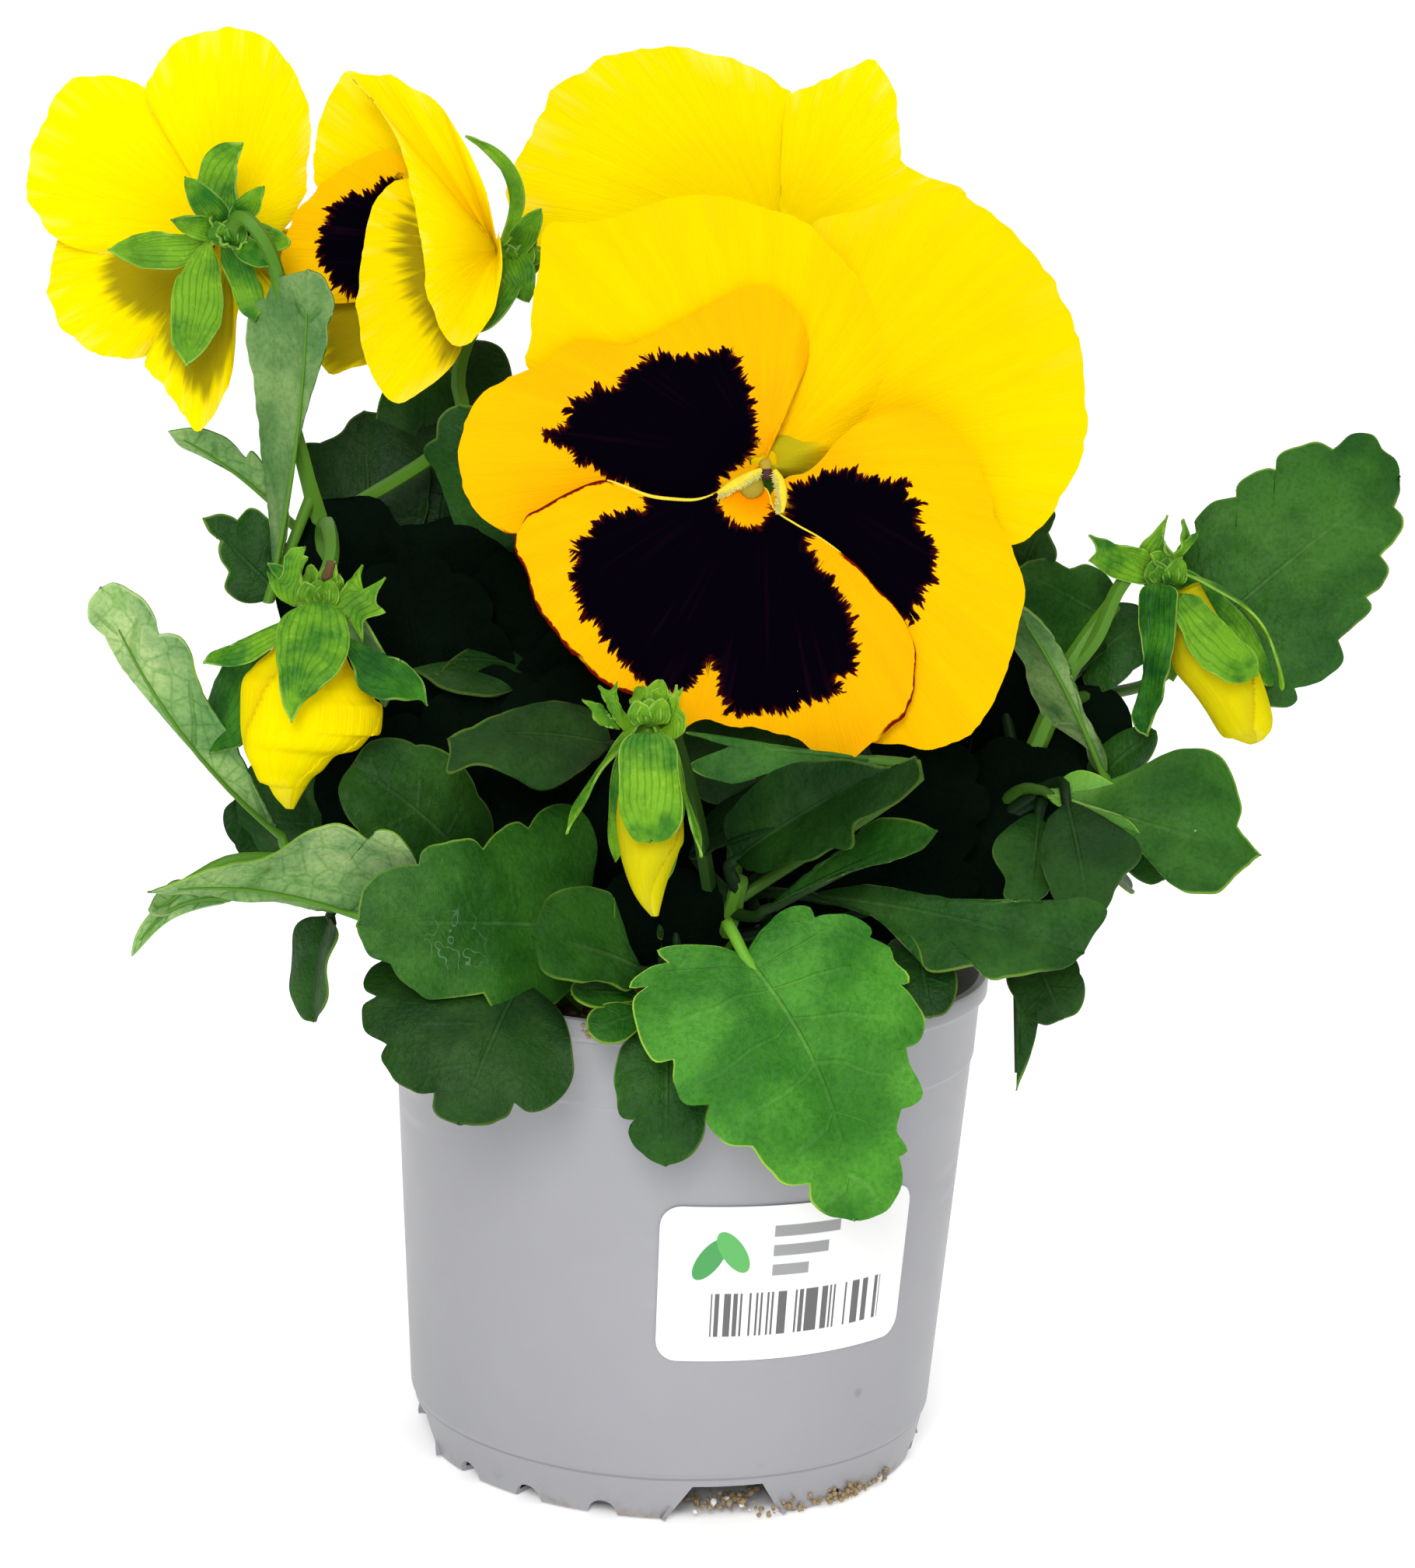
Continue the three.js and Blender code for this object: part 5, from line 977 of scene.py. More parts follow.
def toothed_margin(form, length, width, count):
    """One side of a leaf from its form, with the side veins passed at each point"""
    share = np.linspace(0.004, 0.996, count)
    along, out = leaf_outline(form, length, width, share)
    ahead, ahead_out = leaf_outline(form, length, width, np.minimum(share + 0.01, 1))
    behind, behind_out = leaf_outline(form, length, width, np.maximum(share - 0.01, 0))
    run = np.maximum(np.hypot(ahead - behind, ahead_out - behind_out), 1e-6)
    teeth = teeth_count(form, width)
    place = (share * teeth) % 1 if teeth > 1 else 0 * share
    depth = form[5] * width * np.sin(math.pi * place ** 0.8) ** 0.5 * np.minimum(1, 6 * (1 - share))
    forward = TOOTH_LEAN * depth * place
    return np.stack([
        along - depth * (ahead_out - behind_out) / run + forward * (ahead - behind) / run,
        out + depth * (ahead - behind) / run + forward * (ahead_out - behind_out) / run,
        share * max(teeth, 4)], axis=-1)


def teeth_count(form, width):
    return min(form[4], round(width / TOOTH_SPAN))


def drawn_margin(lobes, length, count, seed, way):
    """One side of a leaf from its lobes, with the side veins passed at each point"""
    lines = []
    start = (0, 0)
    for number, lobe in enumerate(lobes):
        ends = [start, *lobe]
        if number == len(lobes) - 1:
            ends.append((length, 0))
        lines.append(curve_line(ends, 12))
        start = ends[-1]
    sizes = [np.sum(np.linalg.norm(np.diff(line, axis=0), axis=1)) for line in lines]
    marks = np.round(np.cumsum([0, *sizes]) / sum(sizes) * (count - 1)).astype(int)
    side = np.zeros((count, 3))
    for number, line in enumerate(lines):
        first, last = marks[number], marks[number + 1]
        shares = np.linspace(0, 1, last - first + 1)
        size = np.hypot(*(line[-1] - line[0]))
        points = spread(line, shares)
        turned_way = unit(np.gradient(points, axis=0))[:, ::-1] * (1, -1)
        uneven = wander(4, shares * size / 2.4, number, seed) * np.sin(math.pi * shares) ** 0.5
        side[first:last + 1, :2] = points + turned_way * (MARGIN_UNEVEN * uneven)[:, None]
        side[first:last + 1, 2] = number + shares
    return side * (1, way, 1)


def blade_frame(base, tip, face):
    chord = tip - base
    ahead = unit(chord)
    normal = unit(face - ahead * np.dot(face, ahead))
    return chord, normal, np.cross(ahead, normal)


def midline(row, share):
    """Points along a blade's middle, with the way it grows and the way its face looks"""
    base, tip, face, arch, bow = row["base"], row["tip"], row["face"], row["arch"], row["bow"]
    chord, normal, across = blade_frame(base, tip, face)
    rise = (4 * share * (1 - share))[..., None]
    slope = (4 * (1 - 2 * share))[..., None]
    share = share[..., None]
    point = base + chord * share + normal * arch * rise + across * bow * rise
    ahead = unit(chord + normal * arch * slope + across * bow * slope)
    up = unit(normal - ahead * (ahead @ normal)[..., None])
    return point, ahead, up


def read_blade(values):
    base, tip, face, width, arch, fold, form = values[:7]
    return {
        "base": np.array(base, float), "tip": np.array(tip, float), "face": np.array(face, float),
        "width": width, "arch": arch, "fold": math.radians(fold), "form": form,
        "bow": values[7] if len(values) > 7 else 0}


def margins(row, length, count, seed):
    """Both sides of a blade, as points along, out and veins passed"""
    if row["form"] in OUTLINES:
        sides = zip(OUTLINES[row["form"]], (1, -1))
        return [drawn_margin(lobes, length, count, seed + way, way) for lobes, way in sides]
    side = toothed_margin(FORMS[row["form"]], length, row["width"], count)
    return [side, side]


def leaf_blade(piece, row, finish, tone, seed, thickness, columns=15, rows=None, wave=0.7, puff=0.35,
               dry_or_painted_light=0.0):
    """A blade with its two faces, quilted between its side veins and waved along its margin"""
    length = np.linalg.norm(row["tip"] - row["base"])
    drawn = row["form"] in OUTLINES
    teeth = 9 if drawn else teeth_count(FORMS[row["form"]], row["width"])
    count = rows or max(30, 11 * teeth + 6)
    u = np.linspace(0, 1, count)[:, None]
    a = np.linspace(-1, 1, columns)[None, :]
    part = np.abs(a)
    left, right = margins(row, length, count, seed)
    margin_along, out, veins = [
        np.where(a > 0, left[:, k][:, None], right[:, k][:, None]) for k in range(3)]
    x = mix(length * u ** (2 if drawn else 1.5), margin_along, part ** 1.1)
    y = a * out
    point, ahead, up = midline(row, x / length)
    side = np.cross(ahead, up)
    lean = row["fold"]
    half = max(np.max(out), 1)
    quilt = puff * (0.4 + 0.6 * np.cos(2 * math.pi * veins)) * 4 * part * (1 - part) * np.sin(math.pi * u)
    drift = wander(0, u * 3, a * 0.8, seed * 3.1)
    ripple = wave * np.sin(2 * math.pi * (2.3 * u + 0.25 * np.sign(a) + seed * 0.37)) * part ** 2
    lift = quilt + ripple * np.sin(math.pi * u) + drift * wave * part
    lift = lift - CURL * (y / half) ** 2 * half
    lift = lift - GROOVE * np.exp(-(y / 0.9) ** 2) * (1 - u) * (0.6 if drawn else 1)
    grid = point + side * (y * math.cos(lean))[..., None]
    grid = grid + up * (np.abs(y) * math.sin(lean) + lift)[..., None]
    normals = unit(np.cross(np.gradient(grid, axis=0), np.gradient(grid, axis=1)))
    normals = normals * np.sign(np.sum(normals * up, axis=-1, keepdims=True))
    margin = (1 - part) * np.maximum(np.hypot(out, margin_along - length * u ** 1.5), 0.1)
    # Blotch above zero browns a sepal's dry base; below zero it paints a highlight on a leaf's base
    piece.sheet(
        grid, normals, thickness, finish[0], finish[1],
        along=u + 0 * a, across=a + 0 * u, tone=tone, margin=margin, edge=y, veins=veins,
        blotch=dry_or_painted_light * (1 - smooth_step(0, 0.12 if dry_or_painted_light > 0 else 0.7, u)) + 0 * a)


def stalk_tone(row, tone):
    """Stalks are painted in shade among shaded leaves, and pale where a leaf shows its underside"""
    if tone > 0.9:
        return 0.1
    return 0.5 if tone and row["face"][1] > 0 else max(0, 1.3 * tone - 0.35)


def petiole(piece, root, row, finish, tone):
    """The leaf's stalk, which goes on under its blade as the midrib"""
    chord, normal, _ = blade_frame(row["base"], row["tip"], row["face"])
    reach = np.linalg.norm(root - row["base"])
    before = row["base"] - unit(chord) * 0.25 * reach - normal * 0.1 * reach
    shares = np.linspace(0, 1, 14)
    way = spread(curve_line([root, before, row["base"]]), shares)
    under = np.linspace(0.06, 0.86, 10)
    rib, _, up = midline(row, under)
    slim = min(1, row["width"] / 16)
    start = PETIOLE_RADIUS * mix(0.7, 1, slim)
    thick = mix(0.75 * start, 0.2, under) * (0.6 if row["face"][1] > 0 else 1)
    path = np.vstack([way, rib - up * (thick[:, None] + RIB_DROP)])
    radius = np.concatenate([mix(start, 0.8 * start, shares), thick])
    piece.tube(path, radius, 8, finish, tone=tone)


def leafy_stem(name, materials):
    piece = Piece(*materials)
    radius, points = STEMS[name]
    line = curve_line(points)
    shares = np.linspace(0, 1, 26)
    knots = 1 + 0.12 * np.maximum(0, np.cos(2 * math.pi * (shares * 4 - 0.5))) ** 8
    thick = mix(radius, 0.6 * radius, shares) * knots
    piece.tube(spread(line, shares), thick, 12, STEM, ridge=0.05, tone=0.5)
    for seed, (stem, share, *rest) in enumerate(LEAVES):
        if stem != name:
            continue
        tone = rest.pop()
        row = read_blade(rest)
        size = row["width"]
        # Leaves of tone 0 are coarser and take the dark leaf_shade finish on both faces: painted shade
        lit = {"finish": (LEAF_UPPER, LEAF_UNDER), "dry_or_painted_light": LIT_BASES.get(row["form"], 0)}
        shaded = {"finish": (LEAF_SHADE, LEAF_SHADE), "columns": 9, "rows": 26}
        leaf_blade(
            piece, row, tone=tone, seed=seed, thickness=LEAF_THICKNESS, wave=0.028 * size,
            puff=min(0.22, 0.01 * size), **(lit if tone else shaded))
        petiole(piece, spread(line, [share])[0], row, STEM, stalk_tone(row, tone))
    for bloom_name, bloom in BLOOMS.items():
        if bloom["stem"] == name:
            calyx(piece, bloom["stalk"][0], CALYX_RADIUS, SEPALS[bloom_name], line, bloom)
    for bud in BUDS.values():
        if bud["stem"] == name:
            calyx(piece, bud["crown"], bud["radius"], bud["sepals"], line, bud)
    return piece.make(f"foliage_{name}", "leaf", f"leafy_stem_{name}")


def calyx(piece, centre, radius, sepals, line, spec):
    """The green cup behind a bloom or bud, with its sepals, their ears and the stalk down to the stem"""
    centre = np.array(centre, float)
    ends = [np.array(point, float) for point in spec["stalk"]]
    if np.any(ends[0] != centre):
        ends.insert(0, centre)
    if "share" in spec:
        ends.append(spread(line, [spec["share"]])[0])
    shares = np.linspace(0, 1, 30)
    path = spread(curve_line(ends), shares)
    thick = STALK_RADIUS * (1 + 0.35 * np.exp(-((shares - 0.02) / 0.08) ** 2))
    piece.tube(path, thick, 10, STEM, ridge=0.06, tone=spec.get("light", 0.45))
    piece.ball(centre, (radius * 0.7, radius * 0.8), SEPAL_UPPER, rough=0.5, steps=(18, 24), tone=-0.3,
               blotch=0.1, margin=9)
    back = unit(ends[1] - centre)
    first = unit(np.cross(back, (0.3, 0.2, 0.9)))
    second = np.cross(back, first)
    chance = random.Random(7)
    for ear in range(CALYX_EARS):
        turn = (ear + chance.uniform(-0.3, 0.3)) * 2 * math.pi / CALYX_EARS
        aside = first * math.cos(turn) + second * math.sin(turn)
        tip = centre + unit(back * chance.uniform(0.5, 1) + aside) * (radius + chance.uniform(1.2, 2.8))
        base = centre + (aside - back * 0.3) * radius * 0.6
        grow_sepal(piece, centre, (base, tip, aside, chance.uniform(3, 4.6), 0.4, 0, "ear"), ear, spec, 0)
    for aside in FRONT_EARS:
        base = centre + (aside * radius * 0.3, -radius * 0.75, -radius * 0.6)
        tip = centre + (aside * radius, -radius * 0.85, radius * chance.uniform(0.7, 1.1))
        face = (aside * 0.5, -1, 0.2)
        grow_sepal(piece, centre, (base, tip, face, radius * 1.5, 0.5, 12, "ear"), 3, spec, 0)
    if "stub" in spec:
        stub = np.array([centre + (0, 0, radius * 0.6), *spec["stub"]])
        piece.tube(stub, (0.9, 0.95, 0.8), 10, SEPAL_UPPER, blotch=1, margin=9)
    for seed, values in enumerate(sepals):
        grow_sepal(piece, centre, values, seed, spec, SEPAL_ROOT)


def grow_sepal(piece, centre, values, seed, spec, nearest):
    row = read_blade(values)
    if row["form"] not in OUTLINES and nearest and row["bow"] < 5:
        away = row["base"] - centre
        row["base"] = centre + away * nearest / max(np.linalg.norm(away), nearest)
    tone = -0.5 if row["form"] in DIM_FORMS else spec.get("sepal_tone", 0.2 + 0.6 * ((seed * 0.37) % 1))
    tone = 0.7 if row["bow"] else tone
    large = row["form"] in ("bud_tongue", "bud_shield")
    leaf_blade(
        piece, row, (SEPAL_UPPER, SEPAL_UNDER), tone, seed, SEPAL_THICKNESS, columns=13,
        rows=44 if nearest else 20, wave=0.4, puff=0.15, dry_or_painted_light=0.8 if large else 0.15)


# Blooms
def bloom_frame(aim):
    turn, lift, roll = (math.radians(angle) for angle in aim)
    out = np.array((math.sin(turn) * math.cos(lift), -math.cos(turn) * math.cos(lift), math.sin(lift)))
    level = np.array((math.cos(turn), math.sin(turn), 0.0))
    upright = np.cross(out, level)
    right = level * math.cos(roll) + upright * math.sin(roll)
    return out, right, np.cross(out, right)


def blotch_field(places, outline):
    """How far inside a closed outline each place is, and how far along the outline its nearest point is"""
    start = np.array(outline, float)
    end = np.roll(start, -1, axis=0)
    flat = places.reshape(-1, 1, 2)
    run = end - start
    length = np.linalg.norm(run, axis=1)
    share = np.clip(np.sum((flat - start) * run, axis=-1) / length ** 2, 0, 1)
    apart = np.linalg.norm(flat - start - share[..., None] * run, axis=-1)
    which = np.argmin(apart, axis=1)
    along = (np.cumsum(length) - length)[which] + share[np.arange(len(which)), which] * length[which]
    crossing = (start[:, 1] > flat[..., 1]) != (end[:, 1] > flat[..., 1])
    rise = np.where(np.abs(run[:, 1]) < 1e-9, 1e-9, run[:, 1])
    reach = start[:, 0] + (flat[..., 1] - start[:, 1]) * run[:, 0] / rise
    inside = np.sum(crossing & (flat[..., 0] < reach), axis=1) % 2 == 1
    nearest = np.min(apart, axis=1)
    size = places.shape[:-1]
    return np.where(inside, nearest, -nearest).reshape(size), along.reshape(size)


def marked(shares, ranges):
    """1 inside the ranges of shares and 0 outside, with soft ends"""
    found = np.zeros(len(shares))
    for start, end in ranges:
        here = smooth_step(start - 0.02, start, shares) * (1 - smooth_step(end, end + 0.02, shares))
        found = np.maximum(found, here)
    return found


def petal(piece, bloom, layer):
    """Rays from a root line near the throat to the petal's outline, ruffled towards its edge"""
    spec = bloom["petals"][layer]
    out, right, up = bloom_frame(bloom["aim"])
    points = [(*point, 0)[:3] for point in spec["outline"]]
    rays, steps = bloom["detail"]
    shares = np.linspace(0, 1, rays)
    line = spread(curve_line(points), shares)
    seed = layer + len(bloom["petals"]) * bloom["warm"]
    run = np.linalg.norm(np.diff(line[:, :2], axis=0), axis=1)
    track = np.concatenate([[0], np.cumsum(run)])
    free = np.clip(np.minimum(shares, 1 - shares) * 8, 0, 1)
    size = np.linalg.norm(line[:, :2], axis=1)
    nick = wander(3, track / 3.4, 0, seed) + 0.6 * wander(5, track / 1.3, 0, seed)
    rim = line[:, :2] * (1 + free * bloom["ruffle"] * nick / size)[:, None]
    root = spread(curve_line(spec["root"]), shares) if "root" in spec else PETAL_START * rim
    share = (np.linspace(0, 1, steps) ** 0.9)[:, None]
    flat = root[None] + (rim - root)[None] * share[..., None]
    x, y = flat[..., 0], flat[..., 1]
    reach = np.clip(np.hypot(x, y) / size, PETAL_START, 1)
    middle = unit(np.sum(rim, axis=0))
    angle = np.arctan2(middle[0] * y - middle[1] * x, middle[0] * x + middle[1] * y)
    forward = (spec["forward"] + line[None, :, 2]) * reach ** PETAL_LIFT + layer * PETAL_STEP
    forward = forward + bloom["bulge"] * 4 * reach * (1 - reach)
    ruffle = wander(7, track[None] / 14, share * 0.9, seed * 2.0)
    creases = wander(9, track[None] / 4.5, share * 0.7, seed * 3.0)
    forward = forward + RUFFLE * bloom["ruffle"] * (1.6 * ruffle * share ** 2 + 0.45 * creases * share)
    place = np.array(bloom["throat"], float)
    grid = place + x[..., None] * right + y[..., None] * up + forward[..., None] * out
    normals = unit(np.cross(np.gradient(grid, axis=0), np.gradient(grid, axis=1)))
    normals = normals * np.sign(normals @ out)[..., None]
    along = track[None] + 0 * x
    if isinstance(spec.get("blotch"), tuple):
        blotch, along = blotch_field(flat, spec["blotch"])
    elif "blotch" in spec:
        blotch = np.minimum(spec["blotch"] - reach, reach - BLOTCH_START) * size[None]
    else:
        blotch = np.full(x.shape, -9.0)
    claw = spec.get("claw", 0) * (1 - smooth_step(5, 13, np.hypot(x, y)))
    depth = np.linalg.norm(rim - root, axis=1)
    margin = (1 - share) * depth
    lined = np.repeat(marked(shares, spec.get("rim", ()))[None], steps, axis=0)
    if "root" in spec:
        inner = share < 0.5
        margin = np.where(inner, share * depth, margin)
        lined = np.where(inner, marked(shares, spec.get("root_rim", ()))[None], lined)
    for start, end, thick in spec.get("lips", ()):
        first, last = int(start * rays), int(end * rays)
        path = grid[0, first:last] + out * 0.1
        swell = np.sin(math.pi * np.linspace(0.05, 0.95, last - first)) ** 0.5
        piece.tube(path, LIP_THICKNESS * swell * thick, 8, CHEEK, tone=0.5)
    thickness = PETAL_THICKNESS * mix(1.5, 1, reach)
    sides = (PETAL_BACK, PETAL_FRONT) if spec.get("turned") else (PETAL_FRONT, PETAL_BACK)
    piece.sheet(
        grid, normals, thickness, *sides, along=reach, across=angle * 10,
        tone=spec.get("tone", bloom["warm"]), blotch=np.clip(blotch, -9, 9), margin=margin, edge=lined,
        veins=claw, spikes=along)


def petals(name, materials):
    bloom = BLOOMS[name]
    piece = Piece(*materials)
    for layer in range(len(bloom["petals"])):
        petal(piece, bloom, layer)
    throat = np.array(bloom["throat"], float)
    out, right, up = bloom_frame(bloom["aim"])
    inward = np.array(bloom["stalk"][0], float) - throat
    reach = np.linalg.norm(inward) - CALYX_RADIUS - 0.1
    foremost = max(spec["forward"] for spec in bloom["petals"])
    shares = np.linspace(0, 1, 6)
    start = throat + out * (foremost * PETAL_START ** PETAL_LIFT - 1.5)
    end = throat + unit(inward) * reach
    piece.tube(start + (end - start) * shares[:, None], mix(2.2, 2.8, shares), 12, PETAL_BACK, tone=0.2)
    if name == "front":
        front_throat(piece, throat, out, right, up)
    return piece.make(f"bloom_{name}", "petal", f"petals_{name}")


def front_throat(piece, throat, out, right, up):
    """The cheeks beside the throat with their pale hairs, the stigma between them and a dark ball painting
    the shade in its opening
    """
    def place(x, y, forward):
        return throat + right * x + up * y + out * forward

    chance = random.Random(4)
    for x, y in ((3.5, -37.6), (5.1, -37.1)):
        piece.ball(place(x, y, 6.6), (0.32, 0.25), HAIR, ahead=out, rough=0.4, tone=1)
    # Painted shade: a dark ball stands for the shade inside the stigma's opening
    piece.ball(place(0.3, -2.3, 5.4), (1.0, 0.8), HOLLOW_SHADE, ahead=out, tone=0)
    piece.ball(place(-2.2, -4.2, 4.9), (2.1, 0.7), STIGMA, ahead=out, rough=0.1, tone=0)
    piece.ball(place(0.1, -0.9, 5.3), (1.1, 0.9), STIGMA, ahead=out, rough=0.15, tone=1)
    for line, lean in (
            (((-0.5, -1.8), (-2.6, -2.9), (-5, -4.2), (-7.6, -5.6)), (0.3, -1)),
            (((1.4, -1.8), (2.3, -3.6), (2.7, -6), (2.6, -8.6)), (-1, -0.3))):
        way = spread(curve_line([place(x, y, 5.5) for x, y in line]), np.linspace(0, 1, 16))
        size = 0.95 * np.sin(math.pi * np.linspace(0.1, 0.93, 16)) ** 0.6
        piece.tube(way, size, 12, CHEEK, flatness=0.7, tone=0)
        for _ in range(CHEEK_HAIRS):
            root = spread(way, [chance.uniform(0.08, 0.99)])[0]
            away = right * (lean[0] + chance.uniform(-0.8, 0.8))
            away = away + up * (lean[1] + chance.uniform(-0.7, 0.7))
            away = unit(away + out * chance.uniform(0, 1.3))
            start = root + away * 0.55
            tip = start + away * chance.uniform(0.3, 0.85)
            piece.tube([start, (start + tip) / 2, tip], HAIR_RADII, 4, HAIR)


# Buds
def edge_distance(edge, share):
    """Distance of a bud's edge from its axis, smooth between the given places"""
    line = curve_line(edge, 8)
    return np.interp(share, line[:, 0], line[:, 1])


def furled(name, materials):
    """A closed bud: petals that wind round an axis inside its left and right edges"""
    spec = BUDS[name]["petals"]
    piece = Piece(*materials)
    base = np.array(spec["base"], float)
    tip = np.array(spec["tip"], float)
    ahead = unit(tip - base)
    side = unit(np.cross((0, -1, 0), ahead))
    near = np.cross(ahead, side)
    near = near * np.sign(-near[1])
    share = np.linspace(0, 1, BUD_ROWS)[:, None]
    turn = circle(BUD_SIDES)[None]
    left, right = edge_distance(spec["left"], share), edge_distance(spec["right"], share)
    winding = (turn / (2 * math.pi) * spec["folds"] + 0.25 - 0.8 * share) % 1
    free = np.sin(math.pi * np.clip(share * 1.1, 0, 1)) ** 0.5
    ridge = 1 + (0.16 * smooth_step(0, 1, winding) - 0.1) * free
    flutter = 1 + 0.05 * wander(6, 2 * np.cos(turn), 2 * np.sin(turn), share * 4) * free
    middle, half = (right - left) / 2, (right + left) / 2
    across = middle + half * np.cos(turn) * mix(1, flutter, 0.5)
    deep = spec["depth"] * np.minimum(1, half / np.max(half) * 1.15) * ridge * flutter
    grid = base + (tip - base) * share[..., None] + side * across[..., None]
    grid = grid + near * (np.sin(turn) * deep)[..., None]
    at = np.arange(grid.shape[0] * grid.shape[1]).reshape(grid.shape[:2])
    faces = [(a, d, c, b) for a, b, c, d in ring_faces(at)] + [at[0].tolist(), at[-1, ::-1].tolist()]
    # Tone and green rise at each fold's edge: painted shade in the creases between the furled petals
    piece.add(grid, faces, PETAL_FRONT, along=share + 0 * turn, across=turn * 4 + 0 * share,
              tone=0.03 + 0.25 * smooth_step(0.12, 0, winding), blotch=-9, margin=9, edge=0,
              veins=spec.get("green", 0.15) * (1.2 - 0.5 * share) + 0.25 * smooth_step(0.25, 0, winding))
    return piece.make(f"furled_{name}", "bud", f"bud_{name}")


# Pot, label and soil
def wall_radius(height):
    share = (height - STEP_HEIGHT) / (POT_HEIGHT - BAND_DEPTH - STEP_HEIGHT)
    return mix(STEP_RADIUS + STEP_REACH, BAND_RADIUS, share)


def lathe(profile, sides):
    """Points and faces of a profile of (radius, height) turned round Z, whose two ends are on the axis"""
    body = np.array([
        [(r * math.cos(t), r * math.sin(t), z) for t in circle(sides)] for r, z in profile[1:-1]])
    points = np.vstack([[(0, 0, profile[0][1])], body.reshape(-1, 3), [(0, 0, profile[-1][1])]])
    at = np.arange((len(profile) - 2) * sides).reshape(-1, sides) + 1
    return points, ring_faces(at) + pole_faces(at, len(points) - 1)


def turned(points, degrees):
    """Points turned round Z"""
    turn = math.radians(degrees)
    x, y, z = np.moveaxis(np.asarray(points, float), -1, 0)
    ahead = x * math.cos(turn) - y * math.sin(turn)
    return np.stack([ahead, x * math.sin(turn) + y * math.cos(turn), z], axis=-1)


def channel_outline(spare):
    top = CHANNEL_HEIGHT + spare
    foot, head = CHANNEL_FOOT / 2 + spare, CHANNEL_TOP / 2 + spare
    return ((-foot, -5), (foot, -5), (foot, 0), (head, top), (-head, top), (-foot, 0))


def bar(piece, outline, reaches, turn):
    """A straight bar between two distances from the pot's axis, with an outline of (x, z)"""
    size = len(outline)
    points = [(x, -reach, z) for reach in reaches for x, z in outline]
    faces = [tuple(range(size)), tuple(range(2 * size - 1, size - 1, -1))]
    faces += [(k, k + size, (k + 1) % size + size, (k + 1) % size) for k in range(size)]
    piece.add(turned(points, turn), faces)


def cutter():
    """All the channels and notches that are cut out of the pot's foot"""
    piece = Piece()
    notch = [(NOTCH_RADIUS * math.cos(t), NOTCH_RADIUS * 1.05 * math.sin(t)) for t in circle(24)]
    for turn in CHANNEL_TURNS:
        bar(piece, channel_outline(0), (CHANNEL_START, CHANNEL_END), turn)
        for extra in NOTCH_TURNS:
            bar(piece, notch, (FOOT_RADIUS - 5, FOOT_RADIUS + 5), turn + extra)
    return link("cutter", new_mesh("cutter", np.vstack(piece.points), piece.faces))


def mend_faces(mesh):
    """Turns all faces outwards"""
    form = bmesh.new()
    form.from_mesh(mesh)
    bmesh.ops.recalc_face_normals(form, faces=form.faces)
    form.to_mesh(mesh)
    form.free()


def pot_profile():
    """Radius and height round the pot's wall: up its outside, over its lip and down its inside"""
    band = POT_HEIGHT - BAND_DEPTH
    lip = POT_HEIGHT - LIP_HEIGHT
    step = STEP_RADIUS + STEP_REACH
    return (
        (0, 0), (10, 0), (30, 0), (FOOT_RADIUS - 0.7, 0), (FOOT_RADIUS - 0.15, 0.15),
        (FOOT_RADIUS + 0.1, 0.6), (STEP_RADIUS - 0.05, STEP_HEIGHT - 0.7),
        (STEP_RADIUS + 0.1, STEP_HEIGHT - 0.35), (step - 0.1, STEP_HEIGHT + 0.15),
        (step, STEP_HEIGHT + 0.6), (wall_radius(40), 40), (BAND_RADIUS - 0.02, band - 0.5),
        (BAND_RADIUS + 0.05, band - 0.2), (BAND_RADIUS + 0.3, band + 0.05),
        (BAND_RADIUS + 0.36, band + 0.4), (RIM_RADIUS - LIP_REACH - 0.04, lip - 0.3),
        (RIM_RADIUS - LIP_REACH + 0.1, lip), (RIM_RADIUS - 0.35, lip + 0.25),
        (RIM_RADIUS - 0.05, lip + 0.6), (RIM_RADIUS, lip + 1.1),
        (RIM_RADIUS, POT_HEIGHT - 0.7), (RIM_RADIUS - 0.25, POT_HEIGHT - 0.2),
        (RIM_RADIUS - 0.7, POT_HEIGHT), (RIM_RADIUS - 1.2, POT_HEIGHT),
        (RIM_RADIUS - 1.6, POT_HEIGHT - 0.25), (RIM_RADIUS - 1.8, POT_HEIGHT - 0.8),
        (RIM_RADIUS - LIP_REACH - WALL, lip - 1),
        (BAND_RADIUS - WALL, band - 1), (step - WALL, STEP_HEIGHT + 0.4), (FOOT_RADIUS - WALL, WALL),
        (0, WALL))


def pot(material):
    shell = link("pot_shell", new_mesh("pot_shell", *lathe(pot_profile(), POT_SIDES)))
    mend_faces(shell.data)
    knife = cutter()
    mend_faces(knife.data)
    cut = shell.modifiers.new("cut", "BOOLEAN")
    cut.operation = "DIFFERENCE"
    cut.solver = "EXACT"
    cut.object = knife
    shown = shell.evaluated_get(bpy.context.evaluated_depsgraph_get())
    made = bpy.data.meshes.new_from_object(shown)
    shell.modifiers.clear()
    bpy.data.objects.remove(knife, do_unlink=True)
    shell.data = made
    made.materials.clear()
    made.materials.append(material)
    made.shade_smooth()
    made.set_sharp_from_angle(angle=math.radians(POT_SHARP))
    settle(shell, "pot", "pot")


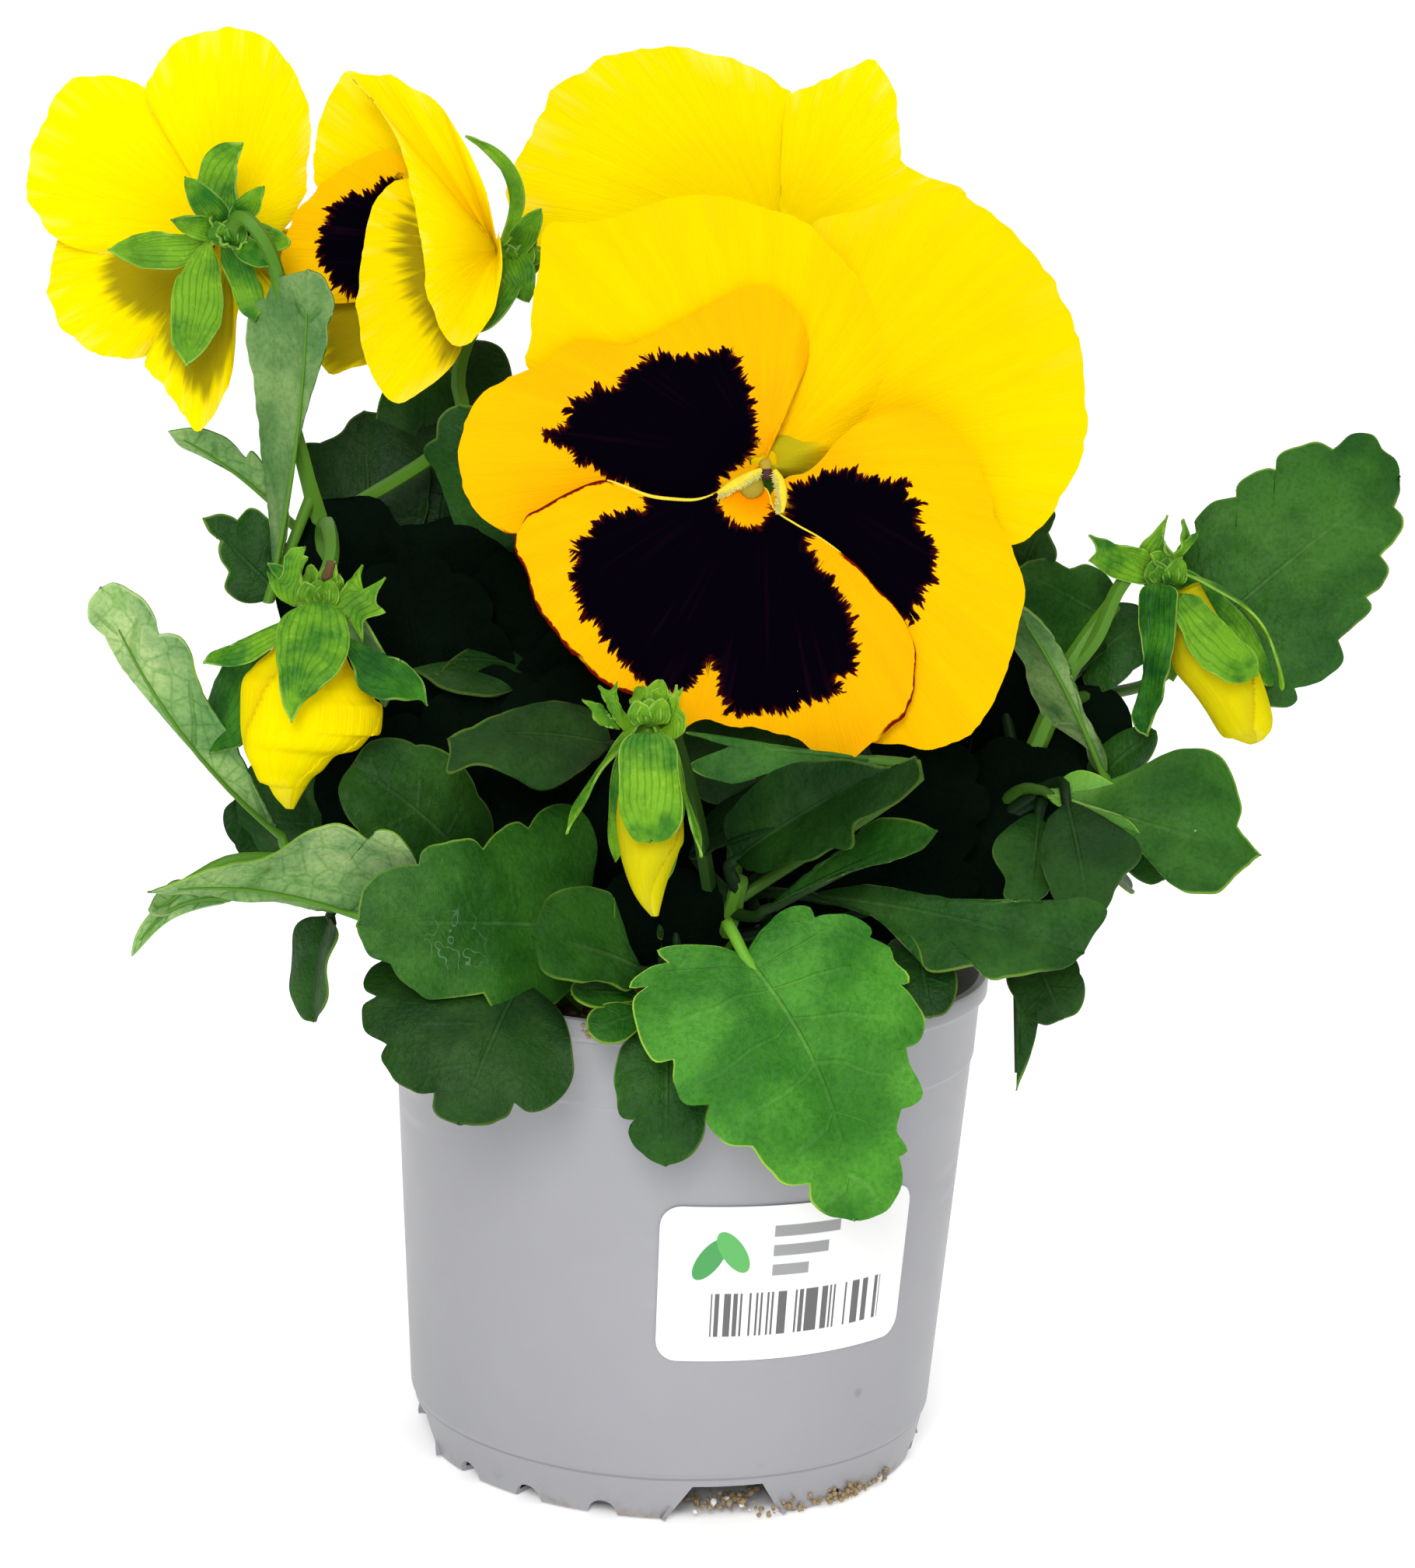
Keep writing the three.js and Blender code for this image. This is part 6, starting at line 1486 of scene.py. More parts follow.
def pot_channels(material):
    """The roofs and inner ends of the channels under the pot"""
    piece = Piece(material)
    line = channel_outline(0.5)[2:]
    reaches = np.linspace(CHANNEL_START - 0.5, FOOT_RADIUS - 0.4, 8)
    roof = np.array([[(x, -reach, max(z, 0.3)) for x, z in line] for reach in reaches])
    upwards = [(0.9, 0, 0.4), (0.5, 0, 0.85), (-0.5, 0, 0.85), (-0.9, 0, 0.4)]
    end = np.array([[(x * s, -CHANNEL_START + 0.5, z) for x in (-1, 0, 1)]
                    for s, z in ((CHANNEL_FOOT / 2, 0.3), (CHANNEL_TOP / 2, CHANNEL_HEIGHT))])
    for turn in CHANNEL_TURNS:
        for grid, faces in ((roof, upwards), (end, (0, 1.0, 0))):
            normals = np.broadcast_to(faces, grid.shape)
            piece.sheet(turned(grid, turn), turned(normals, turn), CHANNEL_WALL, 0, 0)
    piece.make("pot_channels", "pot", sharp=30)


def crumbs(piece, chance, count, where, sizes, finish, tones):
    """Small rough lumps at places from a function"""
    for number in range(count):
        size = chance.uniform(*sizes)
        ahead = (chance.uniform(-1, 1), chance.uniform(-1, 1), chance.uniform(-1, 1))
        piece.ball(
            where(chance), (size, size * chance.uniform(0.5, 1.3)), finish, ahead=ahead, rough=0.45,
            seed=number, steps=(2, 5), tone=chance.uniform(*tones))


def soil_fall(radius):
    """How far the soil lies below its crown"""
    return (radius / SOIL_RADIUS) ** 2 * 2


def soil(materials):
    piece = Piece(*materials)
    crown = SOIL_LEVEL + SOIL_CROWN
    profile = [(0, crown), *[(r, crown - soil_fall(r)) for r in range(2, SOIL_RADIUS + 1)],
               (48.6, SOIL_LEVEL - 2), (45, 12), (44, 9), (0, 9)]
    points, faces = lathe(profile[::-1], SOIL_SIDES)
    top = points[:, 2] > SOIL_LEVEL - 1.5
    points[:, 2] += top * (1.1 * waves(points, 7, 1) + 0.8 * waves(points, 2.6, 2))
    piece.add(points, faces, 0, tone=0.4)
    chance = random.Random(11)

    def over(chance):
        radius = SOIL_RADIUS * math.sqrt(chance.random())
        turn = chance.uniform(0, 2 * math.pi)
        height = SOIL_LEVEL + 1.6 - soil_fall(radius) + chance.uniform(-0.6, 0.9)
        return radius * math.cos(turn), radius * math.sin(turn), height

    crumbs(piece, chance, SOIL_CRUMBS, over, (0.5, 1.7), 0, (0, 1))
    crumbs(piece, chance, SOIL_GRAINS, over, (0.7, 1.8), 1, (0, 1))
    return piece.make("soil_bed", "soil", "soil", sharp=80)


def foot_dirt(materials):
    """Bits of soil that cling to the pot's foot, in its front channel and on its rim"""
    piece = Piece(*materials)
    chance = random.Random(5)

    def edge(chance):
        turn = math.radians(chance.triangular(18, 62, 44))
        height = abs(chance.gauss(0, 1.1)) + 0.5
        radius = FOOT_RADIUS + 0.2 + height * 0.2 + chance.uniform(-0.2, 0.5)
        return radius * math.sin(turn), -radius * math.cos(turn), height

    def hollow(chance):
        across = chance.triangular(-8, 9, 4)
        deep = chance.uniform(34, 43)
        return turned((across, -deep, abs(chance.gauss(0, 1.0)) + 0.6), CHANNEL_TURNS[0])

    def lip(chance):
        turn = math.radians(chance.gauss(-16.5, 1.0))
        radius = RIM_RADIUS + 0.05
        return radius * math.sin(turn), -radius * math.cos(turn), POT_HEIGHT - chance.uniform(0.6, 2.6)

    crumbs(piece, chance, 120, edge, (0.12, 0.6), 0, (0.3, 1))
    crumbs(piece, chance, 60, hollow, (0.2, 0.8), 0, (0.3, 1))
    crumbs(piece, chance, 7, hollow, (0.3, 0.8), 1, (0, 1))
    crumbs(piece, chance, 14, lip, (0.15, 0.5), 0, (0.2, 0.8))
    return piece.make("soil_bits", "soil", sharp=80)


def label(material, back):
    """A rounded sticker that follows the pot's wall"""
    piece = Piece(material, back)
    rows, columns = 26, 60
    s = np.linspace(-1, 1, columns)[None, :]
    t = np.linspace(-1, 1, rows)[:, None]
    s = np.sign(s) * (1 - (1 - np.abs(s)) ** 1.5)
    half = LABEL_WIDTH / 2
    inset = np.maximum(0, np.abs(s) * half - (half - LABEL_CORNER)) / LABEL_CORNER
    tall = LABEL_TALL / 2 - LABEL_CORNER * (1 - np.sqrt(np.maximum(0, 1 - inset ** 2)))
    height = LABEL_HEIGHT + t * tall
    angle = math.radians(LABEL_TURN) + s * half / wall_radius(LABEL_HEIGHT) + 0 * t
    radius = wall_radius(height) + LABEL_STAND
    normals = np.stack([np.sin(angle), -np.cos(angle), 0 * angle], axis=-1)
    grid = normals * radius[..., None]
    grid[..., 2] = height
    piece.sheet(
        grid, normals, LABEL_THICKNESS, 0, 1, along=s * half + 0 * t, across=t * tall + 0 * s,
        margin=LABEL_TALL / 2 - np.abs(t * tall))
    return piece.make("label_sheet", "label", "label", sharp=60)


# Materials. A material is written as sockets that feed one another.
class Nodes:
    """Shader nodes of one tree, each made by a call that gives back the socket it feeds on"""

    def __init__(self, tree):
        self.tree = tree

    def fill(self, socket, value):
        if isinstance(value, bpy.types.NodeSocket):
            self.tree.links.new(value, socket)
        else:
            socket.default_value = value

    def node(self, kind, sockets=None, out=0, **settings):
        node = self.tree.nodes.new("ShaderNode" + kind)
        for name, value in settings.items():
            setattr(node, name, value)
        for name, value in (sockets or {}).items():
            self.fill(node.inputs[name], value)
        return node.outputs[out] if node.outputs else None

    def maths(self, operation, a, b=0.0, c=0.0, clamp=False):
        return self.node("Math", {0: a, 1: b, 2: c}, operation=operation, use_clamp=clamp)

    def times(self, a, b):
        return self.maths("MULTIPLY", a, b)

    def plus(self, a, b, clamp=False):
        return self.maths("ADD", a, b, clamp=clamp)

    def minus(self, a, b):
        return self.maths("SUBTRACT", a, b)

    def apart(self, a, b):
        return self.maths("ABSOLUTE", self.minus(a, b))

    def scaled(self, a, size, start):
        return self.maths("MULTIPLY_ADD", a, size, start)

    def step(self, low, high, value, start=0.0, end=1.0):
        """Start below low and end above high, with a smooth change between"""
        limits = {"From Min": low, "From Max": high, "To Min": start, "To Max": end}
        return self.node("MapRange", {"Value": value, **limits}, interpolation_type="SMOOTHSTEP")


class Material(Nodes):
    def __init__(self, name):
        self.made = bpy.data.materials.new(name)
        self.made.use_nodes = True
        super().__init__(self.made.node_tree)
        self.tree.nodes.clear()

    def kept(self, name):
        return self.node("Attribute", out="Fac", attribute_name=name)

    def place(self):
        return self.node("TexCoord", out="Object")

    def point(self, x=0.0, y=0.0, z=0.0):
        return self.node("CombineXYZ", {0: x, 1: y, 2: z})

    def distance(self, centre):
        return self.node("VectorMath", {0: self.place(), 1: centre}, out="Value", operation="DISTANCE")

    def noise(self, scale, detail=2.0, rough=0.5, at=None):
        sockets = {"Vector": at or self.place(), "Scale": scale, "Detail": detail, "Roughness": rough}
        return self.node("TexNoise", sockets, out="Fac")

    def cells(self, scale, feature="F1"):
        sockets = {"Vector": self.place(), "Scale": scale}
        return self.node("TexVoronoi", sockets, out="Distance", feature=feature)

    def ramp(self, share, first, middle, last):
        node = self.tree.nodes.new("ShaderNodeValToRGB")
        stops = node.color_ramp.elements
        stops[0].color = (*first, 1)
        stops[1].color = (*last, 1)
        stops.new(0.5).color = (*middle, 1)
        self.fill(node.inputs[0], share)
        return node.outputs[0]

    def colour(self, value):
        return value if isinstance(value, bpy.types.NodeSocket) else (*value, 1)

    def blend(self, share, first, second, way="MIX"):
        sockets = {0: share, 6: self.colour(first), 7: self.colour(second)}
        return self.node("Mix", sockets, out=2, data_type="RGBA", blend_type=way)

    def tinted(self, colour, tint):
        return self.blend(1.0, colour, tint, "MULTIPLY")

    def bump(self, height, strength, distance):
        sockets = {"Height": height, "Strength": strength, "Distance": distance}
        return self.node("Bump", sockets, out="Normal")

    def finish(self, colour, rough, normal=None, shine=0.5, through=None, share=0.0, **more):
        """The surface, a share of which lets light through in a colour of its own"""
        facing = {"Normal": normal} if normal else {}
        sockets = {"Base Color": self.colour(colour), "Roughness": rough, "Specular IOR Level": shine}
        surface = self.node("BsdfPrincipled", {**sockets, **more, **facing})
        if share:
            thin = self.node("BsdfTranslucent", {"Color": self.colour(through), **facing})
            surface = self.node("MixShader", {0: share, 1: surface, 2: thin})
        self.node("OutputMaterial", {"Surface": surface})
        return self.made


# Colours, as linear red, green and blue
LIT_BASE = (0.18, 0.46, 0.06)
MINED_TRACK = (0.3, 0.42, 0.32)
LEAF_SPECK = (0.5, 0.55, 0.45)
YOUNG_SEPAL = (0.18, 0.4, 0.015)
SEPAL_VEIN = (0.02, 0.12, 0.008)
SEPAL_MARGIN = (0.36, 0.6, 0.1)
DRY_SEPAL = (0.13, 0.075, 0.03)
DARK_STEM = (0.004, 0.02, 0.004)
PALE_STEM = (0.15, 0.42, 0.025)
PETAL_RAY = (0.93, 0.55, 0.0)
PALE_EDGE_STREAK = (0.97, 0.86, 0.08)
GREEN_CLAW_AND_SHADE = (0.42, 0.42, 0.012)
ORANGE_CLAW = (0.96, 0.3, 0.0)
BLOTCH_EDGE = (0.06, 0.004, 0.003)
BLOTCH_HEART = (0.0014, 0.0004, 0.003)
BLOTCH_STREAK = (0.014, 0.002, 0.011)
RIM_LINE = (0.16, 0.006, 0.002)
BACK_SHADOW = (0.27, 0.2, 0.006)
DARK_SOIL = (0.012, 0.007, 0.004)
BROWN_SOIL = (0.07, 0.04, 0.02)
DRY_SOIL = (0.16, 0.085, 0.035)
RING_LIGHT = (0.6, 0.6, 0.62)
SEAM_DARK = (0.12, 0.12, 0.13)
POT_DIRT = (0.2, 0.14, 0.08)
POT_SPOT = (0.17, 0.14, 0.12)
BAR_INK = (0.03, 0.03, 0.035)
STRIP_INK = (0.1, 0.1, 0.11)
LEMON = (0.96, 0.84, 0.0)
GOLD = (0.96, 0.64, 0.0)
ORANGE = (0.96, 0.46, 0.002)
POT_GREY = np.array((0.272, 0.272, 0.295))
POT_PALE = np.array((0.325, 0.325, 0.344))
LABEL_WHITE = (0.86, 0.86, 0.85)
LABEL_BRIGHT = (0.9, 0.9, 0.9)

# The sign on the label: two leaves, each with its middle, its lean in radians and its green
LABEL_LEAVES = (
    (-15.0, 4.4, 0.6, (0.06, 0.3, 0.08)),
    (-11.2, 5.6, -0.6, (0.1, 0.4, 0.1)),
)
LABEL_LEAF_SIZE = (1.9, 4.2)

# Grey strips and the field of bars on the label: bottom, top, left and right in millimetres from
# its middle
LABEL_STRIPS = (
    (8.0, 10.0, -4.5, 7.5),
    (4.6, 6.6, -4.5, 5.5),
    (1.2, 3.2, -4.5, 2.0),
)
LABEL_BARS = (-9.2, -1.6, -14.5, 17.5)
LABEL_BARS_PER_MM = 2.6


def leaf_finish(name, dark, bright, vein, edge, rough, shine, through, share, vein_share, net_size,
                net_share):
    """Green blade: midrib, side veins that run out to the lobes, a faint net between and a pale edge

    Vein and through are tints. Through and share are the light that comes through the blade.
    The pale edge is partly the blade's own paler margin and partly a painted highlight, and the
    blade also gets a painted sheen and painted light and shade at its base.
    """
    m = Material(name)
    along, across, tone = m.kept("along"), m.kept("across"), m.kept("tone")
    part = m.maths("ABSOLUTE", across)
    line = m.plus(m.kept("veins"), m.scaled(m.noise(90.0, 2.0), 0.4, -0.2))
    near = m.apart(m.maths("FRACT", line), 0.5)
    side = m.times(m.step(0.07, 0.01, near), m.step(0.95, 0.4, part))
    rib = m.times(m.step(0.55, 0.2, m.maths("ABSOLUTE", m.kept("edge"))), m.step(1.0, 0.5, along))
    net = m.step(0.08, 0.01, m.cells(net_size, "DISTANCE_TO_EDGE"))
    veins = m.maths("MAXIMUM", rib, m.times(side, m.scaled(m.step(0.5, 0.9, tone), 0.35, net_share)))
    veins_all = m.maths("MAXIMUM", veins, m.times(net, m.times(m.step(0.38, 0.62, tone), net_share)))
    fine = m.noise(1300.0, 3.0, 0.6)
    colour = m.blend(tone, dark, bright)
    # Painted sheen: lighter patches from noise stand in for gloss on the blade
    painted_sheen = m.tinted(colour, (1.6, 1.25, 1.6))
    colour = m.blend(m.step(0.45, 0.75, m.noise(32.0, 2.0)), colour, painted_sheen)
    darker = m.tinted(colour, (0.4, 0.58, 0.5))
    colour = m.blend(m.step(0.36, 0.64, m.noise(70.0, 4.0, 0.6)), colour, darker)
    darker = m.tinted(colour, (0.45, 0.6, 0.5))
    colour = m.blend(m.times(m.step(0.4, 0.7, fine), 0.5), colour, darker)
    # Painted light at the base: a highlight on forms in LIT_BASES, and shade towards the base of darker
    # leaves
    lit = m.step(0.0, -1.0, m.kept("blotch"))
    painted_base_shade = m.times(m.step(0.5, 0.0, along), m.step(0.95, 0.7, tone))
    painted_base_shade = m.times(painted_base_shade, m.minus(1.0, lit))
    colour = m.blend(m.times(painted_base_shade, 0.8), colour, m.tinted(colour, (0.2, 0.35, 0.3)))
    colour = m.blend(m.times(lit, 0.9), colour, LIT_BASE)
    veined = m.tinted(colour, vein)
    colour = m.blend(m.times(veins_all, vein_share), colour, veined)
    # Pale edge: partly the blade's own paler margin, partly a painted highlight where light catches it
    pale = m.times(m.step(0.42, 0.12, m.kept("margin")), m.times(tone, 0.9))
    pale = m.times(pale, m.step(0.42, 0.6, m.noise(45.0, 2.0)))
    colour = m.blend(pale, colour, edge)
    track = m.apart(m.noise(330.0, 1.0), 0.5)
    track = m.times(m.step(0.014, 0.004, track), m.step(0.0065, 0.0035, m.distance(MINED_PLACE)))
    colour = m.blend(m.times(track, 0.3), colour, MINED_TRACK)
    specks = m.times(m.step(0.035, 0.02, m.cells(150.0)), m.step(0.55, 0.62, m.noise(30.0)))
    colour = m.blend(m.times(specks, 0.6), colour, LEAF_SPECK)
    height = m.scaled(m.noise(230.0, 2.0), 1.6, m.times(fine, 0.5))
    height = m.minus(height, m.scaled(net, 0.06, veins))
    normal = m.bump(height, 0.6, 0.0007)
    glow = m.tinted(colour, through)
    return m.finish(colour, rough, normal, shine, glow, share)


def sepal_finish(name, base, pale, rough):
    """Green of sepals and stalk cups: cloudy, with faint lines along it, and tan where it is dry"""
    m = Material(name)
    along, across, tone = m.kept("along"), m.kept("across"), m.kept("tone")
    waver = m.scaled(m.noise(150.0, 2.0), 0.35, across)
    line = m.apart(m.maths("FRACT", m.times(waver, 4.5)), 0.5)
    veins = m.times(m.step(0.16, 0.02, line), m.step(1.0, 0.6, along))
    colour = m.blend(m.step(0.32, 0.68, m.noise(120.0, 4.0, 0.65)), base, pale)
    warm = m.times(m.step(0.4, 0.7, m.noise(60.0, 2.0)), m.step(0.0, 0.8, tone))
    colour = m.blend(warm, colour, YOUNG_SEPAL)
    # Painted shade: tones below zero darken shaded sepals, the calyx cups and sepals with a low sepal_tone
    dim = m.tinted(colour, (0.25, 0.5, 0.7))
    colour = m.blend(m.step(0.0, -0.4, tone), colour, dim)
    colour = m.blend(m.times(veins, 0.2), colour, SEPAL_VEIN)
    pores = m.times(m.step(0.55, 0.75, m.noise(900.0, 2.0)), 0.35)
    colour = m.blend(pores, colour, m.tinted(colour, (2.2, 1.5, 2.2)))
    pale_edge = m.times(m.step(0.3, 0.08, m.kept("margin")), m.step(0.35, 0.6, m.noise(200.0, 2.0)))
    colour = m.blend(m.times(pale_edge, 0.6), colour, SEPAL_MARGIN)
    colour = m.blend(m.kept("blotch"), colour, DRY_SEPAL)
    height = m.minus(m.noise(1200.0, 3.0), veins)
    normal = m.bump(height, 0.5, 0.0005)
    return m.finish(colour, rough, normal, 0.12, m.tinted(colour, (1.5, 1.3, 0.4)), 0.22)


def stem_finish():
    m = Material("stem")
    streak = m.noise(3.0, 2.0, at=m.point(m.times(m.kept("across"), 2.0), m.kept("along")))
    # Tone runs from dark green, which paints the shade on stalks among the inner leaves, to pale green
    colour = m.blend(m.kept("tone"), DARK_STEM, PALE_STEM)
    colour = m.blend(m.times(streak, 0.4), colour, m.tinted(colour, (1.6, 1.3, 1.6)))
    normal = m.bump(m.noise(1500.0, 2.0), 0.25, 0.0003)
    return m.finish(colour, 0.45, normal, 0.2, m.tinted(colour, (1.4, 1.3, 0.5)), 0.12)


def petal_finish(name, printed):
    """Petal: colour deepens with tone, fine rays, and on the front a dark blotch with a jagged edge"""
    m = Material(name)
    reach, angle, tone = m.kept("along"), m.kept("across"), m.kept("tone")
    soft = m.noise(28.0, 3.0)
    rays = m.noise(1.0, 3.0, at=m.point(m.times(angle, 1.6), m.times(reach, 1.5), tone))
    fine = m.noise(1.0, 2.0, at=m.point(m.times(angle, 9.0), m.times(reach, 2.5), tone))
    warmth = m.plus(tone, m.times(m.minus(soft, 0.5), 0.4))
    warmth = m.plus(warmth, m.times(m.minus(rays, 0.5), 0.3))
    warmth = m.plus(warmth, m.times(m.step(0.75, 0.2, reach), 0.15), clamp=True)
    colour = m.ramp(warmth, LEMON, GOLD, ORANGE)
    colour = m.blend(m.times(m.step(0.5, 0.8, fine), 0.12), colour, PETAL_RAY)
    # Pale streaks near the edge of the paler petals
    pale_streaks = m.times(m.step(0.8, 1.0, reach), m.step(0.45, 0.75, rays))
    colour = m.blend(m.times(pale_streaks, m.step(0.5, 0.05, tone)), colour, PALE_EDGE_STREAK)
    claw = m.kept("veins")
    # Green base: the petal's own green, partly painted shade in the throat's recess and the bud's creases
    colour = m.blend(m.times(m.step(0.0, 1.0, claw), 0.75), colour, GREEN_CLAW_AND_SHADE)
    colour = m.blend(m.step(0.0, -1.0, claw), colour, ORANGE_CLAW)
    if printed:
        margin, blotch, arc = m.kept("margin"), m.kept("blotch"), m.kept("spikes")
        arc = m.scaled(blotch, 0.25, arc)
        lumps = m.noise(1.0, 1.0, at=m.point(m.times(arc, 0.3), tone))
        spikes = m.noise(1.0, 1.0, at=m.point(m.times(arc, 0.95), m.times(blotch, 0.2), tone))
        hairs = m.noise(1.0, 1.0, at=m.point(m.times(arc, 2.6), m.times(blotch, 0.5), tone))
        shift = m.times(m.minus(lumps, 0.5), 2.2)
        shift = m.plus(shift, m.times(m.minus(spikes, 0.5), 3.6))
        shift = m.plus(shift, m.times(m.minus(hairs, 0.5), 2.4))
        inside = m.plus(blotch, shift)
        dark = m.step(-0.2, 0.15, inside)
        lead = m.blend(m.step(0.05, 1.0, inside), BLOTCH_EDGE, BLOTCH_HEART)
        streaks = m.times(m.step(0.55, 0.75, rays), m.step(0.25, 0.8, reach))
        lead = m.blend(m.times(streaks, 0.6), lead, BLOTCH_STREAK)
        colour = m.blend(dark, colour, lead)
        ragged = m.scaled(m.noise(650.0, 2.0), 1.4, margin)
        line = m.times(m.step(1.5, 1.15, ragged), m.kept("edge"))
        line = m.times(line, m.step(0.2, 0.34, m.noise(140.0, 2.0)))
        colour = m.blend(line, colour, RIM_LINE)
    else:
        cast = m.plus(m.kept("blotch"), m.scaled(rays, 9.0, -4.5))
        colour = m.blend(m.times(m.step(-1.5, 2.5, cast), 0.8), colour, BACK_SHADOW)
    height = m.plus(fine, m.times(rays, 1.5))
    normal = m.bump(height, 0.35, 0.0006)
    return m.finish(colour, 0.65, normal, 0.006, m.tinted(colour, (1.0, 0.95, 0.4)), 0.25)


def plain_finish(name, first, second, size, rough, shine=0.4, share=0.0, bump=0.3):
    m = Material(name)
    colour = m.blend(m.noise(size, 3.0), first, second)
    colour = m.blend(m.times(m.kept("tone"), 0.5), colour, second)
    normal = m.bump(m.noise(size * 4, 3.0), bump, 0.0003)
    return m.finish(colour, rough, normal, shine, second, share)


def soil_finish():
    m = Material("soil")
    colour = m.blend(m.noise(500.0, 4.0), DARK_SOIL, BROWN_SOIL)
    colour = m.blend(m.times(m.kept("tone"), 0.5), colour, DRY_SOIL)
    normal = m.bump(m.noise(1400.0, 4.0), 0.8, 0.0008)
    return m.finish(colour, 0.92, normal, 0.2)


def pot_finish(name, shade):
    """Thin formed plastic: cloudy grey, fine grain, scuffs and dirt near the foot"""
    m = Material(name)
    colour = m.blend(m.noise(22.0, 4.0, 0.6), POT_GREY * shade, POT_PALE * shade)
    height = m.node("SeparateXYZ", {0: m.place()}, out="Z")
    ring = m.maths("FRACT", m.scaled(m.noise(20.0), 0.15, m.times(height, 190.0)))
    ring = m.times(m.step(0.25, 0.05, m.apart(ring, 0.5)), m.step(0.55, 0.7, m.noise(35.0, 2.0)))
    ring = m.times(ring, m.step(0.02, 0.05, height))
    colour = m.blend(m.times(ring, 0.18), colour, RING_LIGHT)
    seam = m.apart(height, m.scaled(m.noise(30.0), 0.0006, 0.0075))
    colour = m.blend(m.times(m.step(0.00035, 0.0001, seam), 0.45), colour, SEAM_DARK)
    low = m.times(m.step(0.006, 0.0, height), m.step(0.45, 0.75, m.noise(120.0, 4.0, 0.7)))
    colour = m.blend(low, colour, POT_DIRT)
    spots = m.times(m.step(0.13, 0.07, m.cells(85.0)), m.step(0.6, 0.66, m.noise(26.0, 1.0)))
    colour = m.blend(m.times(spots, 0.5), colour, POT_SPOT)
    scuff = m.noise(1.0, 3.0, at=m.node("Mapping", {"Vector": m.place(), "Scale": (60, 60, 900)}))
    rough = m.scaled(m.noise(70.0, 3.0), 0.16, 0.3)
    normal = m.bump(m.plus(m.noise(1600.0, 2.0), m.times(scuff, 0.6)), 0.12, 0.0003)
    return m.finish(colour, rough, normal, 0.5)


def label_finish():
    """White sticker with bars of uneven width, grey strips and a two-leaf sign, and nothing to read"""
    m = Material("label_print")
    x, y = m.kept("along"), m.kept("across")

    def between(value, low, high, soft=0.12):
        return m.times(m.step(low - soft, low + soft, value), m.step(high + soft, high - soft, value))

    def area(low, high, left, right):
        return m.times(between(y, low, high), between(x, left, right))

    slot = m.maths("FLOOR", m.times(x, LABEL_BARS_PER_MM))
    bars = m.node("TexWhiteNoise", {"W": slot}, noise_dimensions="1D")
    bars = m.times(m.maths("GREATER_THAN", bars, 0.47), area(*LABEL_BARS))
    strips = 0.0
    for strip in LABEL_STRIPS:
        strips = m.maths("MAXIMUM", strips, area(*strip))
    colour = m.blend(m.noise(60.0, 3.0), LABEL_WHITE, LABEL_BRIGHT)
    colour = m.blend(m.times(bars, 0.9), colour, BAR_INK)
    colour = m.blend(m.times(strips, 0.75), colour, STRIP_INK)
    for middle_x, middle_y, lean, green in LABEL_LEAVES:
        dx, dy = m.minus(x, middle_x), m.minus(y, middle_y)
        long = m.plus(m.times(dx, math.sin(lean)), m.times(dy, math.cos(lean)))
        wide = m.minus(m.times(dx, math.cos(lean)), m.times(dy, math.sin(lean)))
        shares = [m.maths("POWER", m.maths("DIVIDE", value, size), 2.0)
                  for value, size in zip((wide, long), LABEL_LEAF_SIZE)]
        colour = m.blend(m.step(1.05, 0.95, m.plus(*shares)), colour, green)
    normal = m.bump(m.noise(700.0, 3.0), 0.08, 0.0002)
    return m.finish(colour, 0.38, normal, 0.4)


# The plant and its pot
LEAF_UPPER, LEAF_UNDER, STEM, SEPAL_UPPER, SEPAL_UNDER, LEAF_SHADE = range(6)
PETAL_FRONT, PETAL_BACK, CHEEK, HAIR, STIGMA, HOLLOW_SHADE = range(6)

greens = (
    leaf_finish(
        "leaf_upper", dark=(0.003, 0.014, 0.004), bright=(0.083, 0.335, 0.027), vein=(2.6, 1.55, 3.5),
        edge=(0.4, 0.62, 0.06), rough=0.4, shine=0.12, through=(1.3, 1.4, 0.4), share=0.2,
        vein_share=0.5, net_size=520.0, net_share=0.18),
    leaf_finish(
        "leaf_under", dark=(0.08, 0.17, 0.04), bright=(0.42, 0.64, 0.22), vein=(0.5, 0.72, 0.42),
        edge=(0.5, 0.65, 0.3), rough=0.6, shine=0.12, through=(1.0, 1.3, 0.5), share=0.18,
        vein_share=0.8, net_size=240.0, net_share=0.75),
    stem_finish(),
    sepal_finish("sepal_upper", (0.02, 0.15, 0.01), (0.18, 0.42, 0.015), 0.45),
    sepal_finish("sepal_under", (0.03, 0.17, 0.012), (0.17, 0.4, 0.03), 0.5),
    # A dark copy of the leaf finish for leaves deep in the plant: painted shade
    leaf_finish(
        "leaf_shade", dark=(0.0012, 0.005, 0.002), bright=(0.01, 0.03, 0.006), vein=(1.6, 1.4, 1.6),
        edge=(0.05, 0.1, 0.02), rough=0.7, shine=0.02, through=(1.0, 1.2, 0.5), share=0.04,
        vein_share=0.3, net_size=520.0, net_share=0.2),
)
yellows = (
    petal_finish("petal_front", True),
    petal_finish("petal_back", False),
    plain_finish("cheek", (0.72, 0.52, 0.008), (0.93, 0.78, 0.06), 500.0, 0.5, 0.1, 0.2),
    plain_finish("hair", (0.75, 0.72, 0.15), (0.92, 0.9, 0.42), 900.0, 0.5, 0.1, 0.3),
    plain_finish("stigma", (0.2, 0.2, 0.01), (0.5, 0.32, 0.03), 600.0, 0.5, 0.1, 0.15),
    plain_finish("hollow", (0.03, 0.004, 0.008), (0.06, 0.01, 0.01), 600.0, 0.7),
)
for stem_name in STEMS:
    leafy_stem(stem_name, greens)
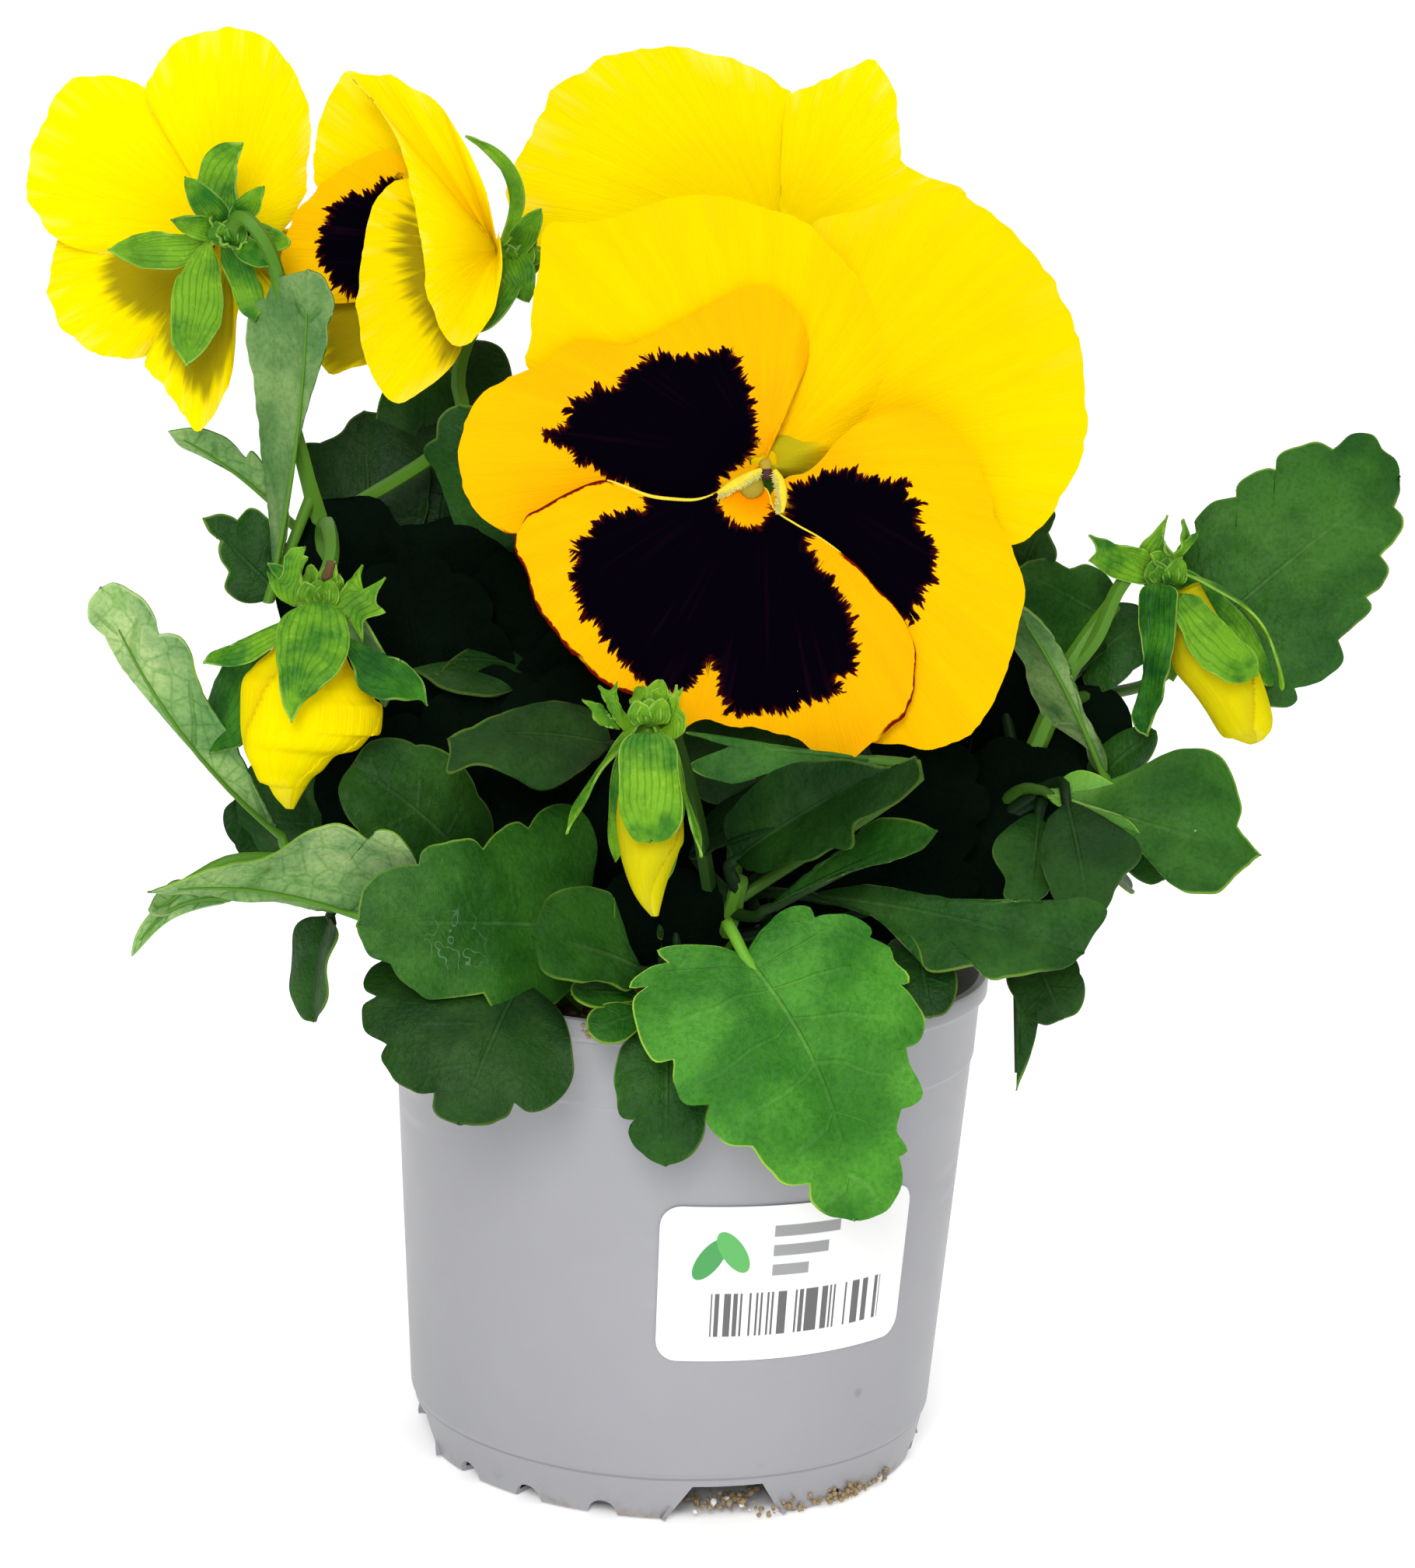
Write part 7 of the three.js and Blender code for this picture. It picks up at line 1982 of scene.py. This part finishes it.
for bloom_name in BLOOMS:
    petals(bloom_name, yellows)
for bud_name in BUDS:
    furled(bud_name, yellows)

earth = soil_finish()
grit = plain_finish("perlite", (0.6, 0.58, 0.54), (0.85, 0.84, 0.8), 700.0, 0.8, bump=0.7)
pot(pot_finish("pot_plastic", 1.0))
# The channels under the pot take a darker copy of the plastic: painted shade in the hollows
pot_channels(pot_finish("pot_hollow", 0.85))
soil((earth, grit))
foot_dirt((plain_finish("dirt", (0.14, 0.09, 0.045), (0.42, 0.32, 0.18), 600.0, 0.9, 0.2, bump=0.8), grit))
label(label_finish(), plain_finish("label_back", (0.7, 0.7, 0.69), (0.8, 0.8, 0.8), 300.0, 0.6))


# Stage
def floor():
    corners = [
        (x * FLOOR_REACH, y * FLOOR_REACH, FLOOR_DROP) for x, y in ((-1, -1), (1, -1), (1, 1), (-1, 1))]
    mesh = new_mesh("floor", corners, [(0, 1, 2, 3)])
    m = Material("floor")
    colour = m.blend(m.noise(3.0, 2.0), (0.9, 0.9, 0.9), (0.92, 0.92, 0.92))
    # No glow inside the pot's foot: a painted shadow under the pot, seen through its notches
    strength = m.times(m.step(*FLOOR_GLOW_START, m.distance((0, 0, 0))), FLOOR_GLOW)
    glow = {"Emission Color": (1, 1, 1, 1), "Emission Strength": strength}
    mesh.materials.append(m.finish(colour, 0.85, shine=0.1, **glow))
    link("floor", mesh)


def lamp(name, place, aim, size, power):
    data = bpy.data.lights.new(name, "AREA")
    data.shape = "RECTANGLE"
    data.size, data.size_y = size
    data.energy = power
    made = link(name, data)
    made.location = place
    made.rotation_euler = (Vector(aim) - Vector(place)).to_track_quat("-Z", "Y").to_euler()


def camera():
    yaw, pitch, roll = (math.radians(angle) for angle in CAMERA_AIM)
    ahead = np.array((math.sin(yaw) * math.cos(pitch), math.cos(yaw) * math.cos(pitch), math.sin(pitch)))
    level = np.array((math.cos(yaw), -math.sin(yaw), 0.0))
    upright = np.cross(level, ahead)
    right = level * math.cos(roll) + upright * math.sin(roll)
    up = upright * math.cos(roll) - level * math.sin(roll)
    data = bpy.data.cameras.new("camera")
    data.sensor_fit = "VERTICAL"
    data.sensor_height = 36
    data.lens = CAMERA_LENS
    made = link("camera", data)
    turn = Matrix((right, up, -ahead)).transposed().to_4x4()
    made.matrix_world = Matrix.Translation(Vector(CAMERA_PLACE) * MM) @ turn
    bpy.context.scene.camera = made


def sky():
    """White light that is weaker from high on the two sides, so that round things darken there"""
    world = bpy.data.worlds.new("world")
    world.use_nodes = True
    n = Nodes(world.node_tree)
    view = n.node("TexCoord", out="Generated")
    aside = n.apart(n.node("SeparateXYZ", {0: view}, out="X"), SKY_SHIFT)
    high = n.node("SeparateXYZ", {0: view}, out="Z")
    dark = n.times(n.step(*SKY_SIDE_RANGE, aside), n.step(*SKY_LOW_RANGE, high))
    back = world.node_tree.nodes["Background"]
    n.fill(back.inputs["Color"], (1, 1, 1, 1))
    n.fill(back.inputs["Strength"], n.step(0, 1, dark, SKY_STRENGTH, SKY_SIDES))
    bpy.context.scene.world = world


floor()
for lamp_name, lamp_values in LAMPS.items():
    lamp(lamp_name, *lamp_values)
camera()
sky()
bpy.context.scene.view_settings.view_transform = "Standard"
